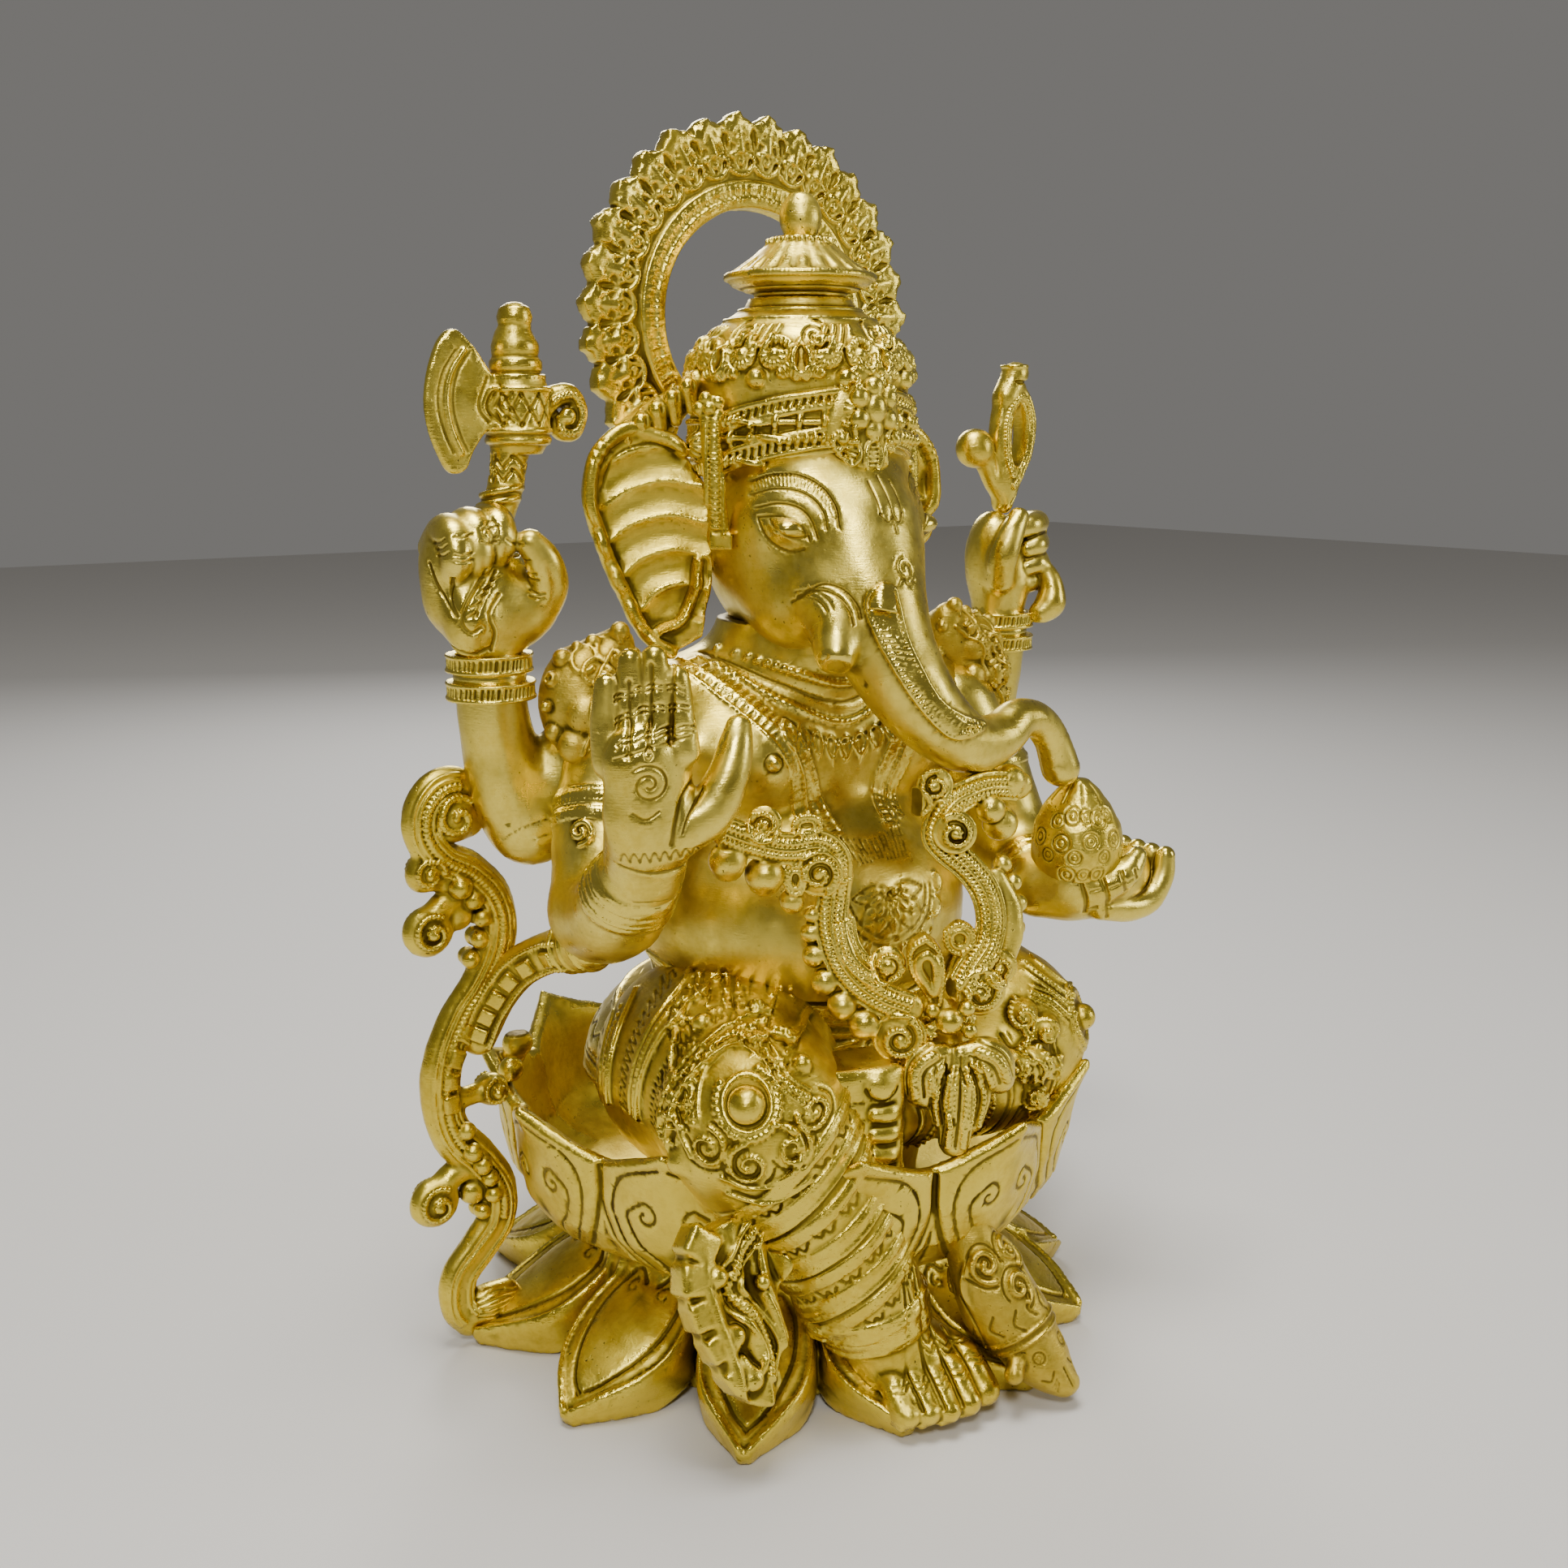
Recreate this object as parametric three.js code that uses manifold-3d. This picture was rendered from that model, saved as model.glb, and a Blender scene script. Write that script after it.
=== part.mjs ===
// Seated elephant-headed figure in cast brass on a two-tier lotus, built up from separate castings.
// Millimetres, +Z up. The origin is the centre of the base underside. The figure looks along -Y,
// so its own right side is at -X.
import * as THREE from 'three';
import { ConvexGeometry } from 'three/addons/geometries/ConvexGeometry.js';
import { mergeVertices } from 'three/addons/utils/BufferGeometryUtils.js';
import Module from 'manifold-3d';

const wasm = await Module();
wasm.setup();

// ---- driving dimensions ----
const GAP = 0.6;                 // clearance between neighbouring castings
const WALL = 5;                  // wall of the hollow castings
const TOTAL_HEIGHT = 450;

// Directions of the lower petals in degrees; hand-set, so the pitch isn't even.
const LOWER_PETAL_ANGLES = [134, 168, 199, 229, 256, 283, 309, 335, 361, 388, 415, 442, 468];
const LOWER_TIP_MEAN = 124;      // radius of the petal tips
const LOWER_TIP_SWING = 8;       // how much further the tips reach at the figure's right front
const LOWER_TIP_SWING_AT = 205;  // degrees
const LOWER_HEIGHT = 43;
const HUB_BORE = 79;             // hollow under the hub, at the table

const UPPER_PETALS = 11;
const UPPER_PETAL_START = 182;   // degrees
const UPPER_FLOOR = 51;
const UPPER_RIM = 96;
const UPPER_TIP_Z = 100;
const UPPER_TIP_R = 117;

const ROD_R = 4;
const SEAT_FLOOR = 57;           // top face of the torso's floor
const NECK_TOP = 261;
const BELLY = { at: [0, -8, 168], size: [66, 58, 50] };
const CHEST = { at: [0, 0, 223], size: [61, 42, 45] };
const HIPS = { at: [0, -5, 108], size: [85, 68, 40] };
const SHOULDERS = { at: [0, 0, 238], size: [84, 27, 21] };

const CROWN_AXIS_Y = -10;
const BAND_RISE = 12;
const HEAD = { at: [0, -12, 305], size: [38, 39, 48] };
const EAR_SWEEP = 0.36;          // how far back the ear goes for each millimetre outwards
const HALO_Z = 379;
const HALO_OUTER = TOTAL_HEIGHT - HALO_Z;
const HALO_INNER = 39.5;
const HALO_FRONT = 19;           // y of the arch's front face
const HALO_DEPTH = 6;
const HALO_LOBES = 24;

const BRASS = 0xc39a2c;
const BRASS_PALE = 0xd2ae44;
const STEEL = 0x8d9094;

// ---- small helpers ----
const rad = THREE.MathUtils.degToRad;
const vec = (p) => new THREE.Vector3(p[0], p[1], p[2]);
const mirrorX = (p) => [-p[0], p[1], p[2]];
const polar = (angle, r, z) => [r * Math.cos(rad(angle)), r * Math.sin(rad(angle)), z];

// A closed three.js geometry becomes a solid once its shared vertices are merged.
function solid(geometry) {
  const bare = (geometry.index ? geometry : geometry.clone()).clone();
  for (const name of Object.keys(bare.attributes)) {
    if (name !== 'position') bare.deleteAttribute(name);
  }
  const merged = mergeVertices(bare, 1e-3);
  const index = merged.index.array;
  const faces = [];
  for (let i = 0; i < index.length; i += 3) {
    const [a, b, c] = [index[i], index[i + 1], index[i + 2]];
    if (a !== b && b !== c && a !== c) faces.push(a, b, c);
  }
  const mesh = new wasm.Mesh({
    numProp: 3,
    vertProperties: new Float32Array(merged.attributes.position.array),
    triVerts: new Uint32Array(faces),
  });
  return new wasm.Manifold(mesh);
}

function geometryOf(body) {
  const mesh = body.getMesh();
  const geometry = new THREE.BufferGeometry();
  geometry.setAttribute('position', new THREE.BufferAttribute(new Float32Array(mesh.vertProperties), 3));
  geometry.setIndex(new THREE.BufferAttribute(new Uint32Array(mesh.triVerts), 1));
  return geometry;
}

// The same solid moved out by amount. At an edge or corner the vertex goes further, so that every
// face around it moves by the full amount.
function grown(body, amount) {
  const geometry = geometryOf(body);
  geometry.computeVertexNormals();
  const position = geometry.attributes.position;
  const normal = geometry.attributes.normal;
  const index = geometry.index.array;
  const corner = (i) => new THREE.Vector3().fromBufferAttribute(position, i);
  const leastCosine = new Float32Array(position.count).fill(1);
  for (let i = 0; i < index.length; i += 3) {
    const face = new THREE.Triangle(corner(index[i]), corner(index[i + 1]), corner(index[i + 2]));
    const across = face.getNormal(new THREE.Vector3());
    for (let k = 0; k < 3; k++) {
      const v = index[i + k];
      const cosine = across.dot(new THREE.Vector3().fromBufferAttribute(normal, v));
      leastCosine[v] = Math.min(leastCosine[v], cosine);
    }
  }
  for (let i = 0; i < position.count; i++) {
    const step = amount / Math.max(leastCosine[i], 0.4);
    const moved = corner(i).addScaledVector(new THREE.Vector3().fromBufferAttribute(normal, i), step);
    position.setXYZ(i, moved.x, moved.y, moved.z);
  }
  geometry.deleteAttribute('normal');
  return solid(geometry);
}

const join = (bodies) => bodies.reduce((whole, body) => whole.add(body));

const largestLump = (body) => body.decompose().reduce((a, b) => (a.volume() > b.volume() ? a : b));

// Cuts the neighbours out with clearance and keeps the largest lump that is left.
function clearOf(body, ...neighbours) {
  let rest = body;
  for (const neighbour of neighbours) rest = rest.subtract(grown(neighbour, GAP)).subtract(neighbour);
  return largestLump(rest);
}

function ellipsoid({ at, size }, around = 16, up = 10, shrink = 0) {
  const geometry = new THREE.SphereGeometry(1, around, up);
  geometry.rotateX(Math.PI / 2);
  geometry.scale(size[0] - shrink, size[1] - shrink, size[2] - shrink);
  geometry.translate(at[0], at[1], at[2]);
  return solid(geometry);
}

const ball = (at, r) => ellipsoid({ at, size: [r, r, r] }, 7, 4);

// Turned about +Z: profile points are [radius, height].
function turned(profile, at = [0, 0], around = 28) {
  const points = profile.map(([r, z]) => new THREE.Vector2(r, z));
  const geometry = new THREE.LatheGeometry(points, around);
  geometry.rotateX(Math.PI / 2);
  geometry.translate(at[0], at[1], 0);
  const body = solid(geometry);
  if (body.volume() > 0) return body;
  geometry.index.array.reverse();
  return solid(geometry);
}

const hull = (points) => solid(new ConvexGeometry(points.map(vec)));

// A limb: a turned bar with rounded ends, bent along a smooth curve, with its radius given at each
// point. flat squeezes the section along the curve's frame normal.
function limb(points, radii, { sides = 8, steps = 8, flat = 1, up = [0, 0, 1] } = {}) {
  const curve = new THREE.CatmullRomCurve3(points.map(vec));
  const length = curve.getLength();
  const radiusAt = (t) => {
    const place = t * (radii.length - 1);
    const low = Math.min(Math.floor(place), radii.length - 2);
    return THREE.MathUtils.lerp(radii[low], radii[low + 1], place - low);
  };
  const first = radii[0];
  const last = radii[radii.length - 1];
  const profile = [[0, -first], [0.7 * first, -0.7 * first]];
  for (let i = 0; i <= steps; i++) profile.push([radiusAt(i / steps), (length * i) / steps]);
  profile.push([0.7 * last, length + 0.7 * last], [0, length + last]);
  const geometry = new THREE.LatheGeometry(profile.map(([r, s]) => new THREE.Vector2(r, s)), sides);
  const position = geometry.attributes.position;
  const upward = vec(up);
  for (let i = 0; i < position.count; i++) {
    const s = position.getY(i);
    const t = THREE.MathUtils.clamp(s / length, 0, 1);
    const tangent = curve.getTangent(t);
    const side = new THREE.Vector3().crossVectors(tangent, upward).normalize();
    const normal = new THREE.Vector3().crossVectors(side, tangent);
    const point = curve.getPoint(t)
      .addScaledVector(tangent, s - t * length)
      .addScaledVector(side, position.getX(i))
      .addScaledVector(normal, flat * position.getZ(i));
    position.setXYZ(i, point.x, point.y, point.z);
  }
  let body = solid(geometry);
  if (body.volume() < 0) {
    geometry.index.array.reverse();
    body = solid(geometry);
  }
  return body;
}

// A flat plate in the XZ plane: outline points are [x, z], front is its lowest y.
function plate(outline, front, thickness, holes = []) {
  const shape = new THREE.Shape(outline.map(([x, z]) => new THREE.Vector2(x, z)));
  shape.holes = holes.map((hole) => new THREE.Path(hole.map(([x, z]) => new THREE.Vector2(x, z))));
  const geometry = new THREE.ExtrudeGeometry(shape, { depth: thickness, bevelEnabled: false });
  geometry.rotateX(Math.PI / 2);
  geometry.translate(0, front + thickness, 0);
  return solid(geometry);
}

const group = new THREE.Group();

function part(name, body, colour = BRASS) {
  const geometry = geometryOf(largestLump(body)).toNonIndexed();
  geometry.computeVertexNormals();
  const material = new THREE.MeshStandardMaterial({ color: colour, roughness: 0.32, metalness: 1 });
  const mesh = new THREE.Mesh(geometry, material);
  mesh.name = name;
  group.add(mesh);
}

// ---- lotus ----
// A turned tier whose outer points are moved in or out and up or down along the petals. share runs
// from 0 between two petals to 1 on a petal's middle line. angles are the petals' directions.
function petalTier(profile, angles, stepsPerPetal, shape) {
  const points = profile.map(([r, z]) => new THREE.Vector2(r, z));
  const count = angles.length * stepsPerPetal;
  const geometry = new THREE.LatheGeometry(points, count);
  geometry.rotateX(Math.PI / 2);
  const position = geometry.attributes.position;
  const directions = [...angles, angles[0] + 360];
  for (let i = 0; i < position.count; i++) {
    const step = Math.floor(i / profile.length) % count;
    const [radius, height] = profile[i % profile.length];
    const petal = Math.floor(step / stepsPerPetal);
    const along = (step % stepsPerPetal) / stepsPerPetal;
    const angle = THREE.MathUtils.lerp(directions[petal], directions[petal + 1], along);
    const share = (1 + Math.cos(2 * Math.PI * along)) / 2;
    const [r, z] = shape(radius, height, share, angle);
    position.setXYZ(i, ...polar(angle, r, z));
  }
  const body = solid(geometry);
  if (body.volume() > 0) return body;
  geometry.index.array.reverse();
  return solid(geometry);
}

const lowerTip = (angle) => LOWER_TIP_MEAN + LOWER_TIP_SWING * Math.cos(rad(angle - LOWER_TIP_SWING_AT));

function lowerLotus() {
  const tier = petalTier([
    [0, 0], [100, 0], [100, 7], [92, 24], [84, 36], [76, LOWER_HEIGHT], [0, LOWER_HEIGHT],
  ], LOWER_PETAL_ANGLES, 4, (r, z, share, angle) => {
    if (r > 95) return [THREE.MathUtils.lerp(98, lowerTip(angle), share ** 0.7), z * (1 - 0.2 * share)];
    if (r > 90) return [THREE.MathUtils.lerp(88, 104, share), z];
    return [r, z];
  });
  const hollow = petalTier([
    [0, -1], [85, -1], [75, 18], [66, 33], [62, 36], [0, 36],
  ], LOWER_PETAL_ANGLES, 4, (r, z, share, angle) => {
    if (r > 80) return [THREE.MathUtils.lerp(HUB_BORE + 4, lowerTip(angle) - 16, share ** 0.7), z];
    if (r > 70) return [THREE.MathUtils.lerp(74, 88, share), z];
    return [r, z];
  });
  const rodHole = turned([[0, -1], [ROD_R + GAP, -1], [ROD_R + GAP, 60], [0, 60]], [0, 0], 8);
  return tier.subtract(hollow).subtract(rodHole);
}

function upperLotus() {
  const base = LOWER_HEIGHT + GAP;
  const angles = [];
  for (let i = 0; i < UPPER_PETALS; i++) angles.push(UPPER_PETAL_START + (i * 360) / UPPER_PETALS);
  const bowl = petalTier([
    [0, base], [80, base], [97, 50], [106, 63], [110, 80], [111, UPPER_RIM],
    [104, UPPER_RIM], [101, 78], [97, 63], [84, 54], [70, UPPER_FLOOR], [0, UPPER_FLOOR],
  ], angles, 2, (r, z, share) => {
    if (z > UPPER_RIM - 1) return [r + (UPPER_TIP_R - 111) * (2 * share - 1), z + 4 * (2 * share - 1)];
    return r > 100 && z > 60 ? [r + 3 * (share - 1), z] : [r, z];
  });
  const rodHole = turned([[0, 0], [ROD_R + GAP, 0], [ROD_R + GAP, 60], [0, 60]], [0, 0], 8);
  return bowl.subtract(rodHole);
}

// ---- body ----
// The four rounded masses of the body. A smaller and coarser copy of them makes the hollow inside.
const torsoSkin = (shrink, around = 14, up = 8) => join([
  ellipsoid(BELLY, around, up, shrink),
  ellipsoid(CHEST, around, up, shrink),
  ellipsoid(SHOULDERS, around, up / 2, shrink),
  ellipsoid(HIPS, around, up, shrink),
]);

function torsoOutside() {
  const floor = UPPER_FLOOR + GAP;
  const seat = turned([[0, floor], [50, floor], [56, 90], [0, 90]], [0, -4], 16);
  const neck = turned([[0, 230], [32, 230], [30, NECK_TOP], [0, NECK_TOP]], [0, -8], 14);
  return join([torsoSkin(0), seat, neck]);
}

function torso(outside) {
  const seatHollow = turned([[0, SEAT_FLOOR], [43, SEAT_FLOOR], [48, 100], [0, 100]], [0, -4], 12);
  const neckHollow = turned([[0, 225], [25, 225], [25, 300], [0, 300]], [0, -8], 10);
  const rodHole = turned([[0, 0], [ROD_R + GAP, 0], [ROD_R + GAP, 80], [0, 80]], [0, 0], 8);
  return outside.subtract(join([torsoSkin(WALL + 1, 8, 6), seatHollow, neckHollow])).subtract(rodHole);
}

const rightLegSkin = () => {
  const thigh = limb([[-46, -22, 112], [-56, -50, 116], [-62, -74, 111]], [33, 32, 29], { steps: 4 });
  const shin = limb(
    [[-61, -72, 108], [-46, -80, 84], [-33, -87, 54], [-24, -92, 32], [-22, -94, 18]],
    [29, 26, 21, 15, 13],
    { steps: 8, up: [0, 1, 0] },
  );
  const foot = hull([
    [-34, -88, 4], [0, -88, 4], [-36, -106, 4], [9, -111, 4], [-31, -115, 5], [7, -124, 5],
    [-31, -114, 12], [6, -123, 13], [-33, -99, 20], [3, -104, 22], [-30, -90, 30], [-12, -91, 32],
    [-28, -80, 22], [-14, -80, 22], [-28, -78, 6], [-14, -78, 6],
  ]);
  const hollow = limb([[-40, -8, 112], [-54, -46, 115], [-60, -70, 111]], [26, 25, 22], { steps: 3 });
  return join([thigh, shin, foot]).subtract(hollow);
};

const leftLegSkin = () => {
  const thigh = limb([[46, -18, 112], [58, -42, 114], [61, -58, 112]], [34, 33, 31], { steps: 4 });
  const shin = limb([[58, -62, 106], [34, -74, 102], [8, -76, 103], [-14, -80, 105]], [26, 19, 14, 14]);
  const foot = hull([
    [-18, -74, 88], [-18, -96, 88], [-18, -74, 127], [-18, -96, 125],
    [-44, -72, 90], [-46, -86, 90], [-45, -72, 130], [-46, -86, 128],
    [-30, -98, 90], [-30, -97, 126],
  ]);
  const hollow = limb([[40, -6, 112], [54, -38, 113], [58, -56, 112]], [26, 25, 22], { steps: 3 });
  return join([thigh, shin, foot]).subtract(hollow);
};

// ---- head and crown ----
const TRUNK_PATH = [
  [0, -42, 300], [-2, -52, 284], [-1, -61, 268], [4, -69, 252], [13, -75, 239], [26, -77, 231],
  [40, -76, 232], [51, -74, 237], [62, -73, 235], [70, -72, 227], [75, -72, 216.5],
];
const TRUNK_RADII = [25, 21, 17.5, 15, 12.6, 11.2, 9.6, 8.4, 7.8, 7.6, 8];

function headSkin() {
  const skull = ellipsoid(HEAD, 14, 10);
  const cheek = ellipsoid({ at: [-20, -44, 277], size: [17, 18, 20] }, 10, 8);
  const otherCheek = ellipsoid({ at: [20, -44, 277], size: [17, 18, 20] }, 10, 8);
  const tusk = limb([[-22, -54, 270], [-28, -62, 265]], [10, 8.5], { steps: 3, sides: 10, up: [1, 0, 0] });
  const trunk = limb(TRUNK_PATH, TRUNK_RADII, { sides: 8, steps: 14, up: [0, 1, 0] });
  return join([skull, cheek, otherCheek, trunk, tusk]);
}

function head() {
  const hollow = join([
    ellipsoid(HEAD, 10, 7, WALL + 1),
    turned([[0, 240], [22, 240], [22, 300], [0, 300]], [0, -8], 10),
  ]);
  return headSkin().subtract(hollow);
}

// the headband stands higher over the forehead than at the sides and the back
function raiseFront(point) {
  const [x, y, z] = point;
  const out = Math.hypot(x, y - CROWN_AXIS_Y);
  const toFront = out > 0 ? Math.max((CROWN_AXIS_Y - y) / out, 0) : 0;
  const low = Math.min(Math.max((346 - z) / 22, 0), 1);
  point[2] = z + BAND_RISE * toFront * low;
}

const crownSkin = () => turned([
  [0, 322.5], [39, 322.5], [40, 330], [40, 338], [39.5, 346], [39.5, 355], [37.5, 363], [32.5, 371],
  [25, 378], [20, 381], [18.5, 384], [0, 384],
], [0, CROWN_AXIS_Y], 24).warp(raiseFront);

function crown() {
  const hollow = turned([
    [0, 315], [35, 315], [35, 346], [34, 354], [28, 364], [20, 373], [0, 377],
  ], [0, CROWN_AXIS_Y], 12).warp(raiseFront);
  return crownSkin().subtract(hollow);
}

const crownCap = () => turned([
  [0, 384 + GAP], [17, 384 + GAP], [22, 387], [26.5, 390], [25.5, 394], [18, 399], [11, 405], [0, 405],
], [0, CROWN_AXIS_Y], 20);

const crownFinial = () => turned([
  [0, 405 + GAP], [6, 405 + GAP], [7.5, 409], [7.8, 412], [7, 416], [4, 420], [0, 421],
], [0, CROWN_AXIS_Y], 12);

const crownCrest = () => hull([
  [0, -52, 324], [-9, -52, 331], [9, -52, 331], [-17, -48, 341], [17, -48, 341], [-13, -48, 356], [13, -48, 356],
  [0, -46, 366], [0, -58, 342], [-8, -56, 350], [8, -56, 350], [0, -55, 334],
  [-15, -36, 340], [15, -36, 340], [-8, -36, 360], [8, -36, 360], [0, -38, 330],
]);

function ear(side) {
  const outline = [
    [38, 266], [49, 262], [58, 267], [66, 281], [73, 296], [78, 312], [78, 322], [74, 331],
    [65, 337], [53, 337], [43, 330], [36, 318], [34, 290],
  ];
  const shaped = outline.map(([x, z]) => [side * x, z]);
  if (side < 0) shaped.reverse();
  const sweptBack = (point) => { point[1] += EAR_SWEEP * (Math.abs(point[0]) - 36); };
  return plate(shaped, -7, 11).warp(sweptBack);
}

const ribbon = (side) => limb(
  [[side * 41, -20, 303], [side * 44, -19, 322], [side * 43.5, -18, 343]],
  [4.5, 4.5, 5],
  { sides: 8, steps: 4, up: [0, 1, 0] },
);

// ---- flame arch ----
function halo() {
  const from = -50;
  const to = 230;
  const outline = [];
  const stepsPerLobe = 3;
  const count = HALO_LOBES * stepsPerLobe;
  for (let i = 0; i <= count; i++) {
    const angle = from + ((to - from) * i) / count;
    const wave = Math.abs(Math.sin((Math.PI * i) / stepsPerLobe));
    const r = HALO_OUTER - 4 * (1 - wave);
    outline.push([r * Math.cos(rad(angle)), HALO_Z + r * Math.sin(rad(angle))]);
  }
  const innerSteps = 28;
  for (let i = innerSteps; i >= 0; i--) {
    const angle = from + ((to - from) * i) / innerSteps;
    outline.push([HALO_INNER * Math.cos(rad(angle)), HALO_Z + HALO_INNER * Math.sin(rad(angle))]);
  }
  return plate(outline, HALO_FRONT, HALO_DEPTH);
}

const haloBracket = (side) => join([
  limb([[side * 54, 14, 336], [side * 47, 11, 343], [side * 42, 5, 349]], [9, 8, 5], { sides: 10, steps: 4 }),
]);

const haloScrew = (side) => {
  const geometry = new THREE.CylinderGeometry(3.5, 3.5, 3, 12);
  geometry.translate(side * 50, HALO_FRONT + HALO_DEPTH + 1.5 + GAP, 338);
  return solid(geometry);
};

// ---- arms and what they hold ----
const rearArm = (side) => join([
  limb([[side * 76, 4, 236], [side * 90, 9, 215], [side * 101, 13, 203]], [17, 16, 14], { steps: 4, up: [0, 1, 0] }),
  limb([[side * 102, 13, 205], [side * 111, 13, 224], [side * 115.5, 10, 246]], [14, 13, 12], { steps: 4, up: [0, 1, 0] }),
]);

function bangle(centre, axis, inner, outer, width) {
  const geometry = new THREE.LatheGeometry([
    [inner, -width / 2], [outer, -width / 2], [outer, width / 2], [inner, width / 2], [inner, -width / 2],
  ].map(([r, z]) => new THREE.Vector2(r, z)), 14);
  geometry.applyQuaternion(new THREE.Quaternion().setFromUnitVectors(new THREE.Vector3(0, 1, 0), vec(axis).normalize()));
  geometry.translate(centre[0], centre[1], centre[2]);
  const body = solid(geometry);
  if (body.volume() > 0) return body;
  geometry.index.array.reverse();
  return solid(geometry);
}

const wrist = (side) => limb(
  [[side * 115.3, 10, 240], [side * 116, 10, 257]],
  [10.8, 10.8],
  { sides: 10, steps: 1, up: [0, 1, 0] },
);

function fist() {
  const palm = ellipsoid({ at: [-117.5, 12, 286], size: [20, 15, 18] }, 10, 7);
  const fingers = [];
  for (let i = 0; i < 4; i++) fingers.push(ball([-128 + 7 * i, 2, 293 - 1.5 * i], 7));
  const thumb = limb([[-105, 5, 277], [-101, -1, 286], [-108, -4, 294]], [7, 6, 5], { sides: 8, steps: 4 });
  return join([palm, ...fingers, thumb]);
}

function openHand() {
  const palm = ellipsoid({ at: [120, 12, 286], size: [15, 13, 18] }, 10, 7);
  const fingers = limb([[126, 6, 292], [130, 4, 284], [131, 6, 277]], [8, 8, 6], { sides: 8, steps: 4 });
  const thumb = limb([[110, 4, 280], [111, 4, 294], [116, 6, 304]], [6.5, 6, 4.5], { sides: 8, steps: 4 });
  return join([palm, fingers, thumb]);
}

function axe() {
  const handle = limb(
    [[-111, 12, 310], [-106, 12, 324], [-103, 12, 345], [-102, 12, 368]],
    [7, 6.5, 6, 5],
    { sides: 8, steps: 4, up: [0, 1, 0] },
  );
  const drum = turned([
    [0, 333], [8, 333], [10.5, 338], [10.5, 354], [7, 359], [8, 363], [5, 368], [6, 372], [0, 379],
  ], [-101.5, 12], 10);
  const blade = plate([
    [-102, 350], [-112, 357], [-118, 366], [-124, 371], [-131, 363], [-135, 349], [-133, 335], [-127, 325],
    [-121, 326], [-117, 334], [-111, 341], [-102, 342],
  ], 9, 6);
  const backCurl = limb(
    [[-93, 12, 346], [-84, 12, 354], [-77, 12, 349], [-80, 12, 338], [-88, 12, 327]],
    [3.6, 4, 4, 3.6, 3],
    { sides: 6, steps: 8, up: [0, 1, 0] },
  );
  return join([handle, drum, blade, backCurl]);
}

function noose() {
  const loop = plate([
    [119, 312], [128, 318], [134, 330], [134, 344], [129, 356], [122, 360], [116, 354], [113, 342], [113, 328],
  ], 8, 7, [[[121, 322], [120, 342], [124, 350], [127.5, 342], [126, 326]]]);
  const knob = turned([[0, 354], [5.5, 354], [6, 360], [0, 366]], [123, 11.5], 10);
  const bead = ball([103, 12, 331], 8.5);
  const stalk = limb([[104, 12, 331], [117, 12, 330]], [5, 4], { sides: 8, steps: 2 });
  const grip = limb([[119, 11, 312], [121, 11, 320]], [5.5, 5], { sides: 8, steps: 2, up: [0, 1, 0] });
  return join([loop, knob, bead, stalk, grip]);
}

const blessingArm = () => join([
  limb([[-78, -10, 228], [-89, -18, 204], [-95, -28, 180]], [18, 18, 17.5], { steps: 4, up: [0, 1, 0] }),
  limb([[-95, -30, 179], [-100, -50, 186], [-101, -66, 202]], [17, 15, 12.5], { steps: 4 }),
]);

function blessingHand() {
  const palm = hull([
    [-112, -66, 209], [-90, -74, 209], [-110, -76, 207], [-92, -80, 207],
    [-120, -72, 240], [-90, -82, 240], [-118, -84, 242], [-91, -91, 240],
    [-118, -72, 250], [-92, -82, 252], [-116, -82, 252], [-93, -89, 252],
  ]);
  const fingers = hull([
    [-118, -74, 248], [-92, -84, 250], [-116, -82, 250], [-93, -89, 250],
    [-114, -76, 270], [-96, -84, 272], [-113, -82, 270], [-97, -88, 272], [-105, -80, 275],
  ]);
  const thumb = limb([[-91, -82, 216], [-80, -84, 228], [-75, -81, 243]], [7.5, 7, 5], { sides: 10, steps: 5, up: [1, 0, 0] });
  return join([palm, fingers, thumb]);
}

const offeringArm = () => join([
  limb([[78, -10, 228], [87, -18, 202], [90, -28, 178]], [18, 18, 17], { steps: 4, up: [0, 1, 0] }),
  limb([[90, -30, 177], [84, -48, 170], [76, -62, 168]], [16.5, 14, 12], { steps: 4 }),
]);

function offeringHand() {
  const cup = hull([
    [72, -68, 160], [74, -80, 162], [70, -66, 174], [74, -82, 174],
    [96, -62, 158], [98, -84, 158], [96, -58, 172], [98, -88, 172],
    [116, -62, 170], [117, -82, 170], [119, -64, 178], [120, -82, 178], [88, -72, 155],
  ]);
  return cup.subtract(ellipsoid({ at: [92, -73, 190], size: [24, 20, 22] }, 16, 10));
}

const modak = () => turned([
  [0, 170], [9, 171.5], [15, 178], [17, 187], [16, 195], [11, 204], [5, 209], [0, 211],
], [85, -72], 14);

const shoulderOrnament = (side) => hull([
  [side * 79, 0, 271], [side * 84, 8, 266], [side * 73, 6, 266], [side * 84, -10, 262], [side * 76, -12, 262],
  [side * 98, 8, 248], [side * 100, -8, 246], [side * 86, -22, 246], [side * 72, -18, 250],
  [side * 107, -4, 232], [side * 104, -14, 228], [side * 94, -22, 228], [side * 84, -24, 232],
  [side * 76, 10, 240], [side * 96, 8, 232], [side * 70, -6, 236],
]);

// ---- garland ----
const garlandHalf = (side) => join([
  limb([
    [side * 66, -64, 207], [side * 50, -68, 199], [side * 33, -72, 192], [side * 33, -77, 176],
    [side * 37, -80, 163], [side * 31, -84, 150], [side * 18, -88, 143],
  ], [5.5, 6.5, 7, 7, 7, 7, 6], { sides: 6, steps: 14, up: [0, 1, 0] }),
  ball([side * 70, -60, 203], 7.5),
  ball([side * 56, -64, 193], 7.5),
  ellipsoid({ at: side < 0 ? [-11, -90, 132] : [25, -89, 141], size: [8.5, 5, 8.5] }, 8, 5),
]);

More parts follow.
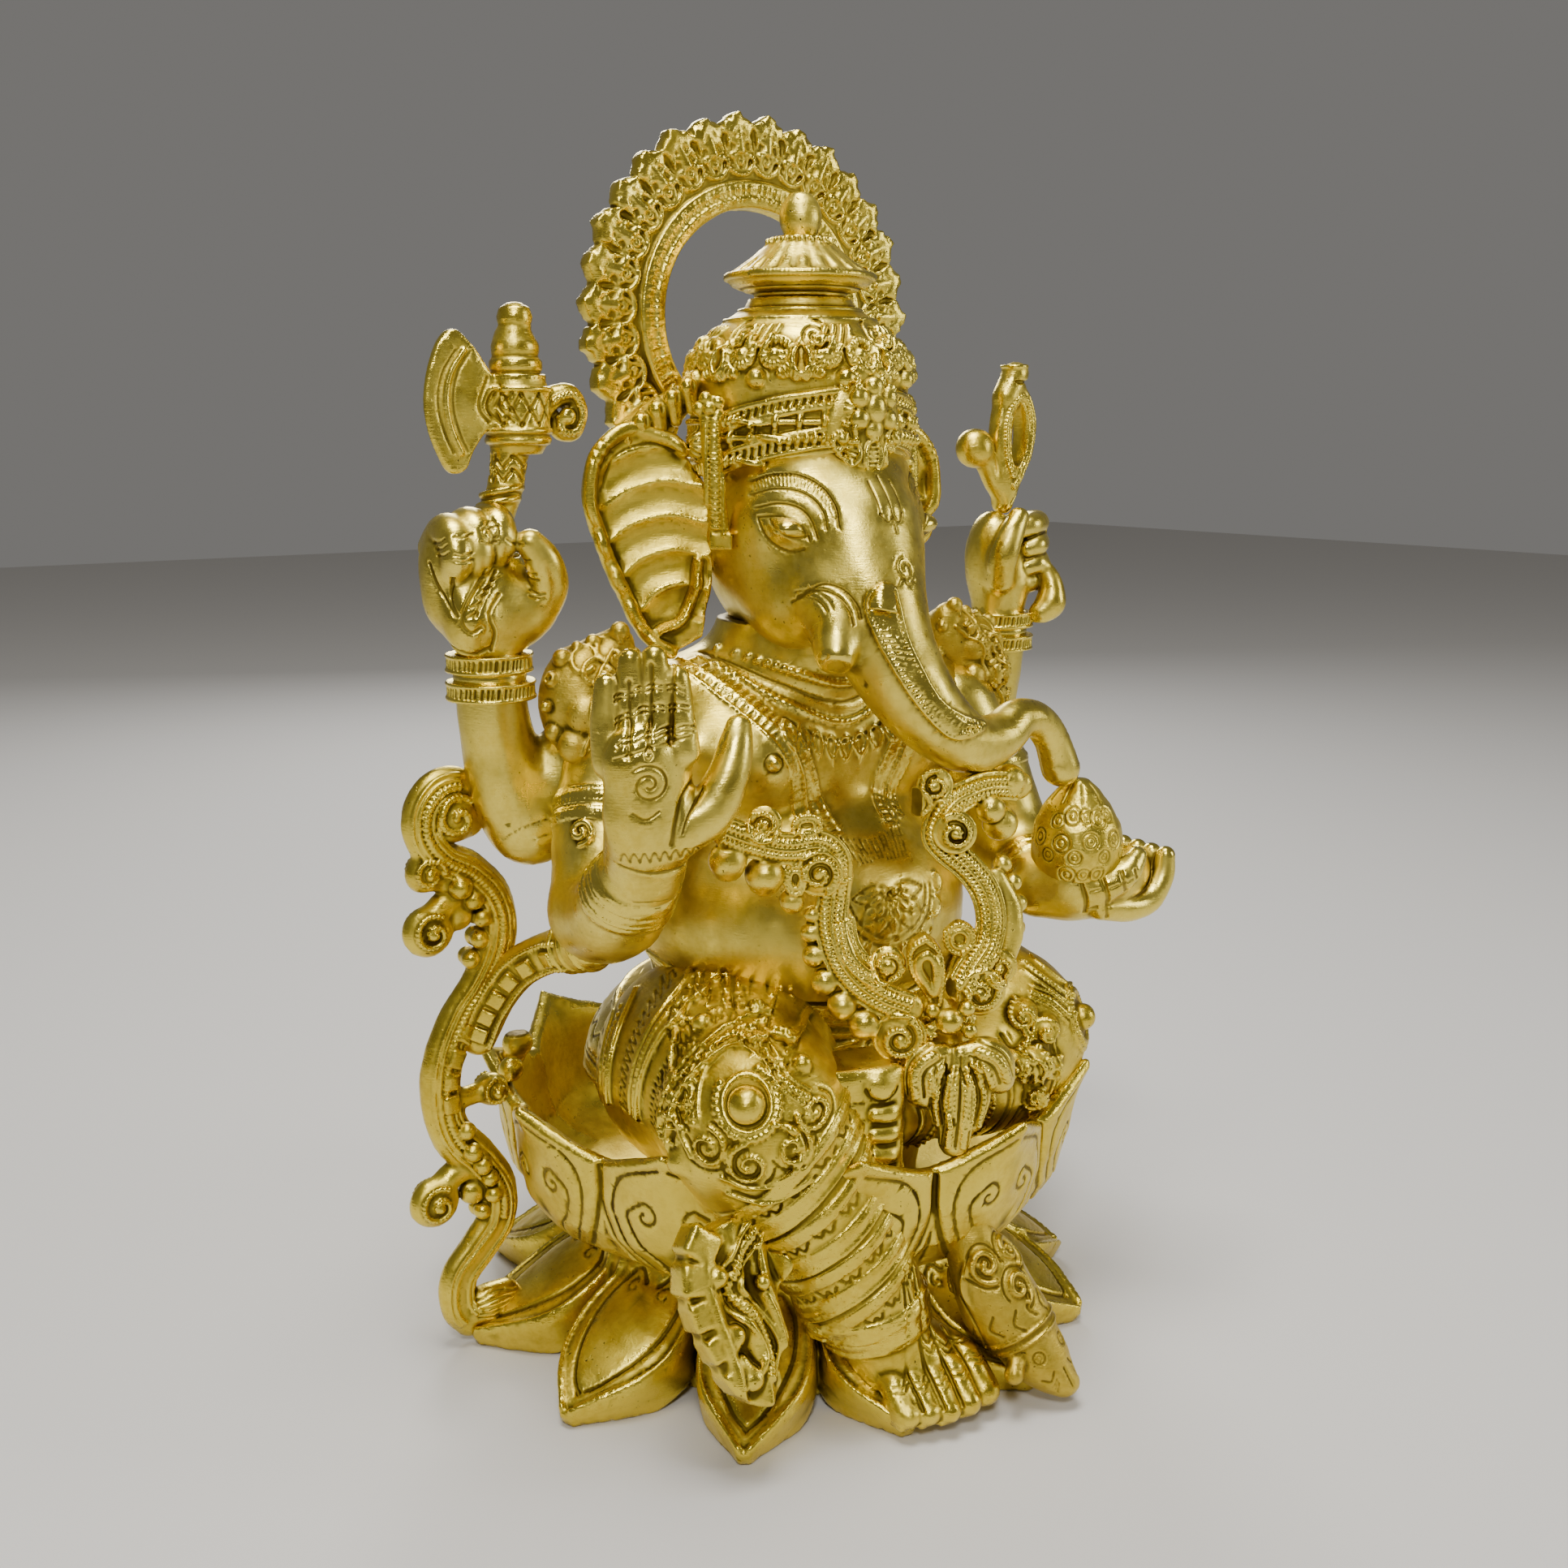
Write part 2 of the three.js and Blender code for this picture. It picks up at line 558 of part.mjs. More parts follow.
const garlandRosette = () => join([
  turned([[0, 128], [8, 130], [11, 138], [8, 147], [0, 149]], [4, -91], 14),
  limb([[5.5, -89, 144], [4.5, -85, 154], [3.5, -82, 164]], [3.5, 6.5, 3], { sides: 8, steps: 4, flat: 0.6, up: [0, 1, 0] }),
]);

const garlandTassel = () => join([
  limb([[4, -98, 124], [3, -101, 112], [3, -103, 97]], [5, 7, 8], { sides: 8, steps: 5, up: [0, 1, 0] }),
  limb([[1, -98, 124], [-7, -103, 119], [-10, -105, 110]], [5, 7, 8.5], { sides: 8, steps: 4, up: [0, 1, 0] }),
  limb([[7, -97, 124], [16, -98, 119], [20, -99, 110]], [5, 7, 8.5], { sides: 8, steps: 4, up: [0, 1, 0] }),
]);

// ---- side scroll ----
function sideScroll() {
  const band = limb([
    [-128, 21, 199], [-120, 21, 205], [-119, 21, 213], [-127, 21, 219], [-137, 21, 215], [-141, 21, 205],
    [-136, 21, 194], [-125, 22, 185], [-115, 23, 175], [-109, 24, 162], [-112, 25, 148], [-122, 26, 135],
    [-130, 27, 120], [-132, 28, 102], [-128, 28, 84], [-116, 29, 70], [-107, 30, 53], [-110, 30, 37],
    [-121, 30, 27], [-127, 30, 17], [-122, 30, 9],
  ], [5, 6, 6, 6, 6, 6, 6.5, 7, 7.5, 8, 8, 8, 8, 8, 8, 8, 8, 7.5, 7, 7, 5], { sides: 6, steps: 32, flat: 0.7, up: [0, 1, 0] });
  const disc = (x, y, z, r) => ellipsoid({ at: [x, y, z], size: [r, 6, r] }, 8, 4);
  return join([
    band,
    disc(-138, 22, 167, 14), disc(-136, 22, 186, 9), disc(-124, 22, 170, 9),
    disc(-115, 28, 98, 9), disc(-139, 30, 60, 11), disc(-125, 30, 61, 10),
    disc(-118, 30, 47, 9),
  ]);
}

const scrollBranch = () => limb(
  [[-119, 24, 122], [-114, 20, 136], [-106, 13, 150], [-97, -4, 160], [-95, -22, 164]],
  [6, 6, 6, 7, 8],
  { sides: 8, steps: 8, up: [0, 1, 0] },
);

// ---- front pieces ----
const sashEnd = () => join([
  hull([
    [-58, -94, 64], [-60, -84, 66], [-62, -96, 78], [-66, -86, 80],
    [-98, -90, 82], [-96, -80, 80], [-106, -94, 66], [-101, -84, 60], [-62, -98, 60], [-60, -88, 60],
  ]),
  hull([
    [-64, -98, 66], [-62, -88, 64], [-107, -94, 67], [-101, -84, 64],
    [-72, -108, 36], [-68, -98, 36], [-101, -104, 38], [-95, -93, 36], [-92, -109, 24], [-84, -98, 24],
  ]),
]);

const mouse = () => join([
  limb([[8, -101, 60], [12, -106, 46], [19, -114, 30], [25, -124, 15], [29, -131, 8]], [8, 12, 14, 11, 6], { sides: 12, steps: 8, up: [1, 0, 0] }),
  hull([[29, -116, 32], [34, -118, 26], [30, -126, 24], [22, -122, 32], [30, -112, 24]]),
  ball([34, -108, 20], 8), ball([2, -118, 16], 7), ball([36, -124, 9], 6),
]);

// ---- inside and underneath ----
const basePlate = () => turned([[0, 0], [HUB_BORE, 0], [HUB_BORE, 2], [0, 2]], [0, 0], 32);

const rodNut = (z) => {
  const geometry = new THREE.CylinderGeometry(8, 8, 6, 6);
  geometry.rotateX(Math.PI / 2);
  geometry.translate(0, 0, z + 3);
  return solid(geometry).subtract(turned([[0, z - 1], [ROD_R + GAP, z - 1], [ROD_R + GAP, z + 7], [0, z + 7]], [0, 0], 12));
};

const rodWasher = (z) => turned([[0, z], [12, z], [12, z + 2], [0, z + 2]], [0, 0], 20)
  .subtract(turned([[0, z - 1], [ROD_R + GAP, z - 1], [ROD_R + GAP, z + 3], [0, z + 3]], [0, 0], 12));

const tieRod = () => turned([[0, 20], [ROD_R, 20], [ROD_R, 70], [0, 70]], [0, 0], 12);

// ---- assembly ----
const torsoOuter = torsoOutside();
const rightLeg = clearOf(rightLegSkin(), torsoOuter);
const leftLeg = clearOf(leftLegSkin(), torsoOuter, rightLeg);
const sash = clearOf(sashEnd(), rightLeg);
const mouseBody = clearOf(mouse(), rightLeg);
const tassel = garlandTassel();
const upper = clearOf(upperLotus(), rightLeg, leftLeg, torsoOuter, sash, mouseBody, tassel);
const scroll = clearOf(sideScroll(), rearArm(-1));
const branch = clearOf(scrollBranch(), scroll, blessingArm());
const lower = clearOf(lowerLotus(), rightLeg, sash, mouseBody, scroll, upper);

part('base_plate', basePlate(), STEEL);
part('tie_rod', tieRod(), STEEL);
part('tie_rod_lower_washer', rodWasher(LOWER_HEIGHT - 9.5), STEEL);
part('tie_rod_lower_nut', rodNut(LOWER_HEIGHT - 16), STEEL);
part('tie_rod_upper_washer', rodWasher(SEAT_FLOOR + GAP), STEEL);
part('tie_rod_upper_nut', rodNut(SEAT_FLOOR + 3), STEEL);
part('lower_lotus', lower);
part('upper_lotus', upper);
part('torso', torso(torsoOuter));
part('right_leg', rightLeg);
part('left_leg', leftLeg);
part('sash_end', sash);
part('mouse', mouseBody);

const crownOuter = crownSkin();
const headOuter = headSkin();
const headBody = clearOf(head(), crownOuter, torsoOuter);
part('head', headBody);
part('crown', crown(), BRASS_PALE);
part('crown_cap', crownCap(), BRASS_PALE);
part('crown_finial', crownFinial(), BRASS_PALE);
part('crown_crest', clearOf(crownCrest(), crownOuter, headOuter), BRASS_PALE);

const sweet = clearOf(modak(), offeringHand(), headOuter, offeringArm());
const haloBody = clearOf(halo(), crownOuter);
part('halo', haloBody, BRASS_PALE);
const sides = { right: -1, left: 1 };
for (const [name, side] of Object.entries(sides)) {
  const earBody = clearOf(ear(side), headOuter, crownOuter, torsoOuter);
  const ribbonBody = clearOf(ribbon(side), headOuter, crownOuter, earBody);
  const bracket = clearOf(haloBracket(side), headOuter, crownOuter, earBody, haloBody, ribbonBody);
  part(`${name}_ear`, earBody);
  part(`${name}_ear_ribbon`, ribbonBody);
  part(`${name}_halo_bracket`, bracket);
  part(`${name}_halo_screw`, haloScrew(side), STEEL);
  const armBody = clearOf(rearArm(side).add(wrist(side)), torsoOuter);
  const hand = clearOf(side < 0 ? fist() : openHand(), armBody);
  part(`${name}_rear_arm`, armBody);
  part(`${name}_rear_hand`, hand);
  part(`${name}_rear_bangle_upper`, bangle([side * 116, 10, 261.5], [0, 0, 1], 11.6, 14.6, 6));
  part(`${name}_rear_bangle_lower`, bangle([side * 115.6, 10, 252], [0, 0, 1], 12.8, 15, 6));
  part(side < 0 ? 'axe' : 'noose', clearOf(side < 0 ? axe() : noose(), hand));
  const frontArm = clearOf(side < 0 ? blessingArm() : offeringArm(), torsoOuter, armBody);
  part(`${name}_shoulder_ornament`, clearOf(shoulderOrnament(side), torsoOuter, armBody, frontArm));
  const frontHand = side < 0 ? blessingHand() : offeringHand();
  part(`${name}_front_arm`, clearOf(frontArm, frontHand));
  part(`${name}_front_hand`, frontHand);
  part(`${name}_garland`, clearOf(
    garlandHalf(side), torsoOuter, headOuter, frontHand, frontArm, rightLeg, leftLeg, sweet,
  ));
}
part('modak', sweet);
const garlands = [garlandHalf(-1), garlandHalf(1)];
const rosette = clearOf(garlandRosette(), ...garlands, torsoOuter);
part('garland_rosette', rosette);
part('garland_tassel', clearOf(tassel, ...garlands, rosette, torsoOuter, rightLeg, leftLeg));
part('right_side_scroll', scroll);
part('right_scroll_branch', branch);

export default group;
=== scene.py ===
"""Cast brass figure of a four-armed, elephant-headed, seated deity on a two-tier lotus.

Every casting is sculpted as a field of signed distances in millimetres, where forms melt into each
other the way cast and brazed brass does, and is then turned into a mesh in metres. The figure
faces -Y, its own right side is at -X, and the origin is the centre of the base underside.
"""

import math

import bpy
import numpy as np
import openvdb
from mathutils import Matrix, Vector


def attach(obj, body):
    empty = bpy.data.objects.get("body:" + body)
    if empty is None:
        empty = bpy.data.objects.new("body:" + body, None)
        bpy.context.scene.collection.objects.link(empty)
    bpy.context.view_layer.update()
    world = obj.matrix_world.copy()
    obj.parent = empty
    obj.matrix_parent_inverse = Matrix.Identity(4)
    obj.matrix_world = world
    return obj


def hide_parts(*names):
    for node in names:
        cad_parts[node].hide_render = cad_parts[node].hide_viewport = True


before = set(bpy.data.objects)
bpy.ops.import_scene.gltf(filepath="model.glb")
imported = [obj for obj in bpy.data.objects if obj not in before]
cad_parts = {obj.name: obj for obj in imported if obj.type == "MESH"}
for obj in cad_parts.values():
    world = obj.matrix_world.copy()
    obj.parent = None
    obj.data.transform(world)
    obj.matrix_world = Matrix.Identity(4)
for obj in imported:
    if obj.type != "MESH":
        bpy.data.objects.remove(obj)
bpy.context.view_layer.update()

MM = 0.001
COARSE = 1.0
FAR = 8.0                                # distances further than this from a surface aren't kept

# Camera: where the figure was seen from, in millimetres and degrees.
VIEW_AZIMUTH = -35.0
VIEW_PITCH = 12.0
VIEW_DISTANCE = 629.0
VIEW_HEIGHT = 340.0
VIEW_ANGLE = 50.0

# Lotus tiers; the directions of the petals are listed, in degrees
LOWER_PETALS = (134, 168, 199, 229, 256, 283, 309, 335, 1, 28, 55, 82, 108)
LOWER_PETAL_THICK = 8.0
LOWER_WIDE, LOWER_NARROW = 23.5, 21.0    # half widths
LOWER_NARROW_PETALS = (3, 4)
LOWER_SHORT_PETAL = 4
LOWER_SHORTER = 7.0
LOWER_TIP_MEAN = 124.0
LOWER_TIP_SWING = 8.0
LOWER_TIP_SWING_AT = 205.0
UPPER_PETALS = 11
UPPER_PETAL_START = 182.0

# Flame arch
HALO_Z = 379.0
HALO_OUTER = 71.0
HALO_INNER = 39.5
HALO_Y = 22.0
HALO_HALF = 3.4
HALO_FROM = -50.0
HALO_TO = 230.0
HALO_LOBES = 24
HALO_NOTCH = 4.0                         # depth of the dips between lobes
HALO_LOBE_STEPS = 8
HALO_INNER_STEPS = 90
HALO_LEAF = [(68.5, 0.6), (63, 4.0), (57, 5.6), (52.5, 4.4), (50.6, 0),
             (52.5, -4.4), (57, -5.6), (63, -4.0), (68.5, -0.6)]

CROWN_AT = (0, -10.0)                    # axis of the crown, from above
CROWN_BAND_Z = 330.5                     # height of the headband at the sides; it rises at the front
CROWN_BAND_RISE = 12.0

# Forms that more than one casting is cut or grown from
RIGHT_THIGH = ((-44, -20, 112), (-56, -50, 116), (-62, -72, 112))
RIGHT_SHIN = ((-61, -72, 108), (-46, -80, 84), (-33, -87, 54), (-24, -92, 32), (-21, -93, 18))
HIPS_AT = (0, -5, 108)

# Directions
ORIGIN = (0, 0, 0)
LEFT = (1, 0, 0)                         # the figure's own left
FRONT = (0, -1, 0)
BACK = (0, 1, 0)
UP = (0, 0, 1)
SIDES = ((-1, "right"), (1, "left"))
SLANT_COS, SLANT_SIN = 0.819, 0.574      # of the 35 degrees that the photo's view is turned by
SLANT_ACROSS = (SLANT_COS, -SLANT_SIN, 0)
SLANT_TOWARDS = (-SLANT_SIN, -SLANT_COS, 0)

# Cast skin: widths in millimetres, and cells of the grid
SKIN_BAND = 3.2                          # cells kept on both sides of the surface
SKIN_ADAPT = 0.1                         # how far flat parts are thinned to larger faces
# relief and hollow feed the metals: dirt with painted shade in fine recesses, painted shade in broad hollows
RELIEF_BLUR, RELIEF_DEPTH = 1.8, 0.5     # fine relief: blur width, and the depth that counts as 1
HOLLOW_BLUR, HOLLOW_DEPTH = 7.0, 2.0     # the same for broad hollows
HOLLOW_CELL = 1.0
RIPPLE_WIDE, RIPPLE_FINE = 9.0, 3.5
RIPPLE_FINE_SHARE = 0.4
RIPPLE_FINE_SHIFT = 31.0


# ---------------------------------------------------------------- small vector helpers

def unit(v):
    v = np.asarray(v, float)
    return v / np.maximum(np.linalg.norm(v, axis=-1, keepdims=True), 1e-9)


def polar(angle, r, z):
    a = math.radians(angle)
    return np.array([r * math.cos(a), r * math.sin(a), z])


def smooth_path(points, count=60):
    """Catmull-Rom curve through the points."""
    p = np.asarray(points, float)
    p = np.vstack([2 * p[0] - p[1], p, 2 * p[-1] - p[-2]])
    spans = len(p) - 3
    t = np.linspace(0, spans - 1e-6, count)
    i = t.astype(int)
    f = (t - i)[:, None]
    a, b, c, d = p[i], p[i + 1], p[i + 2], p[i + 3]
    return 0.5 * (2 * b + (c - a) * f + (2 * a - 5 * b + 4 * c - d) * f**2 + (3 * b - a - 3 * c + d) * f**3)


def even(points, pitch, closed=False):
    """The same line with points at an even pitch."""
    p = np.asarray(points, float)
    if closed:
        p = np.vstack([p, p[:1]])
    gaps = np.linalg.norm(np.diff(p, axis=0), axis=1)
    along = np.concatenate([[0], np.cumsum(gaps)])
    count = max(int(round(along[-1] / pitch)), 2)
    s = np.linspace(0, along[-1], count + 1)
    if closed:
        s = s[:-1]
    return np.stack([np.interp(s, along, p[:, k]) for k in range(p.shape[1])], 1)


def tangents(p):
    return unit(np.gradient(p, axis=0))


def side_of(p):
    """Unit steps to the left of a flat line, one at each of its points."""
    t = tangents(p)
    return np.stack([-t[:, 1], t[:, 0]], 1)


def rotation(angle):
    """Turns flat points, as rows, by an angle in radians."""
    return np.array([[math.cos(angle), math.sin(angle)], [-math.sin(angle), math.cos(angle)]])


# ---------------------------------------------------------------- flat patterns, in millimetres

def circle(cx, cy, r, a0=0.0, a1=360.0, count=40):
    a = np.radians(np.linspace(a0, a1, count))
    return np.stack([cx + r * np.cos(a), cy + r * np.sin(a)], 1)


def spiral(cx, cy, r, turns=1.6, start=0.0, way=1, inner=0.12):
    """From the outside at angle start, winding in to the middle."""
    t = np.linspace(0, 1, int(30 * turns) + 8)
    a = math.radians(start) + way * t * turns * 2 * math.pi
    rad = r * (1 - (1 - inner) * t)
    return np.stack([cx + rad * np.cos(a), cy + rad * np.sin(a)], 1)


def leaf(cx, cy, length, width, angle, count=28):
    """Closed pointed leaf that starts at (cx, cy) and points along angle."""
    t = np.linspace(0, 1, count // 2)
    half = 0.5 * width * np.sin(math.pi * t**0.8)
    out = np.stack([t * length, half], 1)
    back = np.stack([t[::-1] * length, -half[::-1]], 1)
    p = np.vstack([out, back[1:-1]])
    return p @ rotation(math.radians(angle)) + [cx, cy]


def hoop(z, step=8.0):
    """Pattern of a level ring round a body: (degrees, height)."""
    return np.array([(a, z) for a in np.arange(-180, 180, step)])


def onto(pattern, angle, z, r):
    """Flat pattern in millimetres moved to degrees and height on a round body of radius r."""
    p = np.array(pattern, float)
    p[:, 0] = angle + np.degrees(p[:, 0] / r)
    p[:, 1] += z
    return p


class Outline:
    """Distance to a closed flat outline, kept as a table."""

    def __init__(self, points, margin=9.0, step=0.5):
        p = np.asarray(points, float)
        self.low = p.min(0) - margin
        self.step = step
        size = np.ceil((p.max(0) + margin - self.low) / step).astype(int) + 1
        x = (self.low[0] + step * np.arange(size[0]))[:, None]
        y = (self.low[1] + step * np.arange(size[1]))[None, :]
        best = np.full(size, 1e9)
        inside = np.zeros(size, bool)
        for (ax, ay), (bx, by) in zip(p, np.roll(p, -1, 0)):
            dx, dy = bx - ax, by - ay
            along = np.clip(((x - ax) * dx + (y - ay) * dy) / max(dx * dx + dy * dy, 1e-9), 0, 1)
            best = np.minimum(best, (x - ax - along * dx) ** 2 + (y - ay - along * dy) ** 2)
            if ay != by:
                crosses = ((ay > y) != (by > y)) & (x < dx * (y - ay) / dy + ax)
                inside ^= crosses
        self.table = np.where(inside, -1, 1) * np.sqrt(best)
        self.size = size

    def at(self, x, y):
        fx = np.clip((x - self.low[0]) / self.step, 0, self.size[0] - 1.001)
        fy = np.clip((y - self.low[1]) / self.step, 0, self.size[1] - 1.001)
        i = fx.astype(np.int32)
        j = fy.astype(np.int32)
        u = fx - i
        v = fy - j
        t = self.table
        return (t[i, j] * (1 - u) + t[i + 1, j] * u) * (1 - v) + (t[i, j + 1] * (1 - u) + t[i + 1, j + 1]
                                                                  * u) * v


# ---------------------------------------------------------------- clay

class Clay:
    """A solid on a grid of signed distances, in millimetres."""

    def __init__(self, low, high, step):
        self.step = step * COARSE
        self.low = np.array(low, float) - 4 * self.step
        self.count = np.ceil((np.array(high) - self.low) / self.step).astype(int) + 5
        self.field = np.full(self.count, FAR, np.float32)

    def window(self, low, high):
        a = np.clip(np.floor((np.asarray(low) - self.low) / self.step).astype(int), 0, self.count - 1)
        b = np.clip(np.ceil((np.asarray(high) - self.low) / self.step).astype(int) + 1, a + 1, self.count)
        axes = [(self.low[k] + self.step * np.arange(a[k], b[k])).astype(np.float32) for k in range(3)]
        place = tuple(slice(a[k], b[k]) for k in range(3))
        return place, axes[0][:, None, None], axes[1][None, :, None], axes[2][None, None, :]

    def press(self, place, d, blend=0.0, cut=False):
        old = self.field[place]
        if cut:
            d = -d
        low = np.maximum(old, d) if cut else np.minimum(old, d)
        if blend > 0:
            h = np.maximum(blend - np.abs(old - d), 0) / blend
            low = low + h * h * blend * 0.25 * (1 if cut else -1)
        self.field[place] = low

    def pad(self, blend):
        return blend + 2.5 * self.step

    def blob(self, at, radii, blend=0.0, turn=None, cut=False):
        """Ellipsoid; turn is a 3 by 3 array whose rows are its own axes."""
        at = np.asarray(at, float)
        radii = np.asarray(radii, float) * np.ones(3)
        reach = radii.max() if turn is not None else radii
        place, x, y, z = self.window(at - reach - self.pad(blend), at + reach + self.pad(blend))
        x, y, z = x - at[0], y - at[1], z - at[2]
        if turn is not None:
            t = np.asarray(turn, np.float32)
            x, y, z = (t[k, 0] * x + t[k, 1] * y + t[k, 2] * z for k in range(3))
        k0 = np.sqrt((x / radii[0]) ** 2 + (y / radii[1]) ** 2 + (z / radii[2]) ** 2)
        k1 = np.sqrt((x / radii[0] ** 2) ** 2 + (y / radii[1] ** 2) ** 2 + (z / radii[2] ** 2) ** 2)
        self.press(place, k0 * (k0 - 1) / np.maximum(k1, 1e-6), blend, cut)

    def tube(self, points, radii, blend=0.0, cut=False, squash=None, flat=1.0):
        """Round bar along a line, its radius given at points or evenly along it."""
        p = np.asarray(points, float)
        r = np.interp(np.linspace(0, 1, len(p)), np.linspace(0, 1, np.size(radii)), np.atleast_1d(radii))
        most = r.max() + self.pad(blend)
        place = self.window(p.min(0) - most, p.max(0) + most)[0]
        d = np.full(self.field[place].shape, FAR, np.float32)
        base = [s.start for s in place]
        for k in range(len(p) - 1):
            a, b = p[k], p[k + 1]
            reach = max(r[k], r[k + 1]) + self.pad(blend)
            spot, sx, sy, sz = self.window(np.minimum(a, b) - reach, np.maximum(a, b) + reach)
            local = tuple(slice(s.start - base[i], s.stop - base[i]) for i, s in enumerate(spot))
            ab = b - a
            wx, wy, wz = sx - a[0], sy - a[1], sz - a[2]
            t = np.clip((wx * ab[0] + wy * ab[1] + wz * ab[2]) / max(ab @ ab, 1e-9), 0, 1)
            wx, wy, wz = wx - t * ab[0], wy - t * ab[1], wz - t * ab[2]
            sq = wx * wx + wy * wy + wz * wz
            if squash is not None:
                across = wx * squash[0] + wy * squash[1] + wz * squash[2]
                sq = sq + (1 / flat**2 - 1) * across**2
            near = np.sqrt(sq) - (r[k] + (r[k + 1] - r[k]) * t)
            if squash is not None:
                near = near * flat
            d[local] = np.minimum(d[local], near)
        self.press(place, d, blend, cut)

    def bar(self, points, count, radii, **shape):
        """Tube along the smooth curve through a few points."""
        self.tube(smooth_path(points, count), radii, **shape)

    def block(self, at, half, axes, edge=1.0, blend=0.0, cut=False):
        """Rounded box; the rows of axes are its own directions."""
        at = np.asarray(at, float)
        half = np.asarray(half, float)
        axes = unit(axes)
        reach = np.abs(axes).T @ half + self.pad(blend)
        place, x, y, z = self.window(at - reach, at + reach)
        x, y, z = x - at[0], y - at[1], z - at[2]
        q = [np.abs(a[0] * x + a[1] * y + a[2] * z) - (half[k] - edge) for k, a in enumerate(axes)]
        outside = np.sqrt(sum(np.maximum(v, 0) ** 2 for v in q))
        inside = np.minimum(np.maximum(np.maximum(q[0], q[1]), q[2]), 0)
        self.press(place, outside + inside - edge, blend, cut)

    def plate(self, outline, at, u, v, half, blend=0.0, edge=1.0, bend=None, thick=None, cut=False,
              reach=None):
        """Flat or bent plate with the given outline in the plane of u and v."""
        at, u, v = np.asarray(at, float), unit(u), unit(v)
        n = np.cross(u, v)
        lo, hi = outline.low, outline.low + outline.step * (outline.size - 1)
        deep = reach if reach is not None else half + 3
        corners = np.array([at + a * u + b * v + c * n for a in (lo[0] + 5, hi[0] - 5)
                            for b in (lo[1] + 5, hi[1] - 5) for c in (-deep, deep)])
        place, x, y, z = self.window(corners.min(0) - blend, corners.max(0) + blend)
        x, y, z = x - at[0], y - at[1], z - at[2]
        a = u[0] * x + u[1] * y + u[2] * z
        b = v[0] * x + v[1] * y + v[2] * z
        c = n[0] * x + n[1] * y + n[2] * z
        if bend is not None:
            c = c - bend(a, b)
        h = half if thick is None else half * thick(a, b)
        q0 = outline.at(a, b) + edge
        q1 = np.abs(c) - h + edge
        d = np.sqrt(np.maximum(q0, 0) ** 2 + np.maximum(q1,
                                                        0) ** 2) + np.minimum(np.maximum(q0, q1), 0) - edge
        self.press(place, d.astype(np.float32), blend, cut)

    def turn(self, profile, at=(0, 0), blend=0.0, cut=False, shift=None):
        """Turned about a vertical axis: profile points are (radius, height)."""
        p = np.asarray(profile, float)
        outline = Outline(p, margin=FAR + 6)
        most = p[:, 0].max() + self.pad(blend) + 6
        place, x, y, z = self.window((at[0] - most, at[1] - most, p[:, 1].min() - 12),
                                     (at[0] + most, at[1] + most, p[:, 1].max() + 12))
        x, y = x - at[0], y - at[1]
        r = np.sqrt(x * x + y * y)
        h = z + 0 * r
        r = r + 0 * z
        if shift is not None:
            dr, dz = shift(np.arctan2(y, x), r, h)
            r, h = r - dr, h - dz
        self.press(place, outline.at(r, h).astype(np.float32), blend, cut)

    def below(self, z0):
        """Cuts everything under the level z0."""
        z = (self.low[2] + self.step * np.arange(self.count[2])).astype(np.float32)
        self.field = np.maximum(self.field, z0 - z[None, None, :])

    def sample(self, points, field=None):
        f = self.field if field is None else field
        g = np.clip((np.asarray(points) - self.low) / self.step, 0, self.count - 1.001)
        i = g.astype(int)
        w = g - i
        total = 0.0
        for dx in (0, 1):
            for dy in (0, 1):
                for dz in (0, 1):
                    k = ((w[..., 0] if dx else 1 - w[..., 0]) * (w[..., 1] if dy else 1 - w[..., 1])
                         * (w[..., 2] if dz else 1 - w[..., 2]))
                    total = total + k * f[i[..., 0] + dx, i[..., 1] + dy, i[..., 2] + dz]
        return total

    def normals(self, points):
        e = self.step * 1.5
        p = np.asarray(points, float)
        shifts = np.eye(3) * e
        return unit(np.stack([self.sample(p + s) - self.sample(p - s) for s in shifts], -1))

    def land(self, points, directions, reach):
        """Where lines from points along directions first meet the surface, with the normals there."""
        p = np.asarray(points, float)
        d = unit(directions) * np.ones_like(p)
        steps = np.arange(0, reach, self.step * 0.6)
        values = self.sample(p[:, None, :] + steps[None, :, None] * d[:, None, :])
        under = values < 0
        hit = under.any(1)
        k = np.where(hit, under.argmax(1), len(steps) - 1)
        k = np.maximum(k, 1)
        rows = np.arange(len(p))
        v0, v1 = values[rows, k - 1], values[rows, k]
        f = np.clip(v0 / np.where(np.abs(v0 - v1) < 1e-6, 1, v0 - v1), 0, 1)
        t = steps[k - 1] + f * (steps[k] - steps[k - 1])
        spot = p + t[:, None] * d
        return spot[hit], self.normals(spot[hit])

    # ---- ornaments on the surface

    def cord(self, spots, normals, r, sink=0.4, blend=0.5):
        if len(spots) > 1:
            self.tube(spots + normals * (r - sink * r * 2), r, blend)

    def groove(self, spots, normals, r=0.7, depth=0.7, blend=0.3):
        if len(spots) > 1:
            self.tube(spots + normals * (r - depth), r, blend, cut=True)

    def beads(self, spots, normals, r, sink=0.35, blend=0.3):
        for s, n in zip(spots, normals):
            self.blob(s + n * r * (1 - 2 * sink), r, blend)

    def lugs(self, spots, normals, width, height, pitch, slant=0.35, blend=0.25, fill=0.62):
        """A notched band: one small ridge after another across the line."""
        if len(spots) < 2:
            return
        t = tangents(spots)
        for s, n, a in zip(spots, normals, t):
            side = unit(np.cross(n, a))
            across = unit(side + slant * a)
            forward = unit(np.cross(across, n))
            turn = np.array([forward, across, n])
            self.blob(s + n * height * 0.15, (pitch * fill, width * 0.5, height), blend, turn)


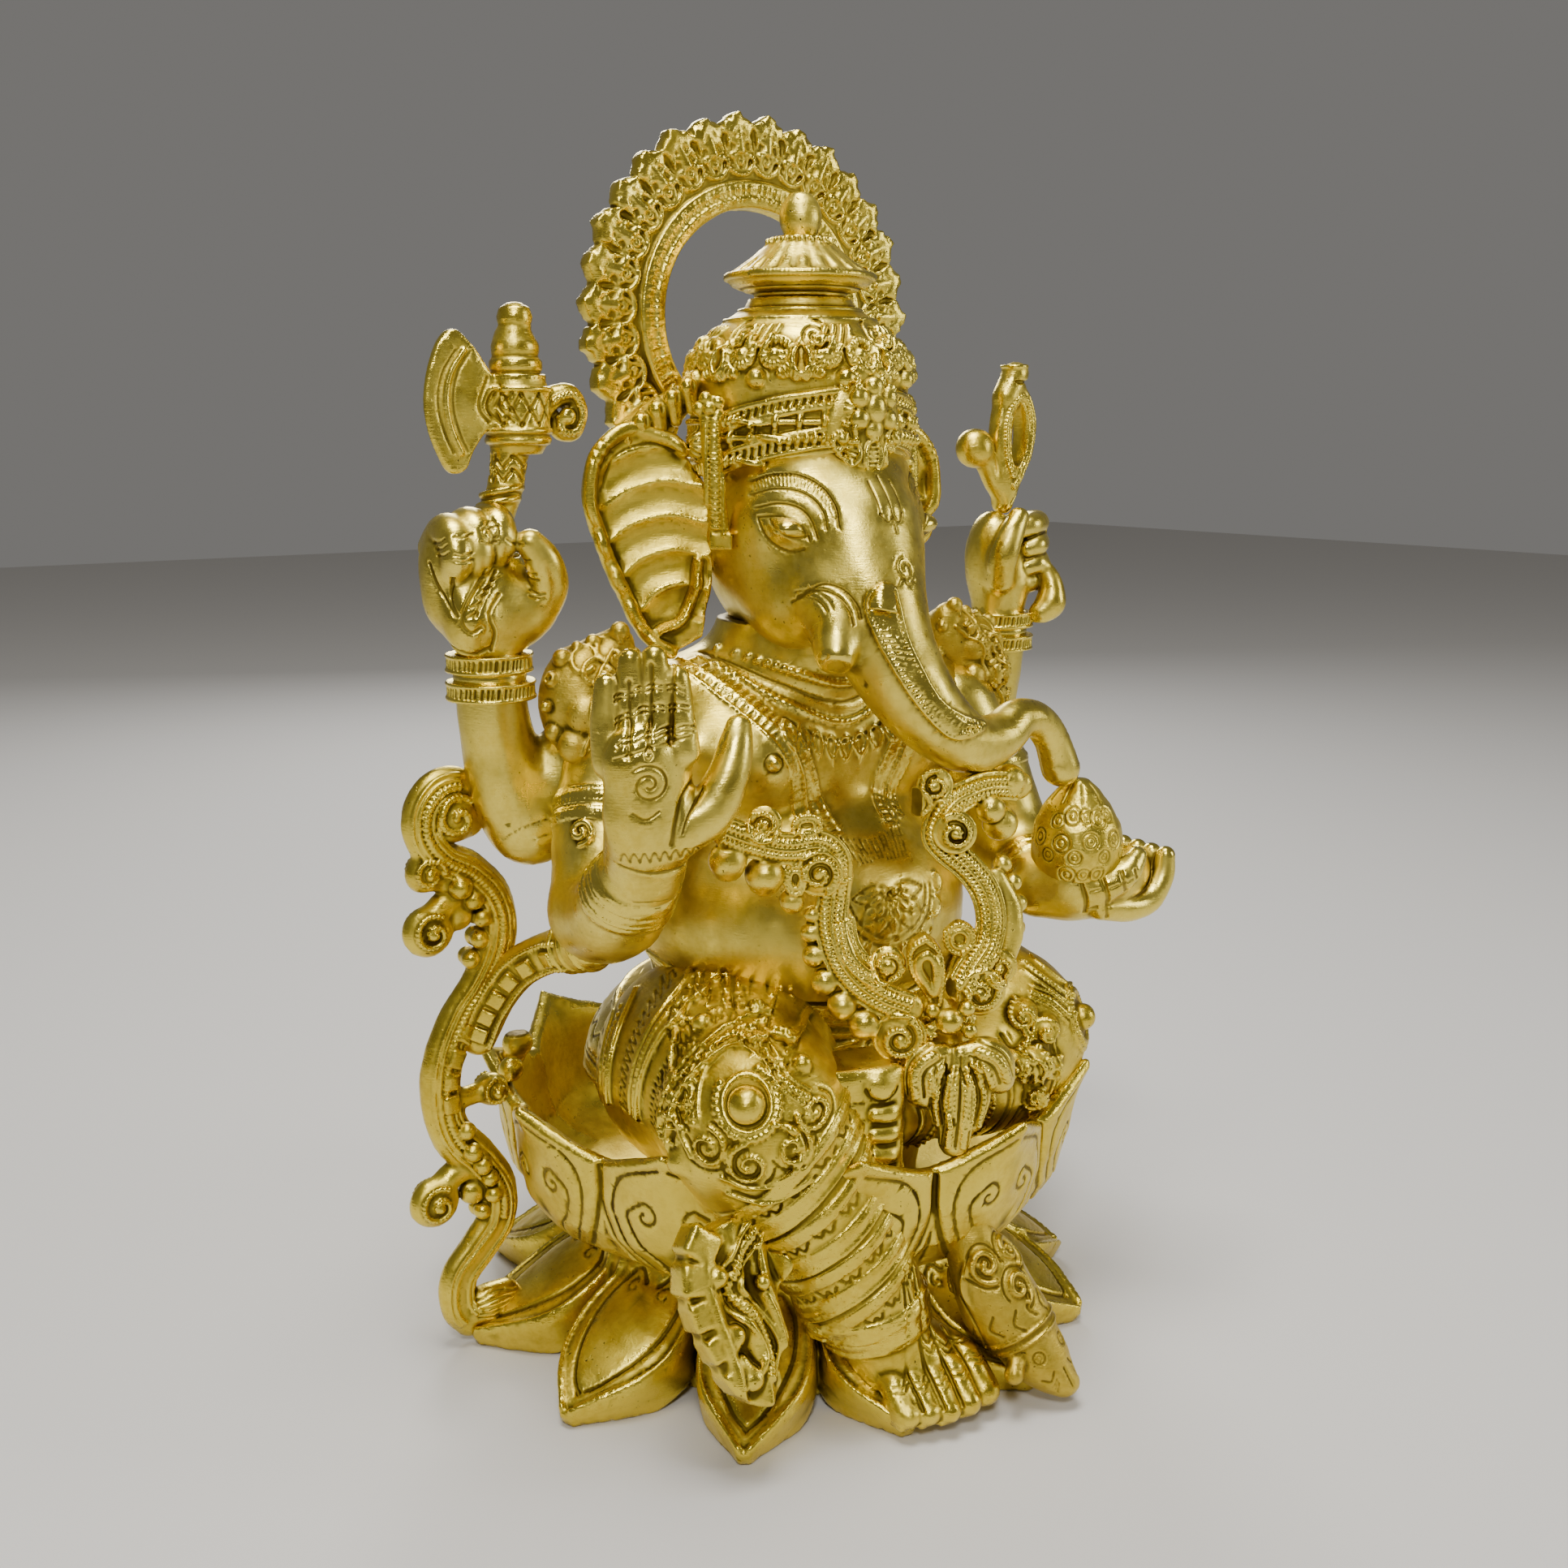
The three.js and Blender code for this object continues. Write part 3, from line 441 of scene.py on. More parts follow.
class Wrap:
    """Ornaments on the surface of clay; lay() of a subclass brings a flat pattern down to it."""

    def cord(self, pattern, pitch=1.0, closed=False, **shape):
        self.clay.cord(*self.lay(pattern, pitch, closed), **shape)

    def groove(self, pattern, pitch=1.0, closed=False, **shape):
        self.clay.groove(*self.lay(pattern, pitch, closed), **shape)

    def beads(self, pattern, pitch=1.0, closed=False, **shape):
        self.clay.beads(*self.lay(pattern, pitch, closed), **shape)

    def scratch(self, line, r=0.45, depth=0.5):
        """Fine cut line."""
        self.groove(line, 0.5, r=r, depth=depth)

    def scratch_across(self, line, pitch, width):
        """Short cuts across a raised line, as on a twisted cord."""
        path = even(line, pitch)
        for p, s in zip(path, side_of(path)):
            self.scratch([p - s * width / 2, p + s * width / 2], 0.45, 0.55)

    def rope(self, line, width=3.0, pitch=1.7, closed=False, slant=0.45, height=1.3):
        """Leaning lugs, one behind another."""
        spots, normals = self.lay(line, pitch, closed)
        self.clay.lugs(spots, normals, width, height, pitch, slant, fill=0.6)

    def ladder(self, line, width, pitch=1.9, height=0.9, slant=0.1):
        """Notched band with a plain cord along each edge."""
        p = even(line, 1.0)
        side = side_of(p)
        for sign in (1, -1):
            self.cord(p + side * sign * width * 0.6, 0.9, r=0.65, sink=0.25, blend=0.4)
        spots, normals = self.lay(p, pitch)
        self.clay.lugs(spots, normals, width, height, pitch, slant)

    def ring_band(self, z, width, cords=True, pitch=1.8):
        """Notched ring at one height round the body."""
        spots, normals = self.lay(hoop(z), pitch, True)
        self.clay.lugs(spots, normals, width, 1.0, pitch, 0.0, fill=0.5)
        if cords:
            for step in (-0.62, 0.62):
                self.cord(hoop(z + step * width), 1.0, True, r=0.6, blend=0.4)

    def spot(self, x, z):
        """Surface point and normal under one point of a pattern, or None where it meets nothing."""
        spots, normals = self.lay([(x, z), (x + 0.2, z)], 0.5)
        return (spots[0], normals[0]) if len(spots) else None

    def dome(self, x, z, radii, blend=0.5, lift=0.0):
        """Ball or ellipsoid on the surface under one point of a pattern."""
        found = self.spot(x, z)
        if found:
            self.clay.blob(found[0] + found[1] * lift, radii, blend)


class Facing(Wrap):
    """Lays a flat pattern on the surface that faces it."""

    def __init__(self, clay, at, u, v, back=30.0, reach=60.0):
        self.clay = clay
        self.at, self.u, self.v = np.asarray(at, float), unit(u), unit(v)
        self.n = unit(np.cross(self.u, self.v))
        self.back, self.reach = back, reach

    def lay(self, pattern, pitch=1.0, closed=False):
        p = even(pattern, pitch, closed)
        start = self.at + p[:, :1] * self.u + p[:, 1:2] * self.v + self.back * self.n
        return self.clay.land(start, -self.n, self.reach)


class Round(Wrap):
    """Lays a pattern (degrees, height) on a body around a leaning axis from base to top."""

    def __init__(self, clay, base, top, zero, radius, reach=None):
        self.clay = clay
        self.base, self.top = np.asarray(base, float), np.asarray(top, float)
        self.axis = unit(self.top - self.base)
        zero = np.asarray(zero, float)
        self.e1 = unit(zero - self.axis * (zero @ self.axis))
        self.e2 = np.cross(self.axis, self.e1)
        self.radius = radius
        self.reach = reach or radius

    def lay(self, pattern, pitch=1.0, closed=False):
        scale = math.radians(1) * self.radius * 0.8
        p = np.array(pattern, float)
        p[:, 0] *= scale
        p = even(p, pitch, closed)
        a = np.radians(p[:, 0] / scale)
        out = np.cos(a)[:, None] * self.e1 + np.sin(a)[:, None] * self.e2
        centre = self.base + p[:, 1:2] * self.axis
        return self.clay.land(centre + out * self.radius, -out, self.reach)


def straight(clay, back, reach):
    """Lays patterns (sideways, height) seen from straight ahead."""
    return Facing(clay, ORIGIN, LEFT, UP, back, reach)


def slanted(clay, side=-1, back=160, reach=200):
    """Lays patterns (sideways, height) seen from 35 degrees to one side of straight ahead."""
    return Facing(clay, ORIGIN, (SLANT_COS, SLANT_SIN * side, 0), UP, back, reach)


def upright(clay, at, zero, radius, reach=None):
    """Lays patterns (degrees, height) round the vertical axis at (x, y)."""
    return Round(clay, (*at, 0), (*at, 1), zero, radius, reach)


def side_clay(side, x, y, z, step):
    """Clay between the given (low, high) pairs, mirrored to the figure's right where side is -1."""
    low, high = sorted((side * x[0], side * x[1]))
    return Clay((low, y[0], z[0]), (high, y[1], z[1]), step)


def blurred(field, width, step):
    """Box blur of the field, twice, over width millimetres."""
    n = max(int(round(width / step / 2)), 1)
    out = field
    for _ in range(2):
        for axis in range(3):
            total = np.cumsum(np.pad(out, [(n + 1, n) if k == axis else (0, 0) for k in range(3)],
                                     mode="edge"), axis=axis, dtype=np.float64
                              if out.size < 4e6 else np.float32)
            high = [slice(None)] * 3
            low = [slice(None)] * 3
            high[axis] = slice(2 * n + 1, None)
            low[axis] = slice(0, -(2 * n + 1))
            out = ((total[tuple(high)] - total[tuple(low)]) / (2 * n + 1)).astype(np.float32)
    return out


def ripple(p, size):
    """Slow unevenness of hand-finished metal, from -1 to 1."""
    q = p / size
    x, y, z = q[:, 0], q[:, 1], q[:, 2]
    a = np.sin(x * 1.7 + 2.1 * np.sin(y * 0.9 + z * 0.5)) + np.sin(y * 1.9 + 1.7 * np.sin(z * 1.1 - x * 0.4))
    return (a + np.sin(z * 1.6 + 1.9 * np.sin(x * 0.8 + y * 0.7))) / 3


done = set()                             # names of the CAD nodes that have been replaced


def surface_mesh(name, points, triangles, quads):
    """Mesh in metres from points in millimetres; the faces are turned to look outwards."""
    mesh = bpy.data.meshes.new(name)
    mesh.vertices.add(len(points))
    mesh.vertices.foreach_set("co", (points * MM).astype(np.float32).ravel())
    loops = np.concatenate([quads[:, ::-1].ravel(), triangles[:, ::-1].ravel()])
    mesh.loops.add(len(loops))
    mesh.loops.foreach_set("vertex_index", loops.astype(np.int32))
    corners = np.repeat([4, 3], [len(quads), len(triangles)])
    starts = np.cumsum(corners) - corners
    mesh.polygons.add(len(corners))
    mesh.polygons.foreach_set("loop_start", starts.astype(np.int32))
    mesh.polygons.foreach_set("loop_total", corners.astype(np.int32))
    mesh.update(calc_edges=True)
    mesh.validate()
    return mesh


def cast(clay, name, material, uneven=0.12):
    """Turns the clay into one mesh that replaces the CAD node of that name."""
    band = SKIN_BAND * clay.step
    field = np.clip(clay.field, -band, band)
    grid = openvdb.FloatGrid(float(band))
    grid.copyFromArray(field)
    points, triangles, quads = grid.convertToPolygons(0.0, SKIN_ADAPT)
    spots = points.astype(float) * clay.step + clay.low
    # relief marks fine recesses, which the metals darken with dirt and painted shade
    relief = clay.sample(spots, blurred(field, RELIEF_BLUR, clay.step)) / RELIEF_DEPTH
    # hollow marks broad hollows, which the metals warm and darken as painted shade
    skip = max(int(round(HOLLOW_CELL / clay.step)), 1)
    coarse = np.clip(clay.field, -FAR, FAR)[::skip, ::skip, ::skip]
    soft = blurred(coarse, HOLLOW_BLUR, clay.step * skip)
    g = np.clip((spots - clay.low) / (clay.step * skip), 0, np.array(soft.shape) - 1.001).astype(int)
    hollow = soft[g[:, 0], g[:, 1], g[:, 2]] / HOLLOW_DEPTH
    wave = ripple(spots, RIPPLE_WIDE)
    fine_wave = ripple(spots + RIPPLE_FINE_SHIFT, RIPPLE_FINE)
    spots = spots + clay.normals(spots) * (uneven * wave + RIPPLE_FINE_SHARE * uneven * fine_wave)[:, None]
    spots[:, 2] = np.maximum(spots[:, 2], 0.0)
    mesh = surface_mesh(name + "_cast", spots, triangles, quads)
    for key, values in (("relief", relief), ("hollow", hollow)):
        layer = mesh.attributes.new(key, "FLOAT", "POINT")
        layer.data.foreach_set("value", np.clip(values, -1, 1).astype(np.float32))
    mesh.shade_smooth()
    mesh.materials.append(material)
    piece = bpy.data.objects.new(name + "_cast", mesh)
    bpy.context.scene.collection.objects.link(piece)
    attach(piece, "root")
    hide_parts(name)
    done.add(name)
    cells = clay.field.size / 1e6
    print(f"{name}: {len(spots)} points, {len(quads) + len(triangles)} faces, grid {cells:.1f}M")


# ---------------------------------------------------------------- materials

# Noise scales, in waves per metre
PATCH_SCALE = 26.0
SPECKLE_SCALE = 420.0
PIT_SCALE = 700.0
PIT_ZONE_SCALE = 38.0
GLOSS_SCALE = 90.0
GRAIN_SCALE = 900.0
MARK_SCALE = 260.0
MARK_STRETCH = (1.0, 1.0, 7.0)
PIT_COLOUR = (0.03, 0.02, 0.008)
BUMP_STRENGTH = 0.32
BUMP_DISTANCE = 0.0004                   # metres


def link(tree, a, b):
    tree.links.new(a, b)


def attribute(tree, name):
    node = tree.nodes.new("ShaderNodeAttribute")
    node.attribute_name = name
    return node.outputs["Fac"]


def scaled_noise(tree, coords, scale, detail=3.0, rough=0.55, stretch=None):
    noise = tree.nodes.new("ShaderNodeTexNoise")
    noise.inputs["Scale"].default_value = scale
    noise.inputs["Detail"].default_value = detail
    noise.inputs["Roughness"].default_value = rough
    source = coords
    if stretch is not None:
        mapping = tree.nodes.new("ShaderNodeMapping")
        mapping.inputs["Scale"].default_value = stretch
        link(tree, coords, mapping.inputs["Vector"])
        source = mapping.outputs["Vector"]
    link(tree, source, noise.inputs["Vector"])
    return noise.outputs["Fac"]


def ramp(tree, value, low, high, to_low=0.0, to_high=1.0):
    node = tree.nodes.new("ShaderNodeMapRange")
    node.interpolation_type = "SMOOTHSTEP"
    node.inputs["From Min"].default_value = low
    node.inputs["From Max"].default_value = high
    node.inputs["To Min"].default_value = to_low
    node.inputs["To Max"].default_value = to_high
    link(tree, value, node.inputs["Value"])
    return node.outputs["Result"]


def mix(tree, factor, a, b):
    node = tree.nodes.new("ShaderNodeMix")
    node.data_type = "RGBA"
    link(tree, factor, node.inputs["Factor"])
    for socket, value in ((node.inputs[6], a), (node.inputs[7], b)):
        if isinstance(value, tuple):
            socket.default_value = (*value, 1)
        else:
            link(tree, value, socket)
    return node.outputs[2]


def maths(tree, kind, a, b):
    node = tree.nodes.new("ShaderNodeMath")
    node.operation = kind
    for socket, value in zip(node.inputs, (a, b)):
        if isinstance(value, (int, float)):
            socket.default_value = value
        else:
            link(tree, value, socket)
    return node.outputs[0]


def metal(name, polished, warm, recess, rough=0.3, grain=1.0, pits=1.0):
    """Cast metal: polished high spots, broad hollows warmer and darker as painted shade, dirt and painted
    shade in the recesses, pits and fine file marks.
    """
    material = bpy.data.materials.new(name)
    material.use_nodes = True
    tree = material.node_tree
    shader = tree.nodes["Principled BSDF"]
    shader.inputs["Metallic"].default_value = 1.0
    coords = tree.nodes.new("ShaderNodeTexCoord").outputs["Object"]
    relief = attribute(tree, "relief")
    hollow = attribute(tree, "hollow")
    # tone: 0 is the polished colour, 1 the warm one
    patches = scaled_noise(tree, coords, PATCH_SCALE, 4.0)
    speckle = scaled_noise(tree, coords, SPECKLE_SCALE, 3.0, 0.6)
    tone = maths(tree, "ADD", ramp(tree, patches, 0.36, 0.66, 0.0, 0.55),
                 ramp(tree, speckle, 0.35, 0.7, -0.12, 0.2))
    # broad hollows pushed towards the darker warm colour: painted shade
    tone = maths(tree, "ADD", tone, ramp(tree, hollow, -0.5, 0.3, 0.5, -0.1))
    colour = mix(tree, tone, polished, warm)
    # dirt and painted shade in the recesses, thinner in some patches
    dirt_and_shade = ramp(tree, relief, -0.42, 0.03, 1.0, 0.0)
    dirt_and_shade = maths(tree, "MULTIPLY", dirt_and_shade, ramp(tree, patches, 0.3, 0.7, 1.0, 0.55))
    colour = mix(tree, dirt_and_shade, colour, recess)
    # casting pits, in zones
    pit_noise = scaled_noise(tree, coords, PIT_SCALE, 2.0, 0.5)
    pit_zone = ramp(tree, scaled_noise(tree, coords, PIT_ZONE_SCALE, 2.0), 0.45, 0.68)
    pit = maths(tree, "MULTIPLY", ramp(tree, pit_noise, 0.66, 0.73), pit_zone)
    pit = maths(tree, "MULTIPLY", pit, pits)
    colour = mix(tree, pit, colour, PIT_COLOUR)
    link(tree, colour, shader.inputs["Base Color"])
    # rubbed high spots are smoother than the recesses
    gloss = maths(tree, "ADD", ramp(tree, relief, -0.3, 0.35, rough + 0.2, rough - 0.05),
                  ramp(tree, scaled_noise(tree, coords, GLOSS_SCALE, 4.0), 0.3, 0.75, -0.05, 0.14))
    link(tree, gloss, shader.inputs["Roughness"])
    # grain, file marks and pits in the surface
    fine = scaled_noise(tree, coords, GRAIN_SCALE, 4.0, 0.65)
    marks = scaled_noise(tree, coords, MARK_SCALE, 3.0, 0.5, MARK_STRETCH)
    height = maths(tree, "ADD", fine, maths(tree, "MULTIPLY", marks, 0.8))
    height = maths(tree, "SUBTRACT", height, maths(tree, "MULTIPLY", pit, 2.5))
    bump = tree.nodes.new("ShaderNodeBump")
    bump.inputs["Strength"].default_value = BUMP_STRENGTH * grain
    bump.inputs["Distance"].default_value = BUMP_DISTANCE
    link(tree, height, bump.inputs["Height"])
    link(tree, bump.outputs["Normal"], shader.inputs["Normal"])
    return material


# the third colour of each metal is the dirt and painted shade of its recesses
BRASS = metal("cast_brass", (0.81, 0.63, 0.075), (0.57, 0.385, 0.022), (0.055, 0.031, 0.003), 0.27)
BRIGHT = metal("bright_brass", (0.88, 0.70, 0.10), (0.63, 0.435, 0.028), (0.065, 0.037, 0.004), 0.24)
SKIN = metal("polished_brass", (0.83, 0.665, 0.11), (0.60, 0.43, 0.035), (0.08, 0.045, 0.005), 0.21, 0.6, 0.7)
DULL = metal("sand_brass", (0.66, 0.49, 0.065), (0.44, 0.29, 0.020), (0.042, 0.024, 0.003), 0.36, 1.5)
STEEL = metal("plated_steel", (0.52, 0.53, 0.54), (0.40, 0.40, 0.40), (0.1, 0.09, 0.08), 0.36)


# ---------------------------------------------------------------- lotus

# Half of a petal: shares of its length and of its half width
PETAL_EDGE = [(-0.08, 0.72), (0.1, 0.82), (0.3, 0.97), (0.5, 1.0), (0.68, 0.84), (0.84, 0.5), (0.95, 0.22),
              (1.0, 0.1)]
PETAL_HEART = [(0.16, 0.12), (0.1, 0.34), (0.2, 0.6), (0.42, 0.66), (0.62, 0.5), (0.78, 0.24), (0.86, 0)]
PETAL_LINE = [(0.02, 0.66), (0.3, 0.84), (0.52, 0.84), (0.72, 0.6), (0.9, 0.22), (0.95, 0)]


def petal_length(angle):
    return LOWER_TIP_MEAN + LOWER_TIP_SWING * math.cos(math.radians(angle - LOWER_TIP_SWING_AT))


def lower_petal(clay, i, angle):
    """Pointed petal with a raised rim, two engraved outlines and a pair of curls."""
    out = polar(angle, 1, 0)
    tip = petal_length(angle) - (LOWER_SHORTER if i == LOWER_SHORT_PETAL else 0.0)
    side = np.cross(UP, out)
    root = out * 72 + (0, 0, 38.0)
    end = out * (tip - 1.5) + (0, 0, 5.0)
    u = unit(end - root)
    n = np.cross(u, side)
    length = np.linalg.norm(end - root)
    widest = LOWER_NARROW if i in LOWER_NARROW_PETALS else LOWER_WIDE
    arch = 5.5 if i % 3 else 4.0

    def half_outline(shares):
        return smooth_path([(length * t, widest * w) for t, w in shares], 40)

    def bend(a, b):
        return -arch * (b / widest) ** 2 + 1.6 * np.sin(np.clip(a / length, 0, 1) * math.pi)

    upper = half_outline(PETAL_EDGE)
    outline = Outline(np.vstack([upper, upper[::-1] * (1, -1)]), margin=14)
    clay.plate(outline, root - n * LOWER_PETAL_THICK, u, side, LOWER_PETAL_THICK, blend=1.6, edge=1.4,
               bend=bend, reach=20)
    face = Facing(clay, root, u, side, back=14, reach=26)
    rim = upper[3:] * (0.96, 0.9)
    heart = half_outline(PETAL_HEART)
    outer = half_outline(PETAL_LINE)
    for sign in (1, -1):
        face.cord(rim * (1, sign), 1.0, r=1.3, sink=0.36, blend=1.2)
        face.groove(heart * (1, sign), 0.6, r=0.9, depth=0.95, blend=0.5)
        face.groove(outer * (1, sign), 0.7, r=0.55, depth=0.5)
        curl = spiral(length * 0.2, widest * 0.3, 3.4, 0.95, 180, sign)
        face.groove(curl * (1, sign), 0.5, r=0.55, depth=0.6)


def lower_lotus():
    """Thirteen pointed petals that stand on the floor, round a hollow core."""
    clay = Clay((-135, -131, 0), (122, 122, 46), 0.8)
    clay.turn([(0, 0), (86, 0), (88, 8), (84, 24), (80, 36), (75, 43), (0, 43)])
    for i, angle in enumerate(LOWER_PETALS):
        lower_petal(clay, i, angle)
    clay.turn([(0, -12), (79.5, -12), (79.5, 1), (70, 20), (62, 34), (0, 34)], cut=True)
    for k in range(70):
        a = 137.5 * k
        spot = polar(a, 78 + 4 * math.sin(k * 1.7), 38 + 3 * math.cos(k * 2.3))
        clay.blob(spot, 1.6 + 0.9 * math.sin(k), blend=0.8, cut=k % 3 == 0)
    clay.below(0.0)
    cast(clay, "lower_lotus", BRASS, uneven=0.35)


def upper_share(angle):
    """0 between two petals of the bowl, 1 on a petal's middle line; angle in radians."""
    phase = (np.degrees(angle) - UPPER_PETAL_START) * UPPER_PETALS / 360
    return 1 - 2 * np.abs(phase - np.round(phase))


def bowl_petals(clay):
    """Seams between the petals of the bowl, and the curl engraved in each half of a petal."""
    wall = upright(clay, (0, 0), LEFT, 138, 60)
    for i in range(UPPER_PETALS):
        a0 = UPPER_PETAL_START + i * 360 / UPPER_PETALS
        for sign in (1, -1):
            seam = smooth_path([(a0 + sign * 16.2, 89), (a0 + sign * 15.8, 74), (a0 + sign * 13, 60),
                                (a0 + sign * 8, 49)], 30)
            wall.groove(seam, 0.8, r=1.3, depth=1.2, blend=1.0)
            inner = smooth_path([(a0 + sign * 1.0, 97), (a0 + sign * 9.5, 90), (a0 + sign * 12.6, 78),
                                 (a0 + sign * 10.5, 63), (a0 + sign * 6, 52)], 40)
            wall.groove(inner, 0.7, r=0.75, depth=0.8)
            curl = spiral(a0 + sign * 5.0, 77, 5.4, 1.0, 90, sign)
            curl[:, 0] = a0 + sign * 5.0 + (curl[:, 0] - a0 - sign * 5.0) * 0.52
            stem = smooth_path([curl[0], (a0 + sign * 9.0, 76), (a0 + sign * 7.5, 66), (a0 + sign * 3.4, 57),
                                (a0 + sign * 2.6, 51)], 30)
            wall.groove(np.vstack([curl[::-1], stem[1:]]), 0.6, r=0.75, depth=0.8)


def bowl_rim(clay):
    """File notches all round the rim, each a little different."""
    for k in range(88):
        a = k * 360 / 88 + 1.8 * math.sin(k * 2.1)
        share = float(upper_share(np.radians(a)))
        lean = 0.5 + 0.35 * math.sin(k * 1.3)
        spot = polar(a, 108.8 + 3.5 * share, 94.4 + 12.4 * share**0.9)
        out, along = polar(a, 1, 0), polar(a + 90 + 14 * math.sin(k * 2.7), 1, 0)
        facet = np.array([out + (0, 0, lean), along, (-lean * out[0], -lean * out[1], 1)])
        clay.block(spot + facet[2] * 3.6, (6.5, 3.9, 2.6), facet, edge=0.4, blend=0.5, cut=True)


def upper_lotus():
    """Bowl of broad petals with a file-notched rim."""
    clay = Clay((-120, -119, 43), (119, 119, 108), 0.8)

    def petals(angle, r, z):
        share = upper_share(angle)
        high = np.clip((z - 58) / 38, 0, 1.3)
        round_out = np.sin(np.clip(share, 0, 1) * math.pi / 2) ** 0.6
        return (-4.0 + 5.0 * round_out) * np.clip((z - 44) / 12, 0, 1) + 4.5 * high**3 * share**1.5, \
            high**1.4 * (-8.0 + 13.0 * share**0.9)

    clay.turn([(0, 43.6), (79, 43.6), (92, 46.5), (101, 52.5), (107.5, 62), (110.5, 76), (111, 88),
               (111.5, 96), (109, 98), (105.5, 96.5), (103.5, 88), (102.5, 76), (99, 64), (92, 57),
               (80, 52.5), (64, 51), (0, 51)], shift=petals)
    bowl_petals(clay)
    bowl_rim(clay)
    for angle, r, z, size in ((154, 104, 108, 6), (148, 106, 99, 5), (159, 107, 101, 5), (-36, 106, 104, 5),
                              (60, 106, 100, 5)):
        clay.blob(polar(angle, r, z), (size, size * 0.8, size), blend=2)
    cast(clay, "upper_lotus", BRASS, uneven=0.35)


# ---------------------------------------------------------------- body

def collar(front):
    """Notched borders of the shawl, and the textured collar with its row of drops."""
    for sign in (1, -1):
        band = smooth_path([(sign * 44, 58), (sign * 33, 44), (sign * 22, 28), (sign * 15, 10),
                            (sign * 13, -2)], 50)
        front.ladder(band, 5.0, 2.2, slant=0.0, height=0.8)
        front.ladder(band + (sign * 6.5, 1.5), 4.0, 2.2, slant=0.0, height=0.8)
    # textured collar
    for k, z in enumerate((62, 57, 52, 47)):
        line = smooth_path([(-44 + 3 * k, z + 5), (-24, z - 5 - k), (0, z - 12 - 2 * k), (24, z - 5 - k),
                            (44 - 3 * k, z + 5)], 60)
        if k % 2:
            front.groove(line, 0.8, r=0.8, depth=0.8)
        else:
            front.rope(line, 4.0, 2.2, slant=0.8)
    for x in np.arange(-26, 27, 6.5):
        drop = leaf(x, 36 - 5 * math.cos(x / 12), 9, 5, 270)
        front.cord(drop, 0.7, True, r=0.7, blend=0.4)


def belly_flower(front):
    """Flower engraved on the front of the belly."""
    for k in range(7):
        petal = leaf(0, -22, 16, 7, 180 + 30 * k)
        front.groove(petal, 0.6, True, r=0.55, depth=0.55)
    for r in (4.0, 17.5, 20.5):
        front.groove(circle(0, -20, r, 185, 355), 0.6, r=0.6, depth=0.6)
    for k in range(9):
        a = 190 + k * 20
        front.cord(circle(24 * math.cos(math.radians(a)), -18 + 24 * math.sin(math.radians(a)), 3.2,
                          a - 110, a + 110), 0.6, r=0.7, blend=0.4)
    for k in range(15):
        x = -16 + 32 * k / 14
        front.groove([(x, -4 + 0.01 * x * x), (x * 0.8, -11)], 0.6, r=0.55, depth=0.55)


def belt_and_folds(around):
    """Belt with a rope under it, and the folds of the cloth below."""
    belt = [(a, 133 + 13 * (1 - math.cos(math.radians(a))) ** 0.8) for a in np.arange(-180, 181, 5)]
    around.ladder(belt, 5.0, 2.0, slant=0.0, height=1.0)
    around.rope([(a, z - 6.5) for a, z in belt], 3.2, 2.0)
    around.groove([(a, z + 4.6) for a, z in belt], 1.0, r=0.8, depth=0.7)
    for k in range(9):
        swag = [(a, 127 - 6 * k + 5 * math.sin(math.radians(a * 2 + 40 * k)))
                for a in np.arange(-175, 176, 4)]
        if k % 3 == 0:
            around.rope(swag, 3.2, 1.9, slant=0.7, height=1.1)
        elif k % 3 == 1:
            zigzag = [(a, z + 1.7 * (-1) ** n) for n, (a, z) in enumerate(swag)]
            around.groove(zigzag, 0.8, r=0.7, depth=0.7)
        else:
            around.groove(swag, 0.9, r=0.8, depth=0.8)
            around.groove([(a, z + 2.2) for a, z in swag], 0.9, r=0.6, depth=0.6)


def shawl_hem(clay):
    """Hem of the shawl over the back."""
    back = Facing(clay, (0, 60, 200), (-1, 0, 0), UP, back=20, reach=110)
    shawl = smooth_path([(-62, 30), (-30, 12), (0, 4), (30, 12), (62, 30)], 60)
    back.ladder(shawl, 5.0, 2.2, slant=0.0)
    for k in range(3):
        back.groove(shawl + (0, 10 + 9 * k), 0.9, r=0.8, depth=0.8)


def torso():
    """Belly, chest, shoulders and neck, with a socket for the head."""
    clay = Clay((-90, -76, 51), (90, 66, 268), 0.75)
    clay.blob(HIPS_AT, (84, 67, 40))
    clay.turn([(0, 52), (50, 52), (56, 90), (0, 90)], at=(0, -4), blend=6)
    clay.blob((0, -8, 168), (66, 57, 46), blend=10)
    clay.blob((0, 2, 222), (58, 40, 42), blend=14)
    clay.blob((0, 2, 240), (82, 27, 20), blend=12)
    clay.tube([(0, -2, 240), (0, -10, 263)], (32, 31), blend=8)
    for sign in (1, -1):
        clay.blob((sign * 30, -22, 224), (27, 20, 19), blend=9)
        clay.blob((sign * 62, 2, 228), (22, 26, 26), blend=9)
    clay.blob((0, -34, 158), (48, 32, 34), blend=14)
    front = Facing(clay, (0, -70, 200), LEFT, UP, back=20, reach=110)
    around = upright(clay, (0, 0), FRONT, 105, 100)
    # nipples
    for sign in (1, -1):
        front.dome(sign * 34, 25, 2.6, blend=1)
        front.groove(circle(sign * 34, 25, 3.4), 0.6, True, r=0.5, depth=0.5)
    collar(front)
    belly_flower(front)
    belt_and_folds(around)
    shawl_hem(clay)
    clay.turn([(0, 225), (25, 225), (25, 300), (0, 300)], at=(0, -8), cut=True)
    cast(clay, "torso", SKIN, uneven=0.35)




# ---------------------------------------------------------------- head, crown and arch

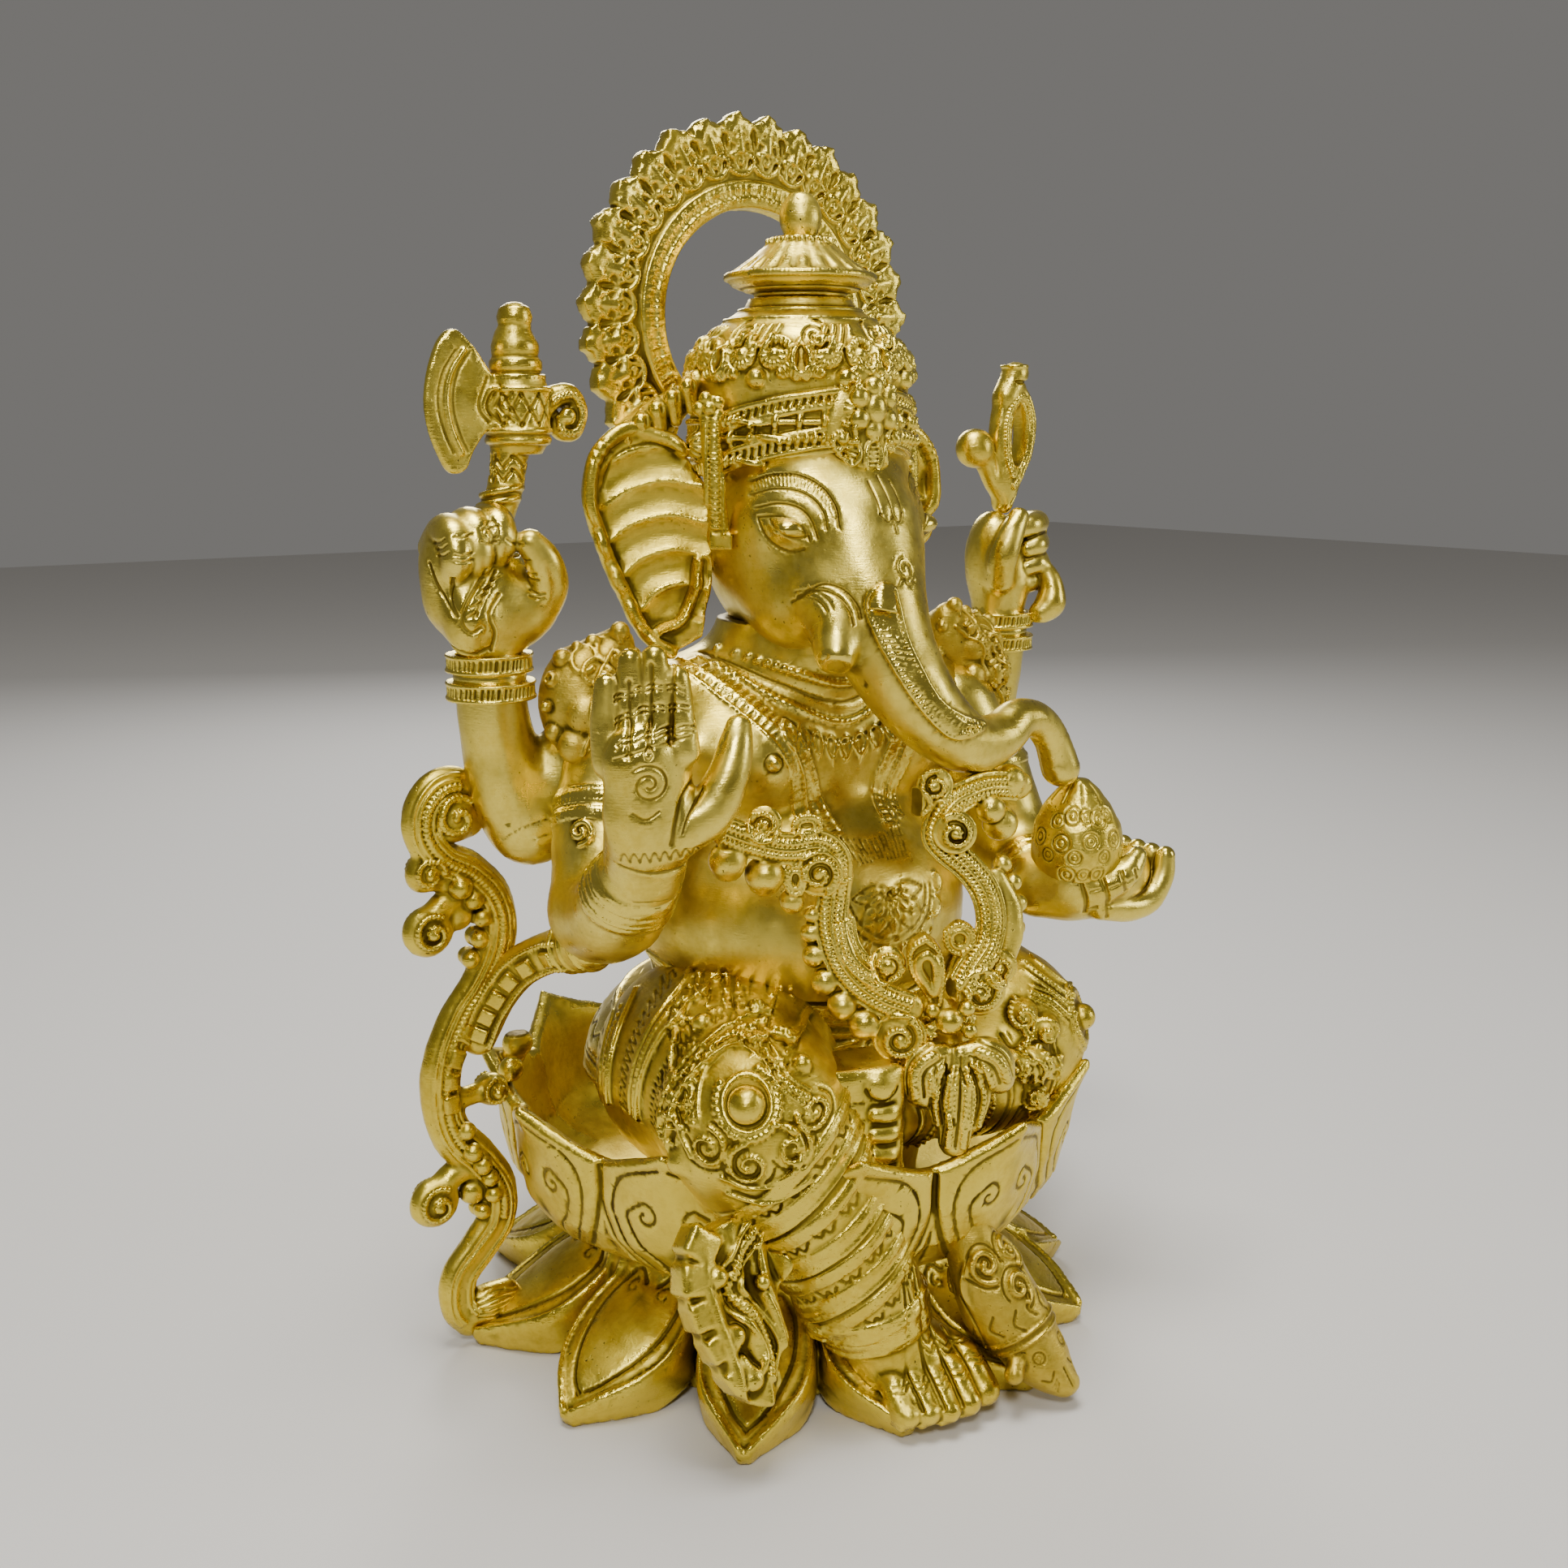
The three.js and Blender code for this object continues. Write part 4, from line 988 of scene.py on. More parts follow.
TRUNK = [(0, -42, 300), (-2, -52, 284), (-1, -61, 268), (4, -69, 252), (13, -75, 239), (26, -77, 231),
         (40, -76, 232), (51, -74, 237), (62, -73, 235), (70, -72, 227), (75, -72, 216)]
TRUNK_R = [25, 21, 17.5, 15, 12.6, 10.6, 8.8, 7.5, 6.8, 6.6, 7.2]
TRUNK_LEFT_ACROSS = (0.94, 0.342, 0)
VINE = [(33, 288), (28.4, 285), (27.7, 280.2), (31.1, 271.6), (36.9, 261.1), (43.8, 250.6), (51.6, 241.1),
        (59, 236.3), (69, 239), (60.5, 243.4), (53.5, 248.4), (47.7, 256.8), (41.2, 270.6), (38.4, 281.1),
        (36.6, 286.8)]


def forehead(front):
    """Three strokes and plain curls on the forehead."""
    for x, top, low in ((-4.6, 322, 311), (0, 324, 305), (4.6, 322, 311)):
        front.scratch([(x, top), (x, low)])
    front.scratch(smooth_path([(-4.6, 311), (-2.5, 308.5), (0, 310), (2.5, 308.5), (4.6, 311)], 20))
    front.scratch(spiral(0.5, 293, 4.2, 1.3, 100, 1, 0.3))
    front.scratch(smooth_path([(-4, 288), (-1.5, 290), (1, 287.5), (4, 289)], 16))


def trunk_strip(wrap, shift):
    """Raised strip of curled leaves down one side of the trunk."""
    outline = smooth_path(VINE + VINE[:1], 150) + (shift, 0)
    wrap.cord(outline, 0.8, r=0.9, sink=0.3, blend=0.5)
    low = smooth_path(VINE[:9], 44) + (shift, 0)
    high = smooth_path(VINE[8:][::-1], 44) + (shift, 0)
    for k in range(1, 43):
        middle = low[k] * 0.5 + high[k] * 0.5 + (-1.4, 1.3)
        start = low[k] * 0.86 + high[k] * 0.14
        end = low[k - 1] * 0.16 + high[k - 1] * 0.84
        spots, facing = wrap.lay(smooth_path([start, middle, end], 9), 0.8)
        if len(spots) > 1 and np.abs(np.diff(spots @ wrap.n)).max() < 3:
            wrap.clay.cord(spots, facing, r=0.85, sink=0.25, blend=0.25)


def head():
    """Head with both eyes, the trunk and the tusk stub."""
    clay = Clay((-42, -92, 205), (84, 30, 336), 0.5)
    clay.blob((0, -11, 305), (37.5, 37.5, 46))
    clay.blob((0, -30, 318), (31, 23, 22), blend=10)
    for sign in (1, -1):
        clay.blob((sign * 18, -32, 283), (16, 19, 20), blend=10)
        clay.blob((sign * 21, -28, 306), (16, 18, 17), blend=8)
    path = smooth_path(TRUNK, 70)
    clay.tube(path, TRUNK_R, blend=9)
    clay.blob((-15, -50, 281), (13, 12, 14), blend=6)
    clay.bar([(-14, -52, 280), (-20, -60, 272), (-24, -65, 265)], 14, (11.5, 9.6, 7.0), blend=4)
    clay.block((-29, -70, 258.5), (9, 9, 4.5),
               np.array([(0.7, -0.6, 0.3), (0.5, 0.8, 0.3), (-0.42, -0.55, -0.75)]), edge=0.6, blend=1.0,
               cut=True)
    eye_lines = [
        [(-11.9, 321.8), (-4.1, 324.2), (4.9, 323.9), (12.9, 319.8), (17.4, 313.5), (18.4, 306.9)],
        [(-11.7, 317.1), (-4.1, 319.3), (3.9, 318.8), (9.9, 315.9), (13.4, 311.0), (14.2, 306.1)],
        [(-9.9, 313.0), (-2.1, 314.5), (4.9, 313.0), (8.9, 309.1), (11.1, 303.0)],
        [(-9.1, 309.9), (-3.0, 310.3), (2.9, 309.6), (6.4, 307.1), (8.1, 303.4)],
        [(-5.0, 309.1), (-3.0, 306.1), (0.0, 303.7), (3.9, 302.7), (8.1, 303.4)],
        [(-8.9, 308.9), (-6.5, 303.7), (-3.0, 300.2), (2.0, 298.3), (6.9, 299.5)],
    ]
    for side in (-1, 1):
        wrap = slanted(clay, side, 95, 100)
        flip = (-side, 1)
        wrap.dome(-side, 306, (5, 5, 3.2), blend=4)
        for line in eye_lines:
            wrap.scratch(smooth_path(line, 40) * flip, 0.6, 0.62)
        high, low = smooth_path(eye_lines[0], 34), smooth_path(eye_lines[1], 34)
        for a, b in zip(high[1:-3], low[1:-3]):
            wrap.scratch([a * flip, (0.25 * a + 0.75 * b + (0.5, 0)) * flip], 0.34, 0.4)
        for reach in (6.5, 9.0):
            wrap.scratch(circle(-8 * side, 277, reach, 20, 120), 0.45, 0.45)
    forehead(straight(clay, 95, 110))
    for reach in ((17.5, 284.5), (19.5, 286.5)):
        arc = smooth_path([(reach[0] - 15, reach[1] - 3), (reach[0] - 7, reach[1] + 1.5), reach,
                           (reach[0] + 4.6, reach[1] - 4.6), (reach[0] + 6.2, reach[1] - 9.4)], 30)
        slanted(clay, -1, 120, 110).scratch(arc, 0.55, 0.6)
    trunk_strip(slanted(clay, -1, 150, 120), 0)
    trunk_strip(Facing(clay, ORIGIN, TRUNK_LEFT_ACROSS, UP, 150, 120), 6.0)
    cast(clay, "head", SKIN, uneven=0.25)


def crown_band(wrap):
    """Headband: four cords with rungs between them."""
    def level(offset, lift=1.0):
        a = np.arange(-180, 180, 4.0)
        return np.stack([a, CROWN_BAND_Z + offset + lift * CROWN_BAND_RISE
                         * np.maximum(np.cos(np.radians(a)), 0)], 1)

    def rungs(z, lift, width, every, r):
        for a in np.arange(-180, 180, every):
            base = CROWN_BAND_Z + z + lift * CROWN_BAND_RISE * max(math.cos(math.radians(a)), 0)
            wrap.cord([(a, base - width / 2), (a + 0.8, base + width / 2)], 0.6, r=r, sink=0.3, blend=0.3)

    for z, lift, r in ((-8.0, 1.0, 0.9), (-2.4, 1.0, 1.2), (5.6, 0.95, 1.2), (11.0, 0.9, 1.1)):
        wrap.cord(level(z, lift), 1.0, True, r=r, sink=0.2, blend=0.6)
    rungs(-5.2, 1.0, 2.6, 4.2, 0.95)
    rungs(1.7, 1.0, 4.6, 12.0, 1.1)
    rungs(8.3, 0.92, 2.4, 4.0, 0.9)


def crown_sector(wrap, k, a):
    """One eighth of the crown: a flower on every other one, a pair of rope curls, a leaf and ribs."""
    flower = CROWN_BAND_Z + 3.2 + CROWN_BAND_RISE * max(math.cos(math.radians(a + 26)), 0)
    if k % 2 == 0:
        wrap.dome(a + 26, flower, 5.4)
        for j in range(9):
            ray = onto(np.array([[0, 0], [5.2, 0]]) @ rotation(j * 0.7), a + 26, flower, 42)
            wrap.scratch(ray, 0.45, 0.5)
    for sign in (1, -1):
        curl = spiral(sign * 8.4, 1, 6.4, 1.2, 250 if sign > 0 else 290, -sign, 0.34)
        tail = smooth_path([(sign * 1.4, -6), (sign * 3.0, -4.6), tuple(curl[0])], 12)
        line = onto(np.vstack([tail, curl[1:]]), a, 362.5, 37)
        wrap.cord(line, 0.8, r=1.9, sink=0.3, blend=0.6)
        wrap.scratch_across(line, 2.2, 2.6)
        wrap.beads(onto([(sign * 8.4, 1), (sign * 8.4 + 0.3, 1)], a, 362.5, 37), 0.5, r=2.5)
    wrap.cord(onto(leaf(0, -5, 12, 5.6, 90), a, 362, 37), 0.8, True, r=0.9, blend=0.6)
    wrap.scratch(onto(spiral(0, 0, 5.8, 2.0, 90, 1 if k % 2 else -1, 0.1), a + 8, 370.5, 33), 0.6, 0.7)
    for j in range(4):
        rib = onto([(-1.5, -3.4), (1.5, 3.4)], a + 21 + 5.5 * (j - 1.5), 370, 33)
        wrap.cord(rib, 0.8, r=1.1, blend=0.6)
    wrap.dome(a + 22.5, 356, 3.4, blend=1.2)


def crown():
    """Headband and dome, with their rope curls and flowers."""
    clay = Clay((-43, -53, 319), (43, 33, 386), 0.42)

    def raised(angle, r, z):
        return 0, CROWN_BAND_RISE * np.maximum(-np.sin(angle), 0) * np.clip((346 - z) / 22, 0, 1)

    clay.turn([(0, 322.5), (38.5, 322.5), (39.2, 328), (39.4, 345), (38.6, 350), (39.4, 356), (37.2, 364),
               (32, 372), (25, 378), (20, 381), (18.5, 384.3), (0, 384.3)], at=CROWN_AT, shift=raised)
    wrap = upright(clay, CROWN_AT, FRONT, 56)

    crown_band(wrap)
    for k in range(8):
        a = -35 + 45 * k
        crown_sector(wrap, k, a)
    for z in (376.5, 380):
        wrap.cord(hoop(z, 6), 1.2, True, r=0.7, blend=0.5)
    cast(clay, "crown", BRIGHT, uneven=0.2)


def crown_cap():
    """Fluted umbrella above the dome."""
    clay = Clay((-29, -40, 383), (29, 20, 407), 0.45)
    clay.turn([(0, 384.6), (16.5, 384.6), (16.6, 386), (20, 386.6), (24.6, 388.6), (26.3, 391), (25.4, 393),
               (23, 394.5), (17.5, 398.3), (12.5, 402.5), (10.6, 405.2), (0, 405.2)], at=CROWN_AT)
    wrap = upright(clay, CROWN_AT, FRONT, 40)
    ring = hoop(391.6, 5)
    wrap.rope(ring, 2.8, 1.7, True, slant=0.3, height=1.1)
    wrap.rope(ring + (0, 12.2), 2.0, 1.5, True, height=0.8)
    for k in range(22):
        a = math.radians(360 / 22 * k)
        low = (24.0 * math.cos(a), CROWN_AT[1] + 24.0 * math.sin(a), 395.0)
        high = (11.8 * math.cos(a), CROWN_AT[1] + 11.8 * math.sin(a), 404.2)
        clay.tube([low, high], (2.1, 1.1), blend=0.5, cut=True)
    wrap.groove(hoop(387.2, 5), 1.2, True, r=0.6, depth=0.6)
    cast(clay, "crown_cap", BRIGHT, uneven=0.15)


def crown_finial():
    """Onion-shaped knob on top."""
    clay = Clay((-10, -20, 404), (10, 1, 423), 0.4)
    clay.turn([(0, 405.5), (5.8, 405.5), (6.2, 407), (7.4, 409.6), (7.6, 412.5), (6.6, 416.5), (4, 420),
               (0, 421.2)], at=CROWN_AT, blend=0)
    cast(clay, "crown_finial", BRIGHT, uneven=0.2)


def crown_crest():
    """Flower crest on the front of the crown."""
    clay = Clay((-20, -62, 320), (20, -34, 370), 0.45)
    clay.blob((0, -47, 343), (15, 6, 15))
    clay.blob((0, -45, 357), (9, 6, 9), blend=4)
    clay.blob((0, -50, 330), (8, 3.6, 8), blend=3)
    for sign in (1, -1):
        clay.blob((sign * 12, -44, 338), (6, 5, 7), blend=3)
    wrap = Facing(clay, (0, -64, 0), LEFT, UP, back=4, reach=34)
    clay.blob((0, -54, 346), (4.5, 3.5, 5), blend=1)
    for k in range(6):
        a = math.radians(60 * k + 30)
        clay.blob((7 * math.cos(a), -53.4, 346 + 7 * math.sin(a)), (3.6, 2.8, 3.6), blend=0.8)
    for x, z, r, way in ((-8, 356, 5, 1), (8, 356, 5, -1), (-11, 336, 5, -1), (11, 336, 5, 1)):
        wrap.rope(spiral(x, z, r, 1.2, 90, way, 0.3), 2.4, 1.4)
        wrap.beads([(x, z), (x + 0.3, z)], 0.5, r=1.9)
    for x, top, length, turn in ((0, 336, 14, 270), (-7, 335, 11, 250), (7, 335, 11, 290), (0, 358, 11, 90)):
        shape = leaf(x, top, length, 6.5, turn)
        wrap.cord(shape, 0.8, True, r=0.9, blend=0.5)
        a = math.radians(turn)
        for j in range(6):
            c = np.array([x + (2 + j * 1.6) * math.cos(a), top + (2 + j * 1.6) * math.sin(a)])
            across = np.array([-math.sin(a), math.cos(a)]) * 2.0
            wrap.scratch([c - across, c + across], 0.4, 0.5)
    clay.turn([(0, 300), (39.2, 300), (39.2, 400), (0, 400)], at=CROWN_AT, cut=True)
    cast(clay, "crown_crest", BRIGHT, uneven=0.2)


def halo_angle(lobe):
    """Direction in degrees of a place counted in lobes from the arch's foot."""
    return HALO_FROM + (HALO_TO - HALO_FROM) * lobe / HALO_LOBES


def halo_outline():
    """Scalloped outer edge, one bow for each lobe, closed by the round inner edge."""
    edge = []
    for i in range(HALO_LOBES * HALO_LOBE_STEPS + 1):
        t = i / HALO_LOBE_STEPS
        share = abs(math.sin(math.pi * t))
        r = HALO_OUTER - HALO_NOTCH * (1 - share**0.6)
        edge.append(polar(halo_angle(t), r, 0)[:2] + (0, HALO_Z))
    span = HALO_TO - HALO_FROM
    steps = HALO_INNER_STEPS
    inner = [polar(HALO_FROM + span * i / steps, HALO_INNER, 0)[:2] + (0, HALO_Z) for i in range(steps + 1)]
    return Outline(np.array(edge + inner[::-1]))


def halo_rungs(face, way):
    """Two round cords along the inner edge, with rungs between them."""
    def point(r, a):
        return (way * r * math.cos(math.radians(a)), HALO_Z + r * math.sin(math.radians(a)))

    for r, thick in ((40.4, 1.5), (47.4, 1.2)):
        arc = [point(r, a) for a in np.arange(HALO_FROM + 1, HALO_TO - 1, 2.0)]
        face.cord(arc, 1.0, r=thick, sink=0.3, blend=0.8)
    for i, a in enumerate(np.arange(HALO_FROM + 1, HALO_TO - 1, 2.9)):
        face.cord([point(41.6, a), point(46.2, a)], 0.8, r=1.25 + 0.15 * math.sin(i * 2.2), sink=0.3,
                  blend=0.4)


def halo_lobe(face, way, lobe):
    """A leaf of the arch on one face: rope frame, swelling with a rib and four dots, cuts and gaps."""
    clay = face.clay
    turn = rotation(math.radians(halo_angle(lobe)))

    def place(p):
        return (np.atleast_2d(np.array(p, float)) @ turn + (0, HALO_Z)) * (way, 1)

    face.rope(place(smooth_path(HALO_LEAF, 44)), 1.9, 1.35, slant=0.2, height=1.1)
    swell = face.lay(place([(56.5, 0), (56.8, 0)]), 0.5)[0][0]
    out = np.array([way * turn[0][0], 0, turn[0][1]])
    across = np.cross(BACK, out)
    clay.blob(swell, (4.6, 3.4, 1.4), blend=1.2, turn=np.array([out, across, BACK]))
    clay.tube([swell + out * 2, swell + out * 9.5], (2.4, 1.5), blend=0.9)
    for s, t in ((3.4, 3.2), (-3.4, 3.2), (2.0, 8.4), (-2.0, 8.4)):
        clay.blob(swell + across * s + out * (t - 2.6), (1.7, 1.5, 1.7), blend=0.3)
    for s in (-1, 1):
        cut = smooth_path([(52.6, 0), (55, 2.0 * s), (57.5, 1.0 * s), (56, 0.2 * s)], 12)
        face.groove(place(cut), 0.5, r=0.5, depth=0.7)
        gap = [(71, 5.4 * s), (62, 6.4 * s), (54, 7.0 * s)]
        face.groove(place(gap), 0.8, r=0.9, depth=0.5, blend=0.8)


def halo_tips(clay):
    """Three small rolled blocks at the tip of every lobe."""
    for i in range(HALO_LOBES):
        for step, r, size in ((0, 69.2, 2.7), (-0.3, 66.6, 2.4), (0.3, 66.6, 2.4)):
            tip = polar(halo_angle(i + 0.5 + step), r + 0.5 * math.sin(i * 2.3), 0)
            roll = 0.5 * math.sin(i * 1.9 + step * 9)
            out = unit(np.array([tip[0], 0, tip[1]]))
            across = np.cross(BACK, out)
            axes = np.array([out + roll * across, across - roll * out, BACK])
            clay.block((tip[0], HALO_Y - 0.4, HALO_Z + tip[1]), (size * 0.85, size * 0.85, 3.4), axes,
                       edge=0.9, blend=1.6)


def halo():
    """Flame arch behind the head."""
    clay = Clay((-74, 15.5, 318), (74, 28.5, 452), 0.6)
    clay.plate(halo_outline(), (0, HALO_Y, 0), LEFT, UP, HALO_HALF - 0.9, edge=1.2)
    for way, y in ((1, 8), (-1, 36)):
        face = Facing(clay, (0, y, 0), (way, 0, 0), UP, back=0, reach=30)
        halo_rungs(face, way)
        for i in range(HALO_LOBES):
            halo_lobe(face, way, i + 0.5)
    halo_tips(clay)
    cast(clay, "halo", BRIGHT, uneven=0.25)


EAR_OUT = [(2, 266), (13, 261), (23, 267), (31, 281), (38, 296), (43.5, 312), (43.5, 322), (40, 331),
           (31, 337.5), (18, 337.5), (7, 330), (0, 318), (-2, 290)]


def ear(side, name):
    """Fanned ear with a rolled rim."""
    clay = side_clay(side, (30, 80), (-14, 22), (258, 342), 0.6)
    u = unit((1, 0.36 * side, 0))
    at = np.array([side * 36, -2.0, 0])
    flip = np.array([side, 1])
    outline = smooth_path(EAR_OUT + EAR_OUT[:1], 90)[:-1]
    clay.plate(Outline(outline * flip), at, u, UP, 3.2, edge=1.5,
               bend=lambda a, b: 2.0 - 3.0 * np.sin(np.clip(np.abs(a) / 44, 0, 1) * math.pi), reach=12)
    wrap = Facing(clay, at, u, UP, back=24, reach=50)
    for k, wide in enumerate((36, 36, 33, 27, 20)):
        z = 326 - 12.0 * k
        line = smooth_path([(2, z - 1), (wide * 0.4, z + 1.5), (wide * 0.8, z - 2), (wide, z - 8)], 24) * flip
        spots, facing = wrap.lay(line, 1.5)
        clay.tube(spots + facing * 4.6, 7.4, blend=0.6, cut=True)
    rim = smooth_path(EAR_OUT[1:11], 80) * (0.96, 1) * flip
    wrap.cord(rim, 1.2, r=2.7, sink=0.3, blend=1.6)
    hem = smooth_path([(3, 293), (4.5, 283), (9, 273), (17, 268)], 30) * flip
    wrap.cord(hem, 1.0, r=2.2, sink=0.3, blend=0.8)
    wrap.rope(hem, 2.6, 1.6, slant=0.2, height=0.8)
    wrap.scratch(smooth_path([(8, 330), (20, 334), (32, 330), (37, 318)], 30) * flip, 0.6, 0.6)
    for p in ((41, 329), (39, 331.5), (36.5, 334)):
        wrap.scratch(np.array([(p[0] - 3.5, p[1] - 2.5), (p[0] + 1.5, p[1] + 1.5)]) * flip, 0.5, 0.5)
    cast(clay, name, BRASS, uneven=0.3)


def ribbon(side, name):
    """Notched ribbon in front of an ear."""
    clay = side_clay(side, (34, 54), (-30, -6), (296, 352), 0.45)
    path = smooth_path([(side * 41, -20.5, 301), (side * 43, -20, 318), (side * 43.5, -19, 333),
                        (side * 43, -17, 346)], 30)
    out = unit((side * 0.62, -0.78, 0))
    across = unit(np.cross(out, UP))
    for p, t in zip(path, tangents(path)):
        clay.block(p, (3.4, 1.9, 1.4), np.array([across, out, t]), edge=0.8, blend=0.6)
    clay.block(path[0], (4.0, 2.6, 3.0), np.array([across, out, UP]), edge=0.7, blend=0.6)
    wrap = Facing(clay, (side * 43, -20, 0), -across if np.cross(-across, UP) @ out > 0 else across, UP,
                  back=12, reach=24)
    line = [(0, z) for z in np.arange(306, 343, 2.0)]
    wrap.rope(line, 4.2, 1.9, slant=0.15, height=1.2)
    for sign in (1, -1):
        wrap.cord([(sign * 3.0, z) for z in np.arange(303, 344, 2.0)], 1.0, r=0.6, blend=0.3)
    for k in range(5):
        a = math.radians(72 * k)
        clay.blob(path[-1] + across * 3.6 * math.cos(a) + np.array([0, 0, 3.6 * math.sin(a)]) + out * 1.0,
                  2.5, blend=0.6)
    clay.blob(path[-1] + out * 2.2, 2.4, blend=0.4)
    cast(clay, name, BRASS, uneven=0.15)


def bracket(side, name):
    """Leaves that join a foot of the arch to the head."""
    clay = side_clay(side, (34, 68), (-6, 26), (322, 358), 0.5)
    clay.tube([(side * 56, 14, 335), (side * 48, 10, 343), (side * 42, 4, 349)], (8, 7.5, 5), blend=2)
    for k in range(5):
        t = k / 4
        spot = np.array([side * (60 - 19 * t), 13 - 11 * t, 334 + 16 * t])
        clay.tube([spot + (0, -4, -4), spot + (side * 2.5, -6, 3.5), spot + (side * 1.0, -4, 7)],
                  (2.4, 3.4, 1.6), blend=0.8)
        clay.tube([spot + (side * 1.6, -9.6, 0), spot + (side * 2.2, -9.2, 5)], 0.9, blend=0.3, cut=True)
    cast(clay, name, BRASS, uneven=0.25)




# ---------------------------------------------------------------- arms and hands

def rear_arm(side, name):
    """Raised rear arm, bent at the elbow."""
    clay = side_clay(side, (70, 132), (-22, 34), (186, 272), 0.6)
    clay.bar([(side * 74, 4, 238), (side * 90, 9, 215), (side * 101, 13, 204)], 24, (17.5, 16, 14.5), blend=4)
    clay.bar([(side * 100, 13, 203), (side * 108, 13, 214), (side * 112.5, 12, 230), (side * 115.5, 10, 248),
                           (side * 116, 10, 267)], 40, (14.8, 14.2, 13, 11.9, 10.6), blend=7)
    wrap = Round(clay, (side * 115.8, 10, 0), (side * 115.9, 10, 10), FRONT, 24, 24)
    wrap.ring_band(256.8, 4.0, pitch=2.4)
    for start in (0.0, 3.4):
        line = smooth_path([(side * (80 + start), 236), (side * (84 + start), 222),
                            (side * (91 + start), 208)], 30)
        straight(clay, 60, 90).groove(line, 0.8, r=0.5, depth=0.4)
    wrinkles = Facing(clay, ORIGIN, (0, side, 0), UP, 150, 90)
    for k in range(3):
        wrinkles.groove([(-6 + 7 * k, 199), (4 + 5 * k, 207)], 0.8, r=0.5, depth=0.4)
    cast(clay, name, SKIN, uneven=0.35)


def bangle(side, name, z, radius, middle):
    """Twisted ring round a rear wrist."""
    at = (side * middle, 10)
    clay = side_clay(side, (middle - 18, middle + 18), (-8, 28), (z - 6, z + 6), 0.42)
    inside = radius - 3.2
    clay.turn([(inside, z - 3), (radius - 1, z - 3), (radius, z - 2), (radius, z + 2), (radius - 1, z + 3),
               (inside, z + 3)], at=at)
    wrap = upright(clay, at, FRONT, radius + 8, radius + 6)
    for k in range(46):
        a = 360 * k / 46 + 1.5 * math.sin(k * 1.7)
        wrap.groove([(a, z - 1.7), (a + 2, z + 1.7)], 0.6, r=0.55, depth=0.75)
    for step in (-2.4, 2.4):
        wrap.cord(hoop(z + step, 6), 1.0, True, r=0.65, sink=0.3, blend=0.3)
    clay.turn([(0, z - 9), (inside, z - 9), (inside, z + 9), (0, z + 9)], at=at, cut=True)
    cast(clay, name, BRIGHT, uneven=0.2)


def fist_lines(clay):
    """Folds, knuckle lines and nails of the fist."""
    seen = slanted(clay)
    folds = [
        ((-98.0, 293.7), (-101.7, 288.2), (-104.3, 283.5), (-106.1, 277.1), (-103.1, 273.2), (-99.9, 274.8)),
        ((-96.0, 292.9), (-99.5, 284.2), (-101.7, 278.7)),
        ((-94.8, 285.5), (-97.4, 279.1), (-96.1, 272.8), (-97.8, 266.8)),
        ((-117, 296), (-114.5, 289), (-111.5, 284), (-108.5, 279)),
        ((-108.5, 291), (-109.8, 285), (-107.6, 279)),
        ((-112.8, 270), (-108, 266.8), (-103, 265.6), (-98.5, 267.5)),
    ]
    for line in folds:
        seen.groove(smooth_path(line, 30), 0.6, r=0.75, depth=0.8, blend=0.5)
    for x, z in ((-97.5, 290), (-99.3, 287.4), (-101.2, 284.7), (-102.9, 281.6), (-104.0, 278.3)):
        seen.groove([(x, z), (x + 2.8, z + 1.4)], 0.5, r=0.5, depth=0.5)
    cuts = ((-112.8, 303.6, 20), (-111.9, 301.6, 20), (-111.2, 299.4, 15), (-104.6, 305.4, 8),
            (-104.4, 299.4, 4), (-104.2, 297.4, 2), (-96.6, 308, 10), (-96.4, 303.4, 2),
            (-89.0, 302.8, -20), (-87.0, 297.0, -12), (-85.2, 292.6, -16), (-84.4, 290.6, -18),
            (-82.6, 285.8, -10), (-82.8, 284.2, -8))
    for x, z, turn in cuts:
        a = math.radians(turn)
        span = np.array([math.cos(a), math.sin(a)]) * 2.6
        seen.groove(smooth_path([(x, z) - span, (x, z - 0.7), (x, z) + span], 10), 0.5, r=0.42, depth=0.5)
    seen.scratch(leaf(-96.4, 303.5, 6.6, 4.4, 90), 0.42, 0.45)


def right_rear_hand():
    """Fist round the handle of the axe."""
    clay = Clay((-140, -14, 262), (-92, 32, 314), 0.42)
    clay.tube([(-116, 10, 264), (-116.5, 10, 276)], (10.6, 13), blend=3)
    clay.blob((-117.5, 13, 285), (20, 13.5, 18.5), blend=5)
    clay.blob((-128, 12, 296), (10, 12, 11), blend=5)
    clay.blob((-106, 6, 279), (11, 10.5, 13), blend=4)
    clay.blob((-125, 4, 277), (9, 8, 13), blend=4)
    for k, (x, z) in enumerate(((-130, 294.5), (-122.6, 295.5), (-114.2, 299.5))):
        top = 306 + 1.8 * k
        clay.bar([(x + 0.5, 20, top - 6), (x + 0.6, 12, top - 0.5), (x, 4, top - 1.5), (x - 0.4, 0.5, z + 3),
                               (x - 0.4, 3.5, z - 1.0)], 26, (6.0, 6.2, 6.2, 5.6, 4.8), blend=0.9)
    clay.bar([(-101, 4, 278), (-98.5, -1, 287), (-101.5, -4, 296), (-105.8, -3.6, 302)], 26,
             (7.4, 7, 6.2, 5.0), blend=1.4)
    fist_lines(clay)
    clay.tube([(-111, 12, 296), (-108, 12, 318)], 7.6, cut=True, blend=0)
    cast(clay, "right_rear_hand", SKIN, uneven=0.2)


